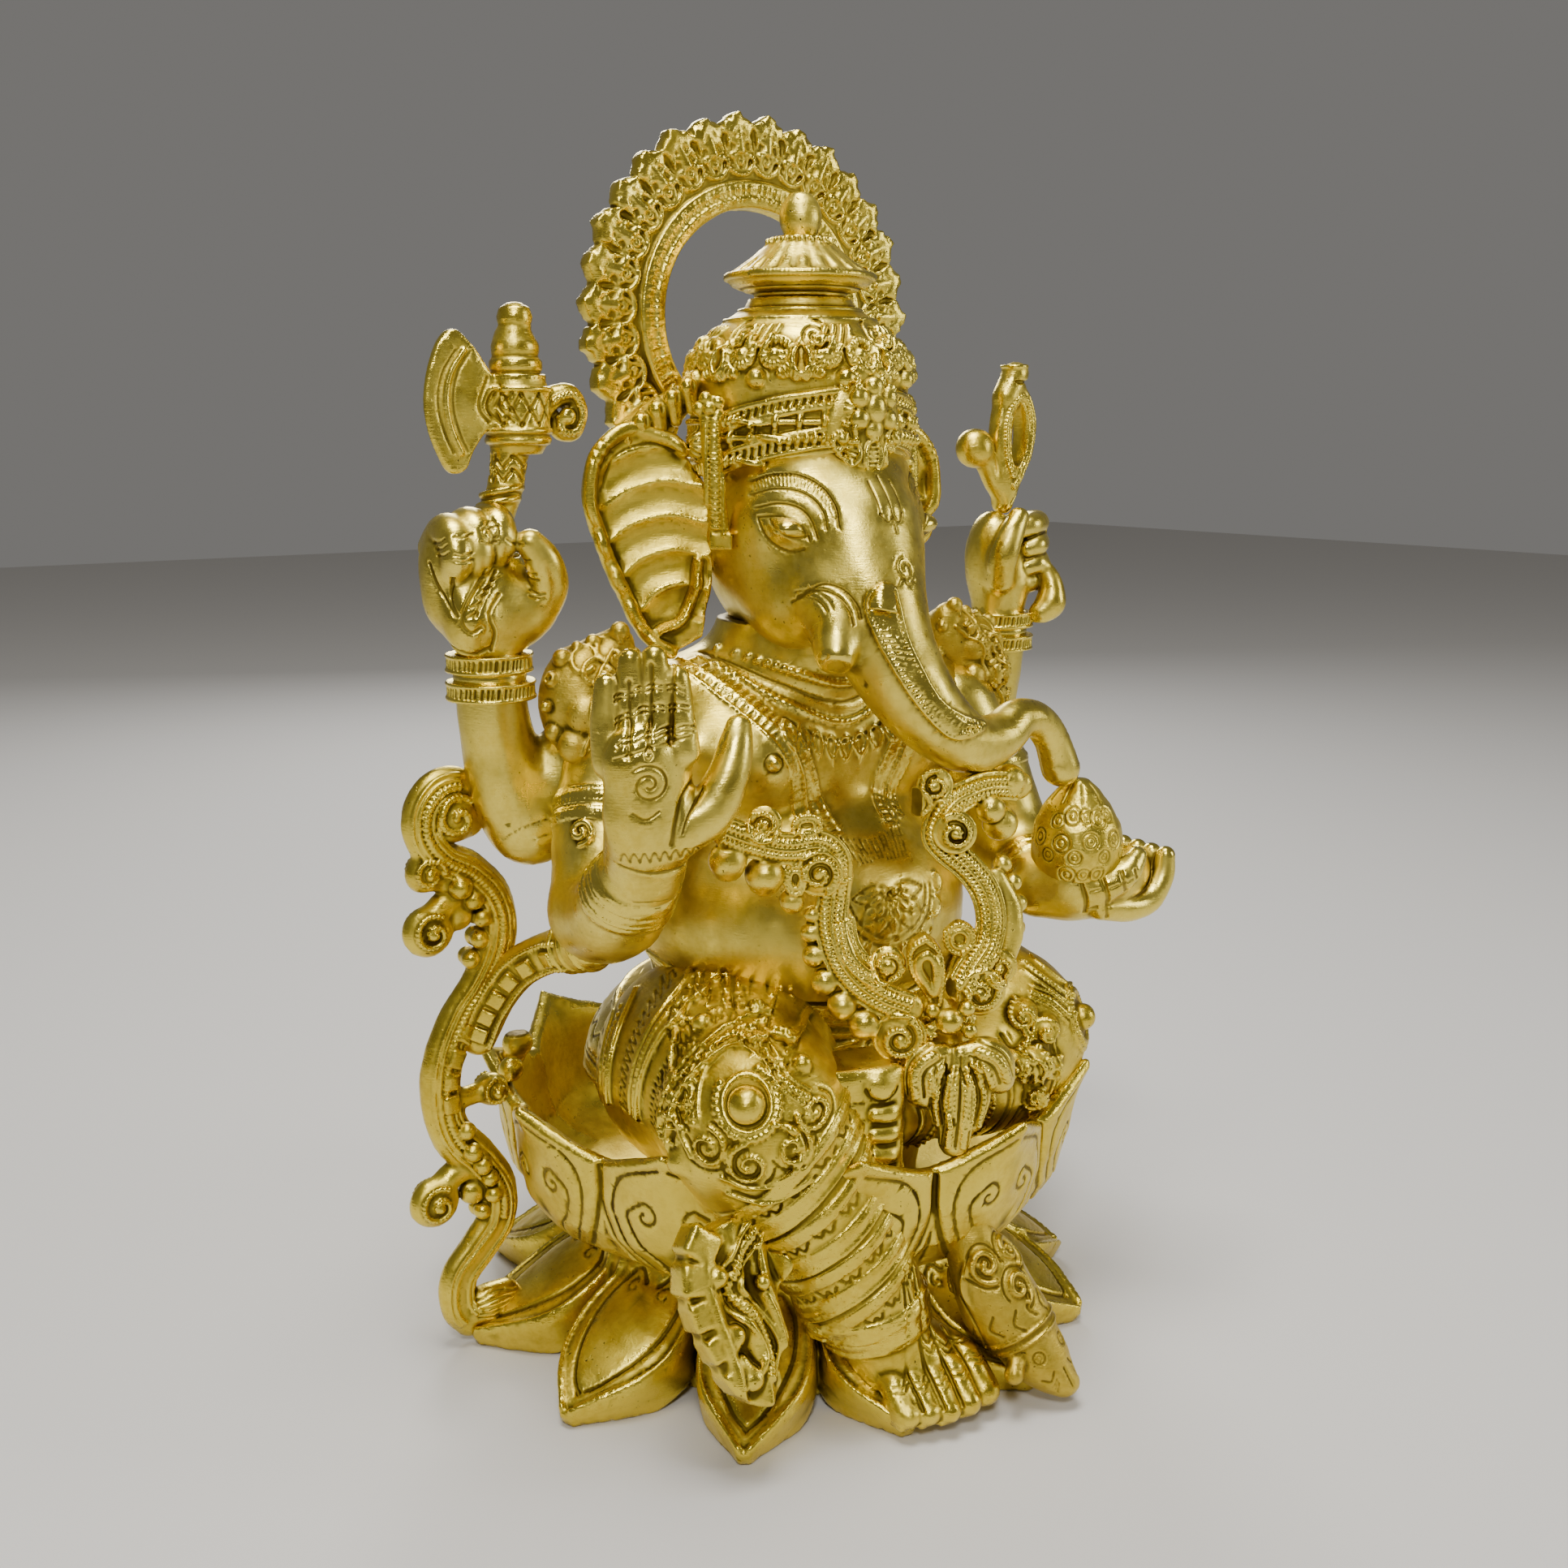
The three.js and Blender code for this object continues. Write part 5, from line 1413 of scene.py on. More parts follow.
def left_rear_hand():
    """Hand that holds the noose."""
    clay = Clay((98, -14, 262), (144, 32, 314), 0.42)
    clay.tube([(116, 10, 264), (117, 10, 276)], (10.6, 12.5), blend=3)
    clay.blob((119, 13, 284), (15, 12.5, 17), blend=5)
    clay.blob((112, 10, 290), (10, 11, 16), blend=4)
    for k, (x, y, z) in enumerate(((126, 5, 301), (128, 3.5, 293), (128.6, 3.6, 285.5), (127, 6, 278))):
        clay.bar([(127 - k, 20, z - 3), (133, 14, z - 1), (133.5, 6, z), (x, y - 3.5, z - 1),
                  (x - 5, y - 3, z - 2.5)], 22, (5.6, 5.4, 5.0, 4.6, 3.8), blend=0.8)
    clay.bar([(110, 2, 279), (108.5, -1, 288), (111.5, -2, 297), (116.5, -1, 303.5)], 26,
             (6.6, 6.2, 5.2, 4.2), blend=1.5)
    clay.bar([(131, 0, 284), (133.5, -3, 277), (133, -4, 268.5), (128, -3, 264)], 24, (3.4, 4.6, 6.4, 4.6),
             blend=1.2)
    seen = slanted(clay)
    for k in range(7):
        t = k / 6
        seen.groove([(98.4 + 3.5 * t, 287 - 11 * t), (102.0 + 3.2 * t, 284.4 - 11 * t)], 0.5, r=0.5,
                    depth=0.55)
    seen.scratch(spiral(101.5, 268.2, 4.6, 1.4, 100, -1, 0.15), 0.6, 0.65)
    for x, z in ((79.6, 291), (80.4, 286), (81.4, 281.5)):
        seen.groove([(x, z), (x + 7, z - 4)], 0.6, r=0.45, depth=0.35)
    for z in (298, 292, 284):
        seen.groove([(99.2, z), (103.4, z - 1.6)], 0.5, r=0.42, depth=0.45)
    cast(clay, "left_rear_hand", SKIN, uneven=0.25)


def shoulder_ornament(side, name):
    """Scrolls and beads on one shoulder."""
    clay = side_clay(side, (64, 108), (-30, 16), (224, 274), 0.45)
    clay.blob((side * 88, -3, 247), (15, 14, 20), blend=2)
    clay.blob((side * 78, -2, 258), (12, 11, 12), blend=4)
    clay.blob((side * 75, -6, 266), (6.2, 5.5, 6.2), blend=2)
    clay.blob((side * 80.5, -8, 260.5), (6, 6, 6.2), blend=1.5)
    clay.blob((side * 84, -12, 254), (6.6, 6, 6.6), blend=1.2)
    for x, y, z, r in ((92, -14, 244, 7.2), (95, -12, 233.5, 6.8), (81, -16, 243, 5.2), (80, -14, 234, 5.4)):
        clay.blob((side * x, y, z), (r, r * 0.85, r), blend=1.2)
    face = slanted(clay, side, 95, 110)
    flip = (-side, 1)
    if side > 0:
        for x, z, r, start, way in ((-67.8, 253.2, 5.4, 60, 1), (-70, 243.8, 6.0, 110, -1),
                                    (-73.4, 233.6, 5.6, 60, 1)):
            face.rope(spiral(x, z, r, 1.35, start, way, 0.25) * flip, 2.4, 1.4)
    for x, z, r in ((-60, 266, 0.8), (-68, 262.5, 0.8), (-64, 258.8, 0.7)):
        face.cord(circle(x, z, 4.0, 20, 320) * flip, 0.7, r=r, blend=0.4)
    band = smooth_path([(-56.5, 264), (-60.5, 256), (-62.5, 247), (-63.5, 238), (-66, 230)], 40) * flip
    face.ladder(band, 4.2, 1.9, slant=0.2)
    for k in range(16):
        a = math.radians(24 * k)
        spot = np.array((side * (86 + 12 * math.cos(a)), -4, 247 + 17 * math.sin(a)))
        out = unit([side * math.cos(a) * 0.8, -0.5, math.sin(a)])
        hit, facing = clay.land([spot + out * 26], out * -1, 40)
        if len(hit):
            clay.blob(hit[0], 2.0 + 0.7 * (k % 3), blend=0.6)
            if k % 4 == 1:
                clay.blob(hit[0] + facing[0] * 1.6, 1.5, blend=0.2, cut=True)
    cast(clay, name, DULL, uneven=0.3)


def right_front_arm():
    """Front arm that rises to the blessing hand."""
    clay = Clay((-118, -78, 160), (-58, 20, 246), 0.6)
    clay.bar([(-76, -8, 230), (-88, -18, 205), (-95, -28, 181)], 30, (18.4, 18, 17.4), blend=4)
    clay.bar([(-95, -28, 178), (-99, -44, 183), (-101, -57, 193), (-101, -66, 203)], 34,
             (17.5, 16.5, 14.5, 13), blend=6)
    wrist = Round(clay, (-100.3, -58, 193), (-101.2, -66, 203), (0, -1, 0.6), 26, 26)
    for k, width in enumerate((2.8, 4.0, 2.8)):
        wrist.ring_band(-2.5 + 4.6 * k, width, pitch=1.8)
    upper = Round(clay, (-84, -14, 215), (-95, -28, 181), FRONT, 30, 30)
    upper.ring_band(4.0, 4.4, pitch=2.0)
    upper.ring_band(10.5, 3.0, pitch=1.7)
    for a in (-60, 0, 60):
        curl = onto(spiral(0, 0, 4.6, 1.4, 90, 1, 0.2), a, 17.5, 18)
        upper.rope(curl, 2.0, 1.3)
    cast(clay, "right_front_arm", SKIN, uneven=0.4)


def palm_lines(clay):
    """Lines between and across the fingers, folds of the palm and the plain curls on it."""
    seen = slanted(clay, -1, 170, 120)
    for low, high in (((-46.2, 243.5), (-46.4, 265)), ((-40.2, 245), (-40.0, 270)),
                      ((-34.0, 246.5), (-33.6, 269))):
        seen.groove([low, high], 0.6, r=0.9, depth=0.9, blend=0.8)
    rows = (((-51.7, 259.0), (-46.6, 260.2), (-42.3, 262.0), (-35.8, 262.4), (-29.4, 261.1)),
            ((-51.4, 252.1), (-46.0, 254.2), (-40.2, 256.0), (-35.2, 256.2), (-27.8, 256.0)),
            ((-50.9, 245.2), (-45.4, 247.4), (-39.6, 248.6), (-33.2, 249.4), (-26.0, 249.6)))
    for j, row in enumerate(rows):
        for k in range(4):
            start, end = np.array(row[k]), np.array(row[k + 1])
            for shift in (0.0, 1.5):
                mark = [start + (0.8, shift), (start + end) / 2 + (0, 0.6 + shift), end + (-0.8, shift)]
                seen.groove(smooth_path(mark, 10), 0.5, r=0.42 + 0.1 * (j == 2), depth=0.55)
    seen.groove(smooth_path([(-51, 242.5), (-44, 244.5), (-37, 246.5), (-28, 248.5)], 20), 0.6, r=0.55,
                depth=0.5)
    seen.groove(smooth_path([(-22, 243.5), (-26, 236), (-31, 229), (-33, 221), (-34, 215)], 30), 0.6, r=0.9,
                depth=0.8, blend=1)
    seen.groove(smooth_path([(-25, 231), (-29, 224), (-31, 218)], 20), 0.6, r=0.55, depth=0.5)
    seen.scratch(spiral(-40.5, 234.5, 6.4, 1.7, 130, -1, 0.15), 0.55, 0.6)
    seen.scratch(leaf(-40.5, 242.0, 4.2, 2.4, 90), 0.42, 0.45)
    seen.scratch(smooth_path([(-45.5, 226), (-41.5, 223.8), (-37.5, 226)], 16), 0.5, 0.55)
    for x in np.arange(-50, -27, 3.1):
        seen.scratch(smooth_path([(x, 210), (x + 1.4, 213), (x + 2.8, 210)], 8), 0.45, 0.5)
    seen.scratch(smooth_path([(-51, 208.5), (-42, 205.5), (-32, 205.5), (-26, 208)], 24), 0.7, 0.75)


def right_front_hand():
    """Blessing hand, palm to the front."""
    clay = Clay((-126, -102, 196), (-66, -56, 281), 0.42)
    clay.tube([(-101, -67, 203), (-103, -72, 214)], (13, 13.6), blend=4)
    clay.blob((-105.5, -78, 225), (15.5, 9.8, 18), blend=6)
    clay.blob((-106, -79, 240), (15, 9, 14), blend=5)
    roots = ((-116.5, -73.5, 240), (-110, -77, 243), (-103, -80.5, 244), (-96.5, -84, 243))
    tips = ((-116.4, -72.5, 263.6), (-110.2, -76.4, 271), (-103.8, -80, 271.8), (-98.2, -83.4, 265.6))
    for root, tip in zip(roots, tips):
        middle = tuple((np.array(root) + tip) / 2 + (0, 0.6, 0))
        clay.bar([root, middle, tip], 16, (5.4, 5.0, 4.0), blend=1.3)
    clay.bar([(-96, -80, 217), (-87, -84, 223), (-81.5, -85.5, 233), (-77.5, -84.5, 243),
              (-75.5, -83, 248)], 30, (8.6, 8.0, 6.6, 5.4, 4.2), blend=3)
    palm_lines(clay)
    cast(clay, "right_front_hand", SKIN, uneven=0.25)


def left_front_arm():
    """Front arm that reaches out for the sweet."""
    clay = Clay((58, -78, 150), (112, 20, 246), 0.6)
    clay.bar([(76, -8, 230), (86, -17, 204), (90, -28, 178)], 30, (18.2, 18, 17.4), blend=4)
    clay.bar([(90, -28, 176), (86, -44, 171), (79, -56, 168.5), (76, -62, 168)], 30, (17, 15, 13, 12),
             blend=6)
    wrist = Round(clay, (84, -48, 170), (77, -60, 168), UP, 24, 24)
    for k, width in enumerate((3.4, 2.6)):
        wrist.ring_band(3 + 4.6 * k, width, pitch=1.8)
    upper = Round(clay, (84, -14, 212), (90, -28, 178), FRONT, 30, 30)
    upper.ring_band(2.0, 4.4, pitch=2.0)
    upper.ring_band(8.0, 3.0, pitch=1.7)
    cast(clay, "left_front_arm", SKIN, uneven=0.4)


def left_front_hand():
    """Cupped hand under the sweet."""
    clay = Clay((62, -98, 150), (126, -50, 186), 0.42)
    clay.blob((95, -73, 172), (25, 15.5, 16), blend=2)
    clay.tube([(76, -62, 168), (84, -68, 168)], (12.4, 13.5), blend=5)
    for k in range(4):
        y = -61.5 - 7.4 * k
        clay.bar([(88, y + 1, 161 + abs(k - 1.5)), (102, y, 158.5 + abs(k - 1.5)), (113, y - 0.5, 162),
                  (119.5, y - 0.5, 170), (121, y - 0.5, 178)], 26, (5.2, 5.2, 5.0, 4.5, 3.8), blend=1.0)
    clay.bar([(82, -78, 168), (88, -85, 171), (96, -88, 176), (102, -87, 181)], 22, (6.6, 6.0, 5.0, 3.8),
             blend=2)
    clay.blob((96, -72, 186), (20.5, 13.5, 17.5), cut=True, blend=1)
    below = slanted(clay, -1, 140, 120)
    for low, high in (((113.1, 157.5), (110.6, 174)), ((121.6, 158.5), (118.6, 175.5)),
                      ((128.8, 161), (125.8, 177.5)), ((133.6, 165.4), (131.4, 178))):
        below.groove(smooth_path([high, ((low[0] + high[0]) / 2 + 1, (low[1] + high[1]) / 2), low], 16),
                     0.6, r=0.8, depth=0.8, blend=0.6)
    for x, z in ((116, 171), (123, 172.5), (129, 174), (134.5, 174.5), (115.6, 163.4), (122.8, 164.5),
                 (130, 167)):
        below.groove([(x - 1.6, z - 0.6), (x + 1.8, z + 0.6)], 0.5, r=0.42, depth=0.45)
    cast(clay, "left_front_hand", SKIN, uneven=0.3)


def modak():
    """The sweet, covered with engraved rings."""
    clay = Clay((64, -93, 166), (106, -51, 214), 0.42)
    clay.turn([(0, 170), (9, 170.5), (14.5, 174), (17, 180), (17.3, 187), (16, 194), (12.5, 201),
               (8, 206.5), (3.4, 210.4), (0, 211)], at=(85, -72))
    wrap = upright(clay, (85, -72), SLANT_TOWARDS, 32, 32)
    marks = [(-48, 184), (-30, 189), (-12, 184), (8, 190), (28, 184), (46, 190), (66, 184), (-66, 190),
             (-40, 197), (-18, 199), (4, 199), (24, 198), (44, 199), (-22, 177), (0, 177), (20, 177),
             (90, 188), (112, 184), (134, 190), (156, 185), (178, 190), (200, 185), (222, 190), (244, 185),
             (268, 190)]
    for k, (a, z) in enumerate(marks):
        for r in ((3.3, 1.5) if k % 2 else (2.6, 1.2)):
            wrap.scratch(onto(circle(0, 0, r), a, z, 17 if z < 194 else 14), 0.42, 0.5)
    for k in range(9):
        a = 40 * k
        wrap.groove([(a, 203), (a + 4, 209)], 0.6, r=0.45, depth=0.45)
    cast(clay, "modak", BRIGHT, uneven=0.4)


def axe_socket(clay):
    """Drum with crossed cuts, rings and the knob on top."""
    clay.turn([(0, 331), (8.0, 331), (9.6, 334), (10.9, 338), (10.9, 352), (10.0, 355), (8.0, 357.6),
               (8.9, 359), (8.9, 361.4), (7.4, 363), (8.1, 364.6), (8.1, 367), (6.2, 369.6), (4.4, 371.4),
               (5.2, 373), (6.0, 375.6), (5.2, 378.6), (2.6, 380.4), (0, 381)], at=(-101.5, 12), blend=0.6)
    drum = upright(clay, (-101.5, 12), FRONT, 22, 22)
    for a in np.arange(-180, 180, 36):
        for sign in (1, -1):
            drum.scratch([(a - 18 * sign, 340.5), (a + 18 * sign, 350.5)], 0.75, 0.85)
    for z in (338.6, 352.2, 356.2):
        drum.cord(hoop(z), 1.0, True, r=0.9, blend=0.5)
    drum.ring_band(335.4, 2.6, cords=False, pitch=1.7)


def axe_blade(clay):
    """Blade that thins to its edge, with an arc and collars on both faces."""
    outline = smooth_path([(-102, 346), (-108, 352), (-113, 359), (-118.5, 366.5), (-124, 371.2),
                           (-129, 368), (-132.6, 360), (-134.8, 350), (-134.2, 340), (-131, 331),
                           (-127, 325), (-122, 326), (-119, 332), (-114.5, 338), (-109, 341), (-102, 341),
                           (-102, 346)], 110)[:-1]
    clay.plate(Outline(outline), (0, 12, 0), LEFT, UP, 3.4, blend=1.2, edge=1.2,
               thick=lambda a, b: np.clip(1.12 - 0.9 * np.clip((-118 - a) / 17, 0, 1), 0.2, 1.2), reach=8)
    for flip in (-1, 1):
        face = Facing(clay, (0, 12, 0), (-flip, 0, 0), UP, back=9, reach=12)
        arc = smooth_path([(-121.5, 364.5), (-126.2, 357), (-128, 348), (-126.5, 339), (-123.5, 331.5)],
                          40) * (-flip, 1)
        face.cord(arc, 0.8, r=0.95, blend=0.6)
        face.groove(arc + (flip * 2.6, 0), 0.8, r=0.55, depth=0.5)
        face.groove(arc + (-flip * 2.4, 0), 0.8, r=0.5, depth=0.45)
        for k in range(3):
            collar = smooth_path([(-107.5 - 3 * k, 351 + 2.5 * k), (-111 - 3 * k, 346.5),
                                  (-107.5 - 3 * k, 341.4)], 16) * (-flip, 1)
            face.groove(collar, 0.6, r=0.6, depth=0.65)


def axe():
    """Handle, drum-shaped socket, curved blade and a curl at the back."""
    clay = Clay((-140, -4, 306), (-73, 26, 384), 0.45)
    clay.bar([(-111, 12, 310), (-107.5, 12, 318), (-105, 12, 330), (-103, 12, 345), (-102, 12, 368)], 40,
             (6.4, 6.0, 6.4, 7.2, 6.8), blend=2)
    handle = upright(clay, (-110, 12), FRONT, 20, 22)
    for x, z in ((-109.4, 315), (-108.2, 318.6)):
        ring = [(x + 6.8 * math.cos(t), 12 + 6.8 * math.sin(t), z + 1.4 * math.sin(t + 2.4))
                for t in np.linspace(0, 2 * math.pi, 24)]
        clay.tube(ring, 1.1, blend=0.8)
    for a in np.arange(-180, 180, 60):
        for z in (322, 326.5):
            handle.scratch([(a - 30, z + 4), (a, z), (a + 30, z + 4)], 0.6, 0.8)
    axe_socket(clay)
    axe_blade(clay)
    curl = smooth_path([(-95, 12, 343), (-89, 12, 349), (-82, 12, 350.5), (-78.5, 12, 345),
                        (-80.5, 12, 338.5), (-86, 12, 338.5), (-86.8, 12, 343)], 60)
    clay.tube(curl, (4.4, 4.2, 3.8, 3.4, 3.0, 2.4), blend=1.2)
    back = straight(clay, 10, 30)
    back.rope(curl[8:, [0, 2]], 3.2, 1.5, slant=0.3)
    clay.blob((-84, 9, 343.5), (3.2, 2.6, 3.2), blend=0.8)
    cast(clay, "axe", BRIGHT, uneven=0.25)


def noose():
    """Pointed loop with a slot and two buds."""
    clay = Clay((92, -2, 304), (140, 26, 370), 0.42)
    outline = smooth_path([(119, 308), (126, 316), (132.4, 328), (134.4, 342), (130.4, 353), (123, 358),
                           (116, 352), (113, 341), (113, 328), (116, 316), (119, 308)], 110)[:-1]
    clay.plate(Outline(outline), (0, 12, 0), LEFT, UP, 4.0, edge=2.4, blend=1, reach=8)
    slot = smooth_path([(121.4, 323), (120.2, 334), (121.6, 344), (124, 349), (126.6, 343), (127.2, 333),
                        (125.6, 325), (121.4, 323)], 60)
    clay.plate(Outline(slot[:-1]), (0, 12, 0), LEFT, UP, 7, cut=True, blend=1.2, reach=12)
    clay.tube([(119, 12, 309), (120, 12, 314), (119.6, 12, 320)], (4.4, 5.4, 6), blend=2.5)
    clay.bar([(118, 12, 312), (113, 12, 318), (109.5, 12, 325), (106, 12, 331)], 24, (3.6, 3.8, 4.2, 5),
             blend=2)
    clay.blob((103.4, 12, 331.4), (8.0, 7.4, 7.8), blend=1)
    clay.bar([(119, 12, 352), (122, 12, 357), (124, 12, 361)], 12, (5.6, 5.6, 5.0), blend=2)
    clay.blob((123.6, 11.6, 361.2), (5.8, 5.4, 4.6), blend=1)
    for flip in (-1, 1):
        face = Facing(clay, (0, 12, 0), (-flip, 0, 0), UP, back=10, reach=16)
        ring = smooth_path([(119.6, 316), (125.4, 321), (129.6, 331), (130.2, 343), (126.6, 351),
                            (121.4, 350.6), (117.2, 343), (116.8, 331), (119, 320)], 70) * (-flip, 1)
        face.rope(ring, 3.0, 1.5, slant=0.2)
        inner = smooth_path([(121.6, 319.5), (126.4, 326), (128.8, 336), (127, 346), (123.6, 350),
                             (119.6, 345), (118.6, 334), (120, 324)], 60) * (-flip, 1)
        face.cord(inner, 0.9, r=0.65, blend=0.4)
        face.scratch(smooth_path([(120, 309), (127.4, 318), (132, 330), (133, 343), (129.4, 352)], 40)
                     * (-flip, 1), 0.6, 0.6)
    for z in (357.8, 364.0):
        clay.tube([(123.4 + 5.0 * math.cos(t), 11.8 + 5.0 * math.sin(t), z)
                   for t in np.linspace(0, 2 * math.pi, 20)], 0.9, blend=0.3, cut=z < 360)
    cast(clay, "noose", BRIGHT, uneven=0.25)




# ---------------------------------------------------------------- legs

TOES = (((-28.4, -100, 16.5), (-29.6, -113.6, 10.4), 4.6), ((-22.0, -102, 18), (-23.0, -116.6, 10.6), 4.7),
        ((-14.8, -103.5, 19), (-16.0, -119.2, 10.8), 4.9), ((-7.4, -104, 19.6), (-7.6, -119.4, 10.8), 5.1),
        ((0.0, -102.6, 19.6), (2.0, -116.8, 11.0), 5.8))


def right_foot(clay):
    """Foot of the hanging leg, with its toes."""
    clay.blob((-13, -94, 19), (17.5, 19, 13), blend=6)
    clay.block((-13, -98, 11.5), (19.0, 9.5, 7.0), np.array([(0.97, -0.22, 0), (0.22, 0.97, 0), UP]),
               edge=4, blend=5)
    for root, tip, r in TOES:
        knuckle = (np.array(root) + tip) / 2 + (0, 0, 2.6)
        clay.bar([root, knuckle, tip, (tip[0] + 0.2, tip[1] - 2.4, 9.6)], 22, (r, r + 0.2, r, r - 0.5),
                 blend=0.9)
        clay.block((tip[0], tip[1] + 4, 8.5), (r * 0.86, 7.5, 4.0), np.eye(3), edge=1.5, blend=1)
    top = Facing(clay, ORIGIN, LEFT, BACK, back=60, reach=70)
    for root, tip, r in TOES:
        for share in (0.3, 0.42, 0.84, 0.96):
            x = root[0] + (tip[0] - root[0]) * share
            y = root[1] + (tip[1] - root[1]) * share
            wide = r * 0.62
            mark = smooth_path([(x - wide, y + 0.9), (x, y - 0.8), (x + wide, y + 0.9)], 10)
            top.groove(mark, 0.5, r=0.5, depth=0.65)
        top.groove(circle(root[0], root[1] + 3, r * 0.8, 20, 160), 0.5, r=0.5, depth=0.55)
    for k in range(4):
        (x0, y0, _), (x1, y1, _) = TOES[k][0], TOES[k][1]
        (x2, y2, _), (x3, y3, _) = TOES[k + 1][0], TOES[k + 1][1]
        gap = [((x0 + x2) / 2, (y0 + y2) / 2), ((x1 + x3) / 2, (y1 + y3) / 2 - 5)]
        top.groove(gap, 0.6, r=0.75, depth=1.1, blend=0.4)


def right_shin_cloth(clay):
    """Slanted folds down the shin, with notched bands between them."""
    shin = Round(clay, (-60, -73, 108), (-23, -92, 30), SLANT_TOWARDS, 52, 52)
    # cloth of the shin: slanted folds with notched bands between
    for k, along in enumerate((8, 17, 27, 38, 48, 58, 68)):
        slope = 9.0 - 0.7 * k
        line = np.array([(a, along + slope * math.sin(math.radians(a * 0.8 + 10)) + 0.9
                          * math.sin(math.radians(2 * a + 50 * k))) for a in np.arange(-130, 131, 5)])
        shin.ladder(line, 3.2, 2.1, slant=0.1, height=1.1)
        if k % 2:
            shin.cord(line + (0, 4.0), 0.9, r=1.1, sink=0.3, blend=1.0)
            shin.groove(line + (0, 5.4), 0.9, r=0.6, depth=0.6, blend=0.6)
        for a in range(-84, 91, 24):
            centre = along + 5.0 + slope * math.sin(math.radians(a * 0.8 + 10))
            if k % 2 == 0:
                mark = onto(smooth_path([(-4, -1.4), (-1.6, 1.4), (0, -0.6), (1.6, 1.4), (4, -1.4)], 16), a,
                            centre, 24)
                shin.scratch(mark, 0.5, 0.6)


def right_anklets(clay):
    """Two notched rings round the ankle."""
    anklet = Round(clay, (-25, -91, 40), (-21, -93, 18), FRONT, 34, 34)
    for along, width in ((0, 4.2), (7, 3.2)):
        ring = [(a, along + 1.6 * math.sin(math.radians(a))) for a in np.arange(-180, 180, 8)]
        spots, normals = anklet.lay(ring, 1.7, True)
        clay.lugs(spots, normals, width, 1.3, 1.7, 0.1)
        for step in (-0.68, 0.68):
            anklet.cord([(a, h + step * width) for a, h in ring], 1.0, True, r=0.9, blend=0.5)


def right_leg():
    """Hanging leg from the hip to the foot."""
    clay = Clay((-98, -128, 3), (12, 14, 156), 0.6)
    clay.bar(RIGHT_THIGH, 30, (34, 33.5, 30.5), blend=4)
    clay.blob((-42, -22, 110), (47, 47, 40), blend=12)
    clay.bar(RIGHT_SHIN, 50, (30, 27, 22.5, 16.5, 14), blend=12)
    right_foot(clay)
    right_shin_cloth(clay)
    right_anklets(clay)
    right_thigh_cloth(clay)
    clay.tube([(-93, -73, 103), (-84, -76, 98)], (4.5, 4.0), blend=3)
    clay.blob(HIPS_AT, (81, 63, 38), cut=True, blend=2)
    cast(clay, "right_leg", BRASS, uneven=0.4)


def thigh_fan(seen, knee):
    """Bands and hatching that fan out towards the hip."""
    def fan(reach):
        return circle(knee[0] + 6, knee[1] - 16, reach, 62, 186, 70)

    for n, reach in enumerate((32, 38, 44, 50, 56, 62, 68)):
        if n % 2 == 0:
            seen.cord(fan(reach), 0.9, r=1.0, sink=0.35, blend=1.2)
            seen.ladder(fan(reach + 2.4), 2.4, 2.0, slant=0.2, height=0.8)
        else:
            zig = fan(reach - 0.6)
            zig[::2] = fan(reach + 2.0)[::2]
            seen.groove(zig, 0.6, r=0.45, depth=0.5)


def right_thigh_cloth(clay):
    """Knee medallion with the scrolls and bands around it, and the lines of the cloth."""
    seen = slanted(clay, -1, 190, 190)
    knee = (-11.8, 127.0)
    for p, r in ((knee, 6.2), ((0.0, 141.9), 3.6), ((5.8, 135.8), 3.6), ((-9.0, 147.2), 3.4),
                 ((-27.5, 143.5), 3.4)):
        seen.dome(*p, r, blend=0.7)
    seen.cord(circle(*knee, 8.0), 0.8, True, r=0.9, blend=0.5)
    seen.rope(circle(*knee, 10.2, 150, 430), 3.2, 2.0, slant=0.1, height=1.2)
    arc = smooth_path([(-29.5, 119), (-29.5, 129), (-26, 137), (-19, 142.4), (-12, 142.6), (-5, 139),
                       (0.5, 132.6), (7.4, 127.6)], 60)
    seen.ladder(arc, 3.2, 1.9, slant=0.1, height=1.2)
    scrolls = ((-24.4, 149.5, 6.2, 200, -1), (-1.5, 142.5, 6.0, 90, 1), (-12, 151, 5.4, 0, 1),
               (-33, 141, 5.6, 90, 1), (-25, 112.5, 6.8, 80, -1), (-11, 108, 7.4, 100, 1),
               (3, 113, 6.4, 100, -1), (10, 123, 5.4, 180, 1), (-35.5, 127, 5.4, 60, -1),
               (-37, 113, 5.6, 30, 1))
    for x, z, r, start, way in scrolls:
        curl = spiral(x, z, r, 1.35, start, way, 0.18)
        seen.rope(curl, 2.4, 1.5, height=1.2)
        seen.groove(spiral(x, z, r * 0.78, 1.2, start, way, 0.2), 0.6, r=0.6, depth=0.8)
        seen.groove(spiral(x, z, r * 1.25, 0.7, start, way, 0.9), 0.6, r=0.55, depth=0.6)
    for line in (((-20, 103), (-12, 100), (-3, 101), (5, 106)), ((-18, 97), (-9, 94.5), (0, 96), (9, 101)),
                 ((-30, 108), (-36, 120), (-38, 133), (-34, 147)), ((-3, 122), (3, 119), (6, 112), (4, 106))):
        path = smooth_path(line, 34)
        seen.cord(path, 0.8, r=1.0, blend=0.7)
        seen.groove(path + (1.6, 0.6), 0.8, r=0.6, depth=0.6)
    thigh_fan(seen, knee)


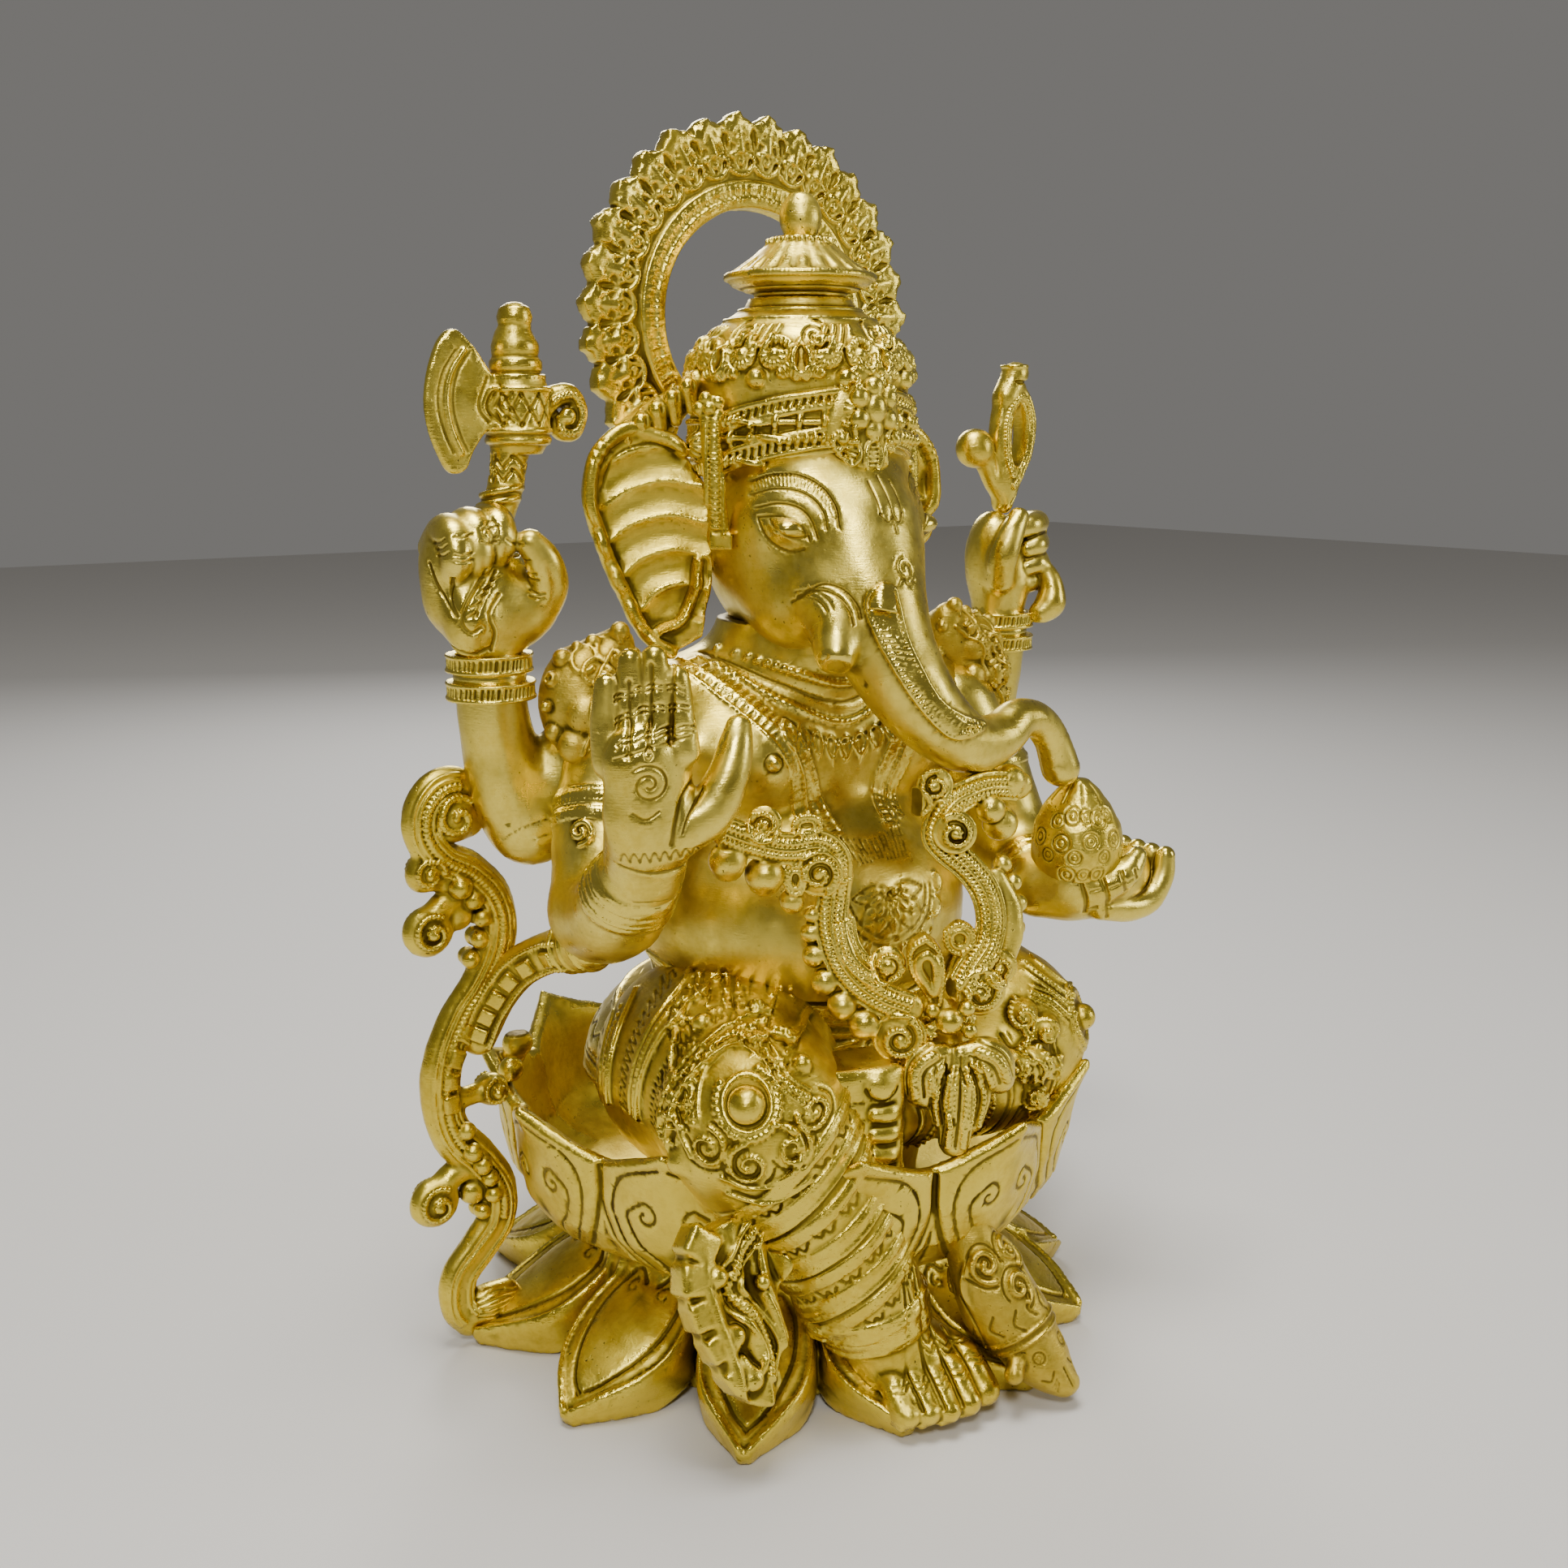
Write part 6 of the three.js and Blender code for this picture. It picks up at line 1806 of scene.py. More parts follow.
def left_thigh_bands(clay):
    """Ropes and engraved rings round the thigh."""
    thigh = Round(clay, (44, -16, 112), (62, -58, 112), UP, 56, 56)
    for along, kind in ((4, 1), (12, 0), (20, 1), (29, 0), (36, 1), (43, 0)):
        ring = [(a, along + 3 * math.sin(math.radians(2 * a))) for a in np.arange(-150, 151, 5)]
        if kind:
            thigh.rope(ring, 3.8, 1.9, slant=0.3)
            for step in (-2.9, 2.9):
                thigh.cord([(a, h + step) for a, h in ring], 1.0, r=0.75, blend=0.5)
        else:
            for step in (-1.4, 1.6):
                thigh.groove([(a, h + step) for a, h in ring], 1.0, r=0.7, depth=0.7, blend=0.8)
            for a in np.arange(-140, 141, 40):
                curl = onto(spiral(0, 0, 3.6, 1.3, 90, 1, 0.2), a, along, 32)
                thigh.scratch(curl, 0.6, 0.65)


def left_knee_scrolls(clay):
    """Rope scrolls below the knee, and two notched bands over it."""
    seen = slanted(clay, -1, 120, 150)
    for x, z, r, start, way in ((90.6, 111.8, 7.4, 100, 1), (83.6, 114, 5.4, 60, -1),
                                (97, 122, 5.2, 200, -1), (88, 128.4, 5.2, 120, 1), (99.5, 108, 4.6, 40, 1),
                                (92, 99, 5.0, 200, 1)):
        seen.dome(x, z, (r, r, r * 0.9), blend=2.5)
        seen.rope(spiral(x, z, r, 1.35, start, way, 0.2), 2.6, 1.5)
    for line in (((91.1, 141.7), (99.2, 136.5), (108.4, 129.3)), ((92.3, 134.4), (100.4, 130.2),
                                                                  (107.6, 123.0))):
        seen.ladder(smooth_path(line, 20), 3.0, 1.8, slant=0.2, height=0.9)


def left_shin_folds(clay):
    """Folds across the shin."""
    shin = straight(clay, 140, 90)
    for k in range(9):
        x = -10 + 8.4 * k
        wide = 12 + 1.2 * k
        line = smooth_path([(x - 2, 103 - wide), (x + 2.5, 103), (x - 1, 103 + wide)], 26)
        if k % 3 == 1:
            shin.rope(line, 3.4, 1.8, slant=0.3)
        else:
            shin.groove(line, 0.8, r=0.8, depth=0.8, blend=0.9)
            shin.groove(line + (2.6, 0), 0.8, r=0.55, depth=0.5)


def left_leg():
    """Folded leg, with its foot lying in front of the right shin."""
    clay = Clay((-52, -104, 68), (98, 2, 152), 0.6)
    clay.bar([(44, -16, 112), (58, -40, 114), (62, -58, 112)], 30, (34, 33.5, 31.5), blend=4)
    clay.bar([(59, -61, 106), (36, -73, 102), (10, -77, 103), (-14, -81, 105)], 40, (27, 20, 15, 14), blend=9)
    block = np.array([(0.96, -0.28, 0), (0.28, 0.96, 0), UP])
    clay.block((-31, -86, 108.5), (15.0, 11.5, 21), block, edge=3.6, blend=4)
    clay.blob((-27.5, -96, 122.6), (7.0, 5.5, 6.5), blend=1.5)
    for k in range(4):
        z = 113.0 - 7.6 * k
        clay.bar([(-19.5, -94, z), (-25, -98, z), (-31, -97.5, z + 0.4)], 16, (3.6, 3.8, 2.6), blend=0.8)
    sole = slanted(clay, -1, 150, 120)
    sole.groove(circle(33.0, 123.6, 5.6, 190, 350), 0.6, r=0.55, depth=0.6)
    for k in range(6):
        sole.groove([(17, 119 - 6 * k), (27, 117.5 - 6 * k)], 0.7, r=0.5, depth=0.5)
    left_thigh_bands(clay)
    left_knee_scrolls(clay)
    face = slanted(clay, 1, 140, 110)
    knee = (19.5, 120)
    face.dome(*knee, 5.2, blend=0.8)
    face.rope(circle(*knee, 9.5), 3.4, 1.8, True, slant=0.1)
    face.cord(circle(*knee, 12), 0.8, True, r=0.8, blend=0.5)
    left_shin_folds(clay)
    clay.blob(HIPS_AT, (80, 62, 40), cut=True, blend=2)
    clay.bar(RIGHT_SHIN[:3], 30, (30.4, 27, 22), cut=True)
    clay.bar(RIGHT_THIGH, 30, (34, 33.5, 31), cut=True)
    cast(clay, "left_leg", BRASS, uneven=0.4)


# ---------------------------------------------------------------- garland

def hung(x, z, depth):
    """Point in space from (sideways, height) seen from the right front, and depth towards the viewer."""
    return np.array([SLANT_COS * x - SLANT_SIN * depth, -SLANT_SIN * x - SLANT_COS * depth, z])


def garland_strip(clay, line, depths, width, thick=3.4):
    """Flat band with a notched row between two cords on each of its two tracks."""
    path = smooth_path(line, 90)
    depth = np.interp(np.linspace(0, 1, 90), np.linspace(0, 1, len(depths)), depths)
    spots = np.array([hung(x, z, d) for (x, z), d in zip(path, depth)])
    clay.tube(spots, width, blend=1.5, squash=SLANT_TOWARDS, flat=thick / width)
    seen = slanted(clay, -1, 150, 110)
    side = side_of(path)
    for track in (-0.44, 0.44):
        seen.rope(path + side * width * track, width * 0.62, 1.6, slant=0.15, height=1.2)
    for track in (-0.86, 0.0, 0.86):
        seen.cord(path + side * width * track, 0.9, r=0.7, sink=0.3, blend=0.4)


def garland_curl(clay, x, z, depth, r, start, way, ball=2.0):
    """Domed spiral with a rope that winds in to a small ball."""
    n = SLANT_TOWARDS
    turn = np.array([SLANT_ACROSS, UP, n])
    clay.blob(hung(x, z, depth), (r, r, 4.2), blend=1.2, turn=turn)
    seen = slanted(clay, -1, 150, 110)
    seen.rope(spiral(x, z, r * 0.84, 1.4, start, way, 0.2), min(3.0, r * 0.45), 1.5, height=1.3)
    seen.groove(spiral(x, z, r * 0.6, 1.1, start, way, 0.3), 0.7, r=0.6, depth=0.8)
    seen.cord(circle(x, z, r * 0.98), 0.8, True, r=0.8, sink=0.4, blend=0.5)
    clay.blob(hung(x, z, depth + 3.4), ball, blend=0.4)


def garland_loop(clay, outline, depth, r=1.0, fill=2.2):
    """Closed leaf: a thin plate with a rope along its edge and a swelling inside."""
    shape = smooth_path(list(outline) + [outline[0]], 50)[:-1]
    clay.plate(Outline(shape), hung(0, 0, depth), SLANT_ACROSS, UP, fill, edge=1.0, blend=0.8, reach=7)
    seen = slanted(clay, -1, 150, 110)
    middle = shape.mean(0)
    seen.rope(middle + (shape - middle) * 0.86, 2.2, 1.4, True, height=1.2)
    seen.cord(middle + (shape - middle) * 0.5, 0.7, True, r=r, sink=0.25, blend=0.5)


def right_garland():
    """The garland's half on the figure's right."""
    clay = Clay((-78, -99, 124), (2, -50, 222), 0.42)
    garland_strip(clay, [(-19, 210), (-8.2, 205.1), (2.2, 202.4), (11.7, 202.8), (17.0, 198.3), (17.4, 191)],
                  (92, 88, 84, 80, 79, 78), 5.4)
    garland_strip(clay, [(17.4, 191), (16.7, 184), (16.0, 177), (17.0, 169.6), (20.4, 161.3), (26.3, 154.6),
                         (34.4, 149.6), (42.2, 146.6)], (78, 78, 79, 81, 83, 84, 85, 85), 5.6)
    garland_strip(clay, [(20.4, 176), (22.4, 167), (27.4, 160.6), (34.0, 157.2)], (78, 79, 80, 80), 3.4, 2.8)
    for x, z, depth, r in ((-18.6, 199.8, 91, 6.6), (-6.5, 193.6, 86, 6.8), (2.6, 183.4, 82, 4.4),
                           (9.6, 178.2, 80, 3.1), (9.0, 171.7, 80, 3.7), (10.2, 164.0, 81, 4.2),
                           (13.8, 155.2, 83, 4.8), (19.8, 147.4, 85, 5.2), (27.2, 141.2, 86, 5.6)):
        clay.blob(hung(x, z, depth), (r, r, r * 0.96), blend=0.6)
        clay.blob(hung(x, z - 0.5 * r, depth - 2), (r * 0.8, r * 0.8, r * 0.7), blend=1.0)
    garland_curl(clay, 11.6, 193.6, 82, 7.6, 300, 1)
    garland_curl(clay, -6.5, 211.4, 86, 5.2, 200, -1, 1.7)
    garland_loop(clay, [(2.6, 208), (7.4, 206.6), (12.6, 208.6), (12.0, 212.6), (7.0, 213.4), (3.0, 211.4)],
                 82, 0.7)
    garland_loop(clay, [(1.0, 197.0), (6.2, 197.0), (7.6, 192), (5.8, 186.6), (2.4, 186.2), (0.0, 191.4)],
                 83, 0.8)
    garland_curl(clay, 35.4, 161.0, 80, 5.4, 280, 1, 2.6)
    garland_curl(clay, 39.4, 136.6, 86, 8.8, 60, -1, 2.2)
    cast(clay, "right_garland", BRIGHT, uneven=0.2)


def left_garland():
    """The garland's half on the figure's left."""
    clay = Clay((2, -110, 138), (80, -42, 228), 0.42)
    garland_strip(clay, [(84, 214), (72, 216), (62.1, 214.4), (56.0, 209.8), (52.6, 202.3), (56.4, 197),
                         (63.4, 191.4), (69, 184), (71.4, 175), (70.0, 166), (64.6, 158.7), (60.4, 152.1)],
                  (38, 46, 56, 60, 62, 64, 66, 68, 70, 72, 76, 79), 5.2)
    path = smooth_path([hung(73.4, 186, 64), hung(77.8, 176, 64), hung(78.6, 166, 66), hung(75.0, 155, 69)],
                       30)
    clay.tube(path, (4.2, 5.0, 5.0, 4.0), blend=1.2, squash=SLANT_TOWARDS, flat=0.7)
    for x, z, depth, r in ((80.6, 216.4, 40, 6.0), (77.0, 202.0, 46, 6.6), (72.6, 208.4, 52, 5.4),
                           (70.4, 222.6, 44, 4.4), (76.4, 190.6, 60, 3.4), (80.2, 184, 60, 3.2),
                           (82.0, 176.4, 60, 3.4), (81.4, 168, 62, 3.6)):
        clay.blob(hung(x, z, depth), (r, r, r * 0.96), blend=0.6)
    garland_curl(clay, 58.6, 204.0, 68, 7.0, 120, -1)
    garland_curl(clay, 52.0, 219.0, 60, 5.6, 90, 1)
    garland_curl(clay, 67.4, 149.8, 76, 8.2, 60, -1)
    garland_curl(clay, 74.8, 157.0, 70, 5.4, 120, 1, 1.7)
    garland_loop(clay, [(38.4, 214.6), (42.4, 218.8), (48.4, 217.8), (51.0, 213.0), (47.6, 208.8),
                        (41.6, 209.6)], 64, 0.8)
    garland_loop(clay, [(54.6, 170.6), (59.6, 174.2), (65.0, 171.6), (65.2, 165.6), (59.8, 162.2),
                        (55.4, 165.4)], 74, 1.0)
    cast(clay, "left_garland", BRIGHT, uneven=0.2)


def garland_rosette():
    """Leaf and bead ring where the two halves of the garland meet."""
    clay = Clay((-12, -108, 126), (20, -74, 174), 0.42)
    clay.turn([(0, 129.5), (7, 129.5), (9.4, 132), (9.8, 138), (9.0, 144), (5.4, 147.4), (0, 148)],
              at=(4, -91))
    garland_loop(clay, [(48.0, 171.4), (53.2, 166.4), (54.8, 157), (54.4, 149), (52.6, 143.6),
                        (47.8, 150.5), (42.4, 160), (42.6, 167.6)], 79, 1.7, 3.0)
    for x, z, r in ((56.4, 141.6, 4.8), (50.6, 145.6, 2.6), (49.6, 138.4, 2.4), (62.4, 146.2, 2.8),
                    (63.2, 138.4, 2.8)):
        clay.blob(hung(x, z, 85), (r, r, r), blend=0.6)
    around = upright(clay, (4, -91), FRONT, 18, 18)
    for a in (-70, 20, 65, 110, 160, 205, 250):
        around.rope(onto(spiral(0, 0, 4.4, 1.5, 90, 1 if a % 2 else -1, 0.15), a, 139, 10.5), 2.2, 1.3)
    for a in np.arange(-180, 180, 24):
        clay.blob(polar(a, 7.8, 0) + (4, -91, 131.4), 2.4, blend=0.5)
    cast(clay, "garland_rosette", BRIGHT, uneven=0.2)


def garland_tassel():
    """Hanging tassel of plump leaves."""
    clay = Clay((-22, -122, 84), (30, -82, 134), 0.42)
    clay.blob(hung(57, 128, 84), (8, 5.5, 5), blend=1)
    bulbs = (((54, 131), (47.4, 126.4), (47.6, 117.4), 8.0), ((60, 131), (59.6, 114), (58.6, 99), 6.8),
             ((63, 131), (70.6, 128), (73.6, 121), 7.4), ((55, 128), (53.4, 116), (54.6, 107), 5.0),
             ((63, 128), (66.4, 117), (65.0, 106), 4.8))
    seen = slanted(clay, -1, 150, 110)
    for top, middle, low, r in bulbs:
        line = smooth_path([top, middle, low], 26)
        spots = np.array([hung(x, z, 87 - 0.25 * max(x - 60, 0)) for x, z in line])
        clay.tube(spots, (r * 0.5, r * 0.9, r, r * 0.8), blend=1.0)
    for top, middle, low, r in bulbs:
        line = smooth_path([top, middle, low], 30)
        side = side_of(line)
        seen.groove(line, 0.7, r=0.6, depth=0.7)
        for sign in (1, -1):
            seen.rope(line[4:] + side[4:] * sign * r * 0.38, r * 0.5, 1.8, slant=0.8 * sign, height=1.1)
            seen.groove(line + side * sign * r * 0.72, 0.7, r=0.55, depth=0.6)
    cast(clay, "garland_tassel", BRIGHT, uneven=0.2)


# ---------------------------------------------------------------- side scroll

SCROLL = [(-126, 20, 203.5), (-120.5, 21, 204.5), (-119.4, 21, 211), (-125, 21, 217.4), (-133, 21, 216.5),
          (-138.4, 21, 209.5), (-138.2, 21, 200.5), (-132, 21.5, 192), (-122, 22, 186), (-113.5, 23, 177),
          (-110, 24, 166), (-111.8, 24.5, 154), (-117.5, 25.5, 142), (-125.5, 26.5, 131), (-131.5, 27, 117),
          (-133, 28, 101), (-129.5, 28, 86), (-119, 29, 73), (-111.5, 30, 60), (-112, 30, 47),
          (-120, 30, 37), (-128, 30, 28), (-129, 30, 17), (-124, 30, 9)]


def scroll_face(clay, path, flip):
    """Rope, cords, curls, beads and blocks on the front (flip 1) or the back (flip -1) of the strut."""
    face = Facing(clay, (0, 24, 0), (flip, 0, 0), UP, back=22, reach=40)
    mirror = (flip, 1)
    line = path[30:, [0, 2]]
    side = side_of(line)
    face.rope(even(line[:150], 1.0) * mirror, 3.4, 1.75, slant=0.35 * flip)
    for step in (-4.4, -2.6, 2.6, 4.4):
        face.cord((line[:186] + side[:186] * step) * mirror, 0.9, r=0.75, blend=0.5)
    top = spiral(-128, 207, 8.0, 1.35, 40, 1, 0.15)
    face.rope(top * mirror, 2.8, 1.6)
    for x, z, r, start in ((-138, 187.6, 5.8, 0), (-137.5, 166, 7.0, 60), (-137, 60, 7.2, 60),
                           (-113, 99.6, 4.8, 90)):
        face.rope(spiral(x, z, r, 1.4, start, 1, 0.2) * mirror, 2.4, 1.5)
        face.dome(x * flip, z, 2.0)
    for x, z, r in ((-126.8, 181.6, 4.4), (-121, 176, 3.8), (-117, 168.4, 3.6), (-117.6, 160, 3.6),
                    (-120.4, 152.4, 3.6), (-124.4, 146.6, 3.6), (-128, 141, 3.2), (-126, 88.4, 3.4),
                    (-124.6, 80, 3.6), (-120.2, 73.6, 3.6), (-117, 67, 3.4), (-115.4, 59.8, 3.4),
                    (-118, 52.4, 3.4), (-125.4, 45, 3.2), (-132, 41, 3.0)):
        face.dome(x * flip, z, r, blend=0.4, lift=0.6)
    for x, z, turn in ((-118.6, 131.4, 45), (-124.4, 125.2, 52), (-129.4, 117.2, 64), (-131.2, 108.6, 82),
                       (-132, 100.4, 92)):
        a = math.radians(turn)
        found = face.spot(x * flip, z)
        if found:
            along = np.array([math.cos(a), 0, math.sin(a)])
            across = np.array([-math.sin(a), 0, math.cos(a)])
            clay.block(found[0], (3.4, 2.9, 2.0), np.array([along, across, BACK]), edge=0.9, blend=0.3)
    for k in range(5):
        vein = smooth_path([(-124, 12 + 1.6 * k), (-116, 11.5 + 2.2 * k), (-107, 13 + 1.4 * k)], 20)
        face.groove(vein * mirror, 0.7, r=0.55, depth=0.55)


def right_side_scroll():
    """Tall scrolled strut beside the lotus."""
    clay = Clay((-150, 10, 3), (-96, 40, 228), 0.52)
    path = smooth_path(SCROLL, 220)
    clay.tube(path, (5.2, 6.4, 7.0, 7.0, 7.4, 7.6, 7.4, 7.8, 8.0, 7.6, 7.4, 7.0), squash=BACK, flat=0.72)
    clay.blob((-128, 19.5, 207), (9.4, 6.4, 9.4), blend=1.2)
    for x, y, z, rx, ry in ((-138, 22, 187.6, 7.4, 6.0), (-137.5, 22, 166, 9.5, 6.0),
                            (-126, 23, 170, 6.0, 5.0), (-137, 29, 60, 9.5, 6.0), (-113, 28, 99.6, 6.6, 6.0),
                            (-122, 29, 61, 5, 4.6)):
        clay.blob((x, y, z), (rx, ry, rx), blend=1.4)
    clay.tube([(-128, 22, 181), (-136, 22, 186)], 4.2, blend=1.4)
    clay.tube([(-129, 27, 99), (-116, 28, 99.6)], 4.0, blend=1.4)
    clay.bar([(-124, 23, 178), (-133, 22, 174), (-137, 22, 168)], 16, (4.4, 5), blend=1.6)
    clay.bar([(-121, 29, 72), (-130, 29, 69), (-136, 29, 63)], 16, (4.4, 5), blend=1.6)
    clay.blob((-117, 28, 14), (10, 7, 7.5), blend=2)
    clay.blob((-111, 28, 15.5), (6.5, 5.5, 6), blend=1.5)
    for flip in (1, -1):
        scroll_face(clay, path, flip)
    cast(clay, "right_side_scroll", BRASS, uneven=0.4)


def right_scroll_branch():
    """Branch from the strut to the elbow."""
    clay = Clay((-126, -30, 112), (-88, 34, 172), 0.48)
    path = smooth_path([(-119, 24, 122), (-114, 20, 136), (-106, 13, 150), (-97, -4, 160), (-95, -20, 165)],
                       60)
    clay.tube(path, (6.4, 7, 7.4, 7.6, 7.8), blend=1)
    clay.tube([path[46], path[59]], 9.2, blend=1)
    seen = slanted(clay, -1, 130, 120)
    line = np.stack([path[:, 0] * SLANT_COS - path[:, 1] * SLANT_SIN, path[:, 2]], 1)
    for k in range(6):
        found = seen.spot(*line[4 + 7 * k])
        if found:
            spot, normal = found
            along = unit(path[6 + 7 * k] - path[3 + 7 * k])
            across = np.cross(normal, along)
            clay.block(spot, (3.0, 3.0, 1.9), np.array([along, across, normal]), edge=0.8, blend=0.3)
    side = side_of(line)
    for sign in (1, -1):
        seen.rope(line[:44] + side[:44] * sign * 4.8, 2.2, 1.6)
    for k in (46, 52, 58):
        ring = unit(path[min(k + 1, 59)] - path[k - 1])
        a = unit(np.cross(ring, UP))
        b = np.cross(ring, a)
        clay.tube([path[k] + 9.2 * (math.cos(v) * a + math.sin(v) * b)
                   for v in np.linspace(0, 2 * math.pi, 30)], 1.0, blend=0.5)
    clay.bar([(-95, -24, 181), (-95, -28, 178), (-99, -44, 183)], 20, (17.8, 17.8, 17), cut=True)
    cast(clay, "right_scroll_branch", BRASS, uneven=0.35)


# ---------------------------------------------------------------- sash and mouse

def sash_end():
    """Pleated end of the sash beside the shin."""
    clay = Clay((-114, -116, 18), (-52, -74, 90), 0.5)
    top = np.array([0.0, -84.0, 84.0])
    across = np.array([1.0, 0.0, 0.0])
    down = unit((0.0, -0.36, -1.0))
    outline = smooth_path([(-62, 0), (-74, -1), (-86, 0), (-97, 4), (-103, 12), (-103, 24), (-99, 36),
                           (-95, 48), (-89, 58), (-80, 61), (-74, 56), (-74, 48), (-69, 42), (-70, 32),
                           (-66, 24), (-60, 16), (-58, 6), (-62, 0)], 130)

    def pleats(a, b):
        return 2.2 * np.sin((a + 70) * 0.6 + 1.3 * np.sin(b * 0.09)) * np.clip(b / 16, 0.25, 1.0)

    clay.plate(Outline(outline, margin=14), top, across, down, 4.2, edge=1.6, bend=pleats, reach=12)
    face = Facing(clay, top, -across, down, back=16, reach=36)
    flip = (-1, 1)
    ridge = smooth_path([(-70, 2), (-80, 10), (-88.6, 21), (-81, 32), (-77, 43), (-80, 52)], 60)
    face.rope(ridge * flip, 4.4, 1.9, slant=0.4, height=1.6)
    side = side_of(ridge)
    for step in (-3.4, 3.4):
        face.cord((ridge + side * step) * flip, 0.9, r=1.0, blend=0.6)
    for x in (-67, -74, -92):
        line = smooth_path([(x, 5), (x - 3, 18), (x + 2, 32), (x + 4, 46)], 40)
        face.groove(line * flip, 0.8, r=0.8, depth=0.7, blend=0.8)
    for x, b, r in ((-92.5, 16, 3.8), (-89, 36, 3.8), (-85, 51, 4.0), (-76, 22, 2.8)):
        face.dome(-x, b, r, lift=1.0)
    lugs = ((-94.6, 5, 40, 6.0), (-98.4, 15.5, 14, 6.0), (-97.8, 26.5, -8, 5.8), (-94.6, 37.6, -18, 5.4),
            (-90, 48.6, -30, 5.4))
    for x, b, turn, half in lugs:
        a = math.radians(turn)
        u = across * math.cos(a) + down * math.sin(a)
        v = -across * math.sin(a) + down * math.cos(a)
        clay.block(top + across * x + down * b, (half, half * 0.84, 5.4), np.array([u, v, np.cross(u, v)]),
                   edge=1.6, blend=1.8)
    clay.tube(RIGHT_SHIN[:3], (30.6, 27.6, 23.2), cut=True)
    cast(clay, "sash_end", BRASS, uneven=0.35)


def mouse():
    """Crouching mouse in front of the foot."""
    clay = Clay((-6, -138, 2), (46, -88, 74), 0.45)
    clay.bar([(8, -101, 62), (12, -106, 47), (19, -114, 31), (25, -123, 16), (29.5, -130, 8.5)], 50,
             (8.5, 11.5, 13.4, 10.6, 5.4), blend=2)
    clay.blob((15, -108, 38), (12.5, 12, 17), blend=6)
    clay.bar([(27, -128, 12), (30.5, -132, 9)], 6, (6.2, 4.0), blend=2)
    ear_plane = (unit((0.78, -0.5, 0.36)), unit((-0.4, 0.1, 0.91)))
    for at in ((22, -103, 47), (6, -112, 44)):
        ear_shape = Outline(smooth_path([(-5, -9), (2, -8), (6, 0), (5, 8), (-1, 12), (-6, 7), (-7, 0),
                                         (-5, -9)], 50)[:-1], margin=10)
        clay.plate(ear_shape, at, *ear_plane, 1.6, edge=1.0, blend=1.8, reach=6,
                   bend=lambda a, b: 0.05 * a * a)
    clay.tube([(31, -112, 22), (37, -113, 21)], (3.4, 3.8), blend=1.0)
    clay.blob((37.5, -113, 21), (2.2, 3.2, 3.2), cut=True)
    clay.tube([(13, -124, 20), (9, -127, 17)], (3.2, 3.4), blend=1.0)
    seen = slanted(clay, -1, 190, 120)
    turned = Round(clay, (8, -101, 62), (29, -130, 8), (0, -1, 0.3), 34, 34)
    for a, along, way in ((-34, 13, 1), (34, 12, -1), (0, 25, 1), (150, 16, -1), (-120, 22, 1)):
        turned.rope(onto(spiral(0, 0, 6.4, 1.4, 90, way, 0.15), a, along, 12), 2.4, 1.5)
        turned.scratch(onto(spiral(0, 0, 8.6, 0.8, 90, way, 0.8), a, along, 12), 0.5, 0.6)
    for k in range(9):
        a = -160 + 40 * k
        turned.scratch(onto(smooth_path([(-2, -4), (1.5, 0), (-1, 4)], 10), a, 33 + 2 * (k % 2), 12), 0.5,
                       0.55)
    for along in (40, 43.5):
        turned.cord(hoop(along), 1.0, True, r=0.8, blend=0.5)
    for a in (-42, 42):
        turned.scratch(onto(circle(0, 0, 2.2), a, 50, 10), 0.5, 0.55)
        turned.scratch(onto(circle(0, 0, 0.9), a, 50, 10), 0.4, 0.45)
        turned.scratch(smooth_path([(a * 0.7, 57), (a * 1.2, 60), (a * 1.6, 58)], 12), 0.5, 0.55)
        for k in range(3):
            turned.scratch([(a * 0.8, 60 + k), (a * 1.4, 62.5 + k * 1.3)], 0.35, 0.4)
    turned.scratch([(0, 58), (0, 66)], 0.45, 0.5)
    seen.groove(smooth_path([(62, 40), (68, 30), (72, 20)], 20), 0.7, r=0.6, depth=0.6)
    clay.bar([(13, -96, 64), (20, -98, 54), (26, -103, 44)], 20, (3.0, 3.8, 3.0), blend=1.4)
    cast(clay, "mouse", DULL, uneven=0.35)




# ---------------------------------------------------------------- stage, light and camera

FLOOR_HALF = 4.0                         # metres
FLOOR_ROUGHNESS = 0.75
PALE = (0.66, 0.64, 0.61, 1)
WORLD_STRENGTH = 0.27
CLIP_START = 0.01                        # metres

# name, place, aim and size in metres, watts, colour
LAMPS = (
    ("top", (-0.15, -0.1, 1.5), (0, 0, 0.2), (0.6, 0.6), 20, (1, 0.99, 0.96)),
    ("key", (-0.8, -1.1, 1.35), (0, 0, 0.25), (0.32, 0.32), 15, (1, 0.98, 0.95)),
    ("fill", (1.3, -1.1, 0.7), (0, 0, 0.2), (0.4, 0.8), 7, (1, 1, 1)),
    ("rim", (0.6, 1.3, 0.9), (0, 0, 0.25), (0.5, 0.5), 10, (1, 1, 1)),
)


def area_light(name, at, aim, size, power, colour):
    data = bpy.data.lights.new(name, "AREA")
    data.shape = "RECTANGLE"
    data.size, data.size_y = size
    data.energy = power
    data.color = colour
    lamp = bpy.data.objects.new(name, data)
    bpy.context.scene.collection.objects.link(lamp)
    lamp.location = at
    lamp.rotation_euler = (Vector(aim) - Vector(at)).to_track_quat("-Z", "Y").to_euler()


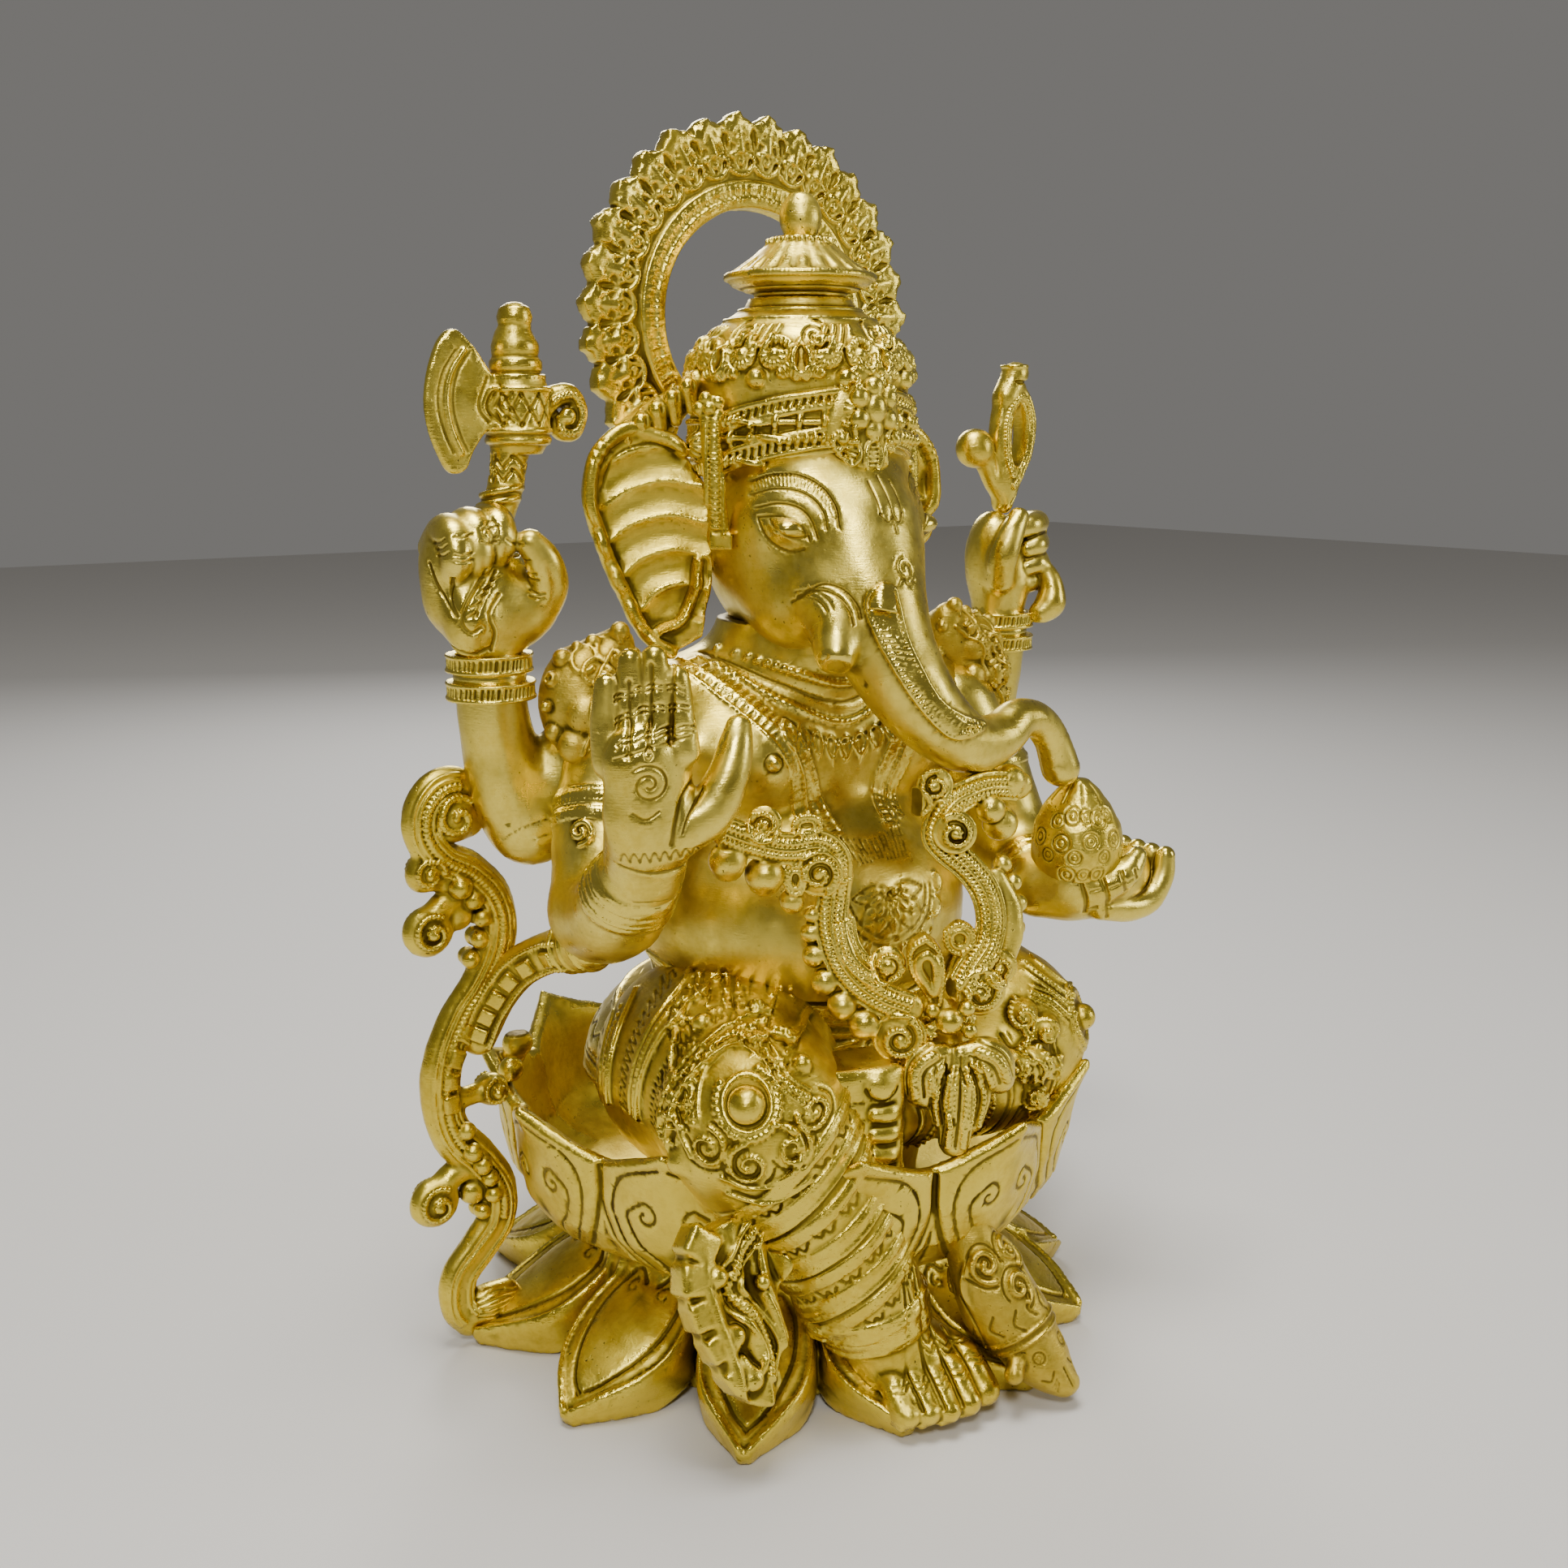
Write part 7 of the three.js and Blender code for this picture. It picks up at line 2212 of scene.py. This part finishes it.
def stage():
    """Pale floor, even grey surroundings and four soft lamps."""
    mesh = bpy.data.meshes.new("floor")
    s = FLOOR_HALF
    mesh.from_pydata([(-s, -s, 0), (s, -s, 0), (s, s, 0), (-s, s, 0)], [], [(0, 1, 2, 3)])
    floor = bpy.data.objects.new("floor", mesh)
    bpy.context.scene.collection.objects.link(floor)
    pale = bpy.data.materials.new("pale_floor")
    pale.use_nodes = True
    shader = pale.node_tree.nodes["Principled BSDF"]
    shader.inputs["Base Color"].default_value = PALE
    shader.inputs["Roughness"].default_value = FLOOR_ROUGHNESS
    mesh.materials.append(pale)
    world = bpy.data.worlds.new("studio")
    bpy.context.scene.world = world
    world.use_nodes = True
    back = world.node_tree.nodes["Background"]
    back.inputs["Color"].default_value = PALE
    back.inputs["Strength"].default_value = WORLD_STRENGTH
    for lamp in LAMPS:
        area_light(*lamp)


def camera():
    data = bpy.data.cameras.new("view")
    data.angle = math.radians(VIEW_ANGLE)
    data.clip_start = CLIP_START
    cam = bpy.data.objects.new("view", data)
    bpy.context.scene.collection.objects.link(cam)
    a, p = math.radians(VIEW_AZIMUTH), math.radians(VIEW_PITCH)
    cam.location = Vector((math.sin(a) * VIEW_DISTANCE, -math.cos(a) * VIEW_DISTANCE, VIEW_HEIGHT)) * MM
    ahead = Vector((-math.sin(a) * math.cos(p), math.cos(a) * math.cos(p), -math.sin(p)))
    cam.rotation_euler = ahead.to_track_quat("-Z", "Y").to_euler()
    bpy.context.scene.camera = cam


def build_castings():
    for build in (lower_lotus, upper_lotus, torso, head, crown, crown_cap, crown_finial, crown_crest, halo):
        build()
    for side, word in SIDES:
        ear(side, word + "_ear")
        ribbon(side, word + "_ear_ribbon")
        bracket(side, word + "_halo_bracket")
    for build in (right_rear_hand, left_rear_hand, right_front_arm, right_front_hand, left_front_arm,
                  left_front_hand, modak, axe, noose):
        build()
    for side, word in SIDES:
        rear_arm(side, word + "_rear_arm")
        bangle(side, word + "_rear_bangle_upper", 261.5, 14.6, 116)
        bangle(side, word + "_rear_bangle_lower", 252, 15, 115.6)
        shoulder_ornament(side, word + "_shoulder_ornament")
    for build in (right_leg, left_leg, right_garland, left_garland, garland_rosette, garland_tassel,
                  right_side_scroll, right_scroll_branch, sash_end, mouse):
        build()


def finish_plain_nodes():
    """The rod, plate, nuts, washers and screws keep their CAD meshes and get a metal."""
    for node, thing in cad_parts.items():
        if node not in done:
            steel = "rod" in node or "screw" in node or node == "base_plate"
            thing.data.materials.clear()
            thing.data.materials.append(STEEL if steel else BRASS)


stage()
camera()
build_castings()
finish_plain_nodes()
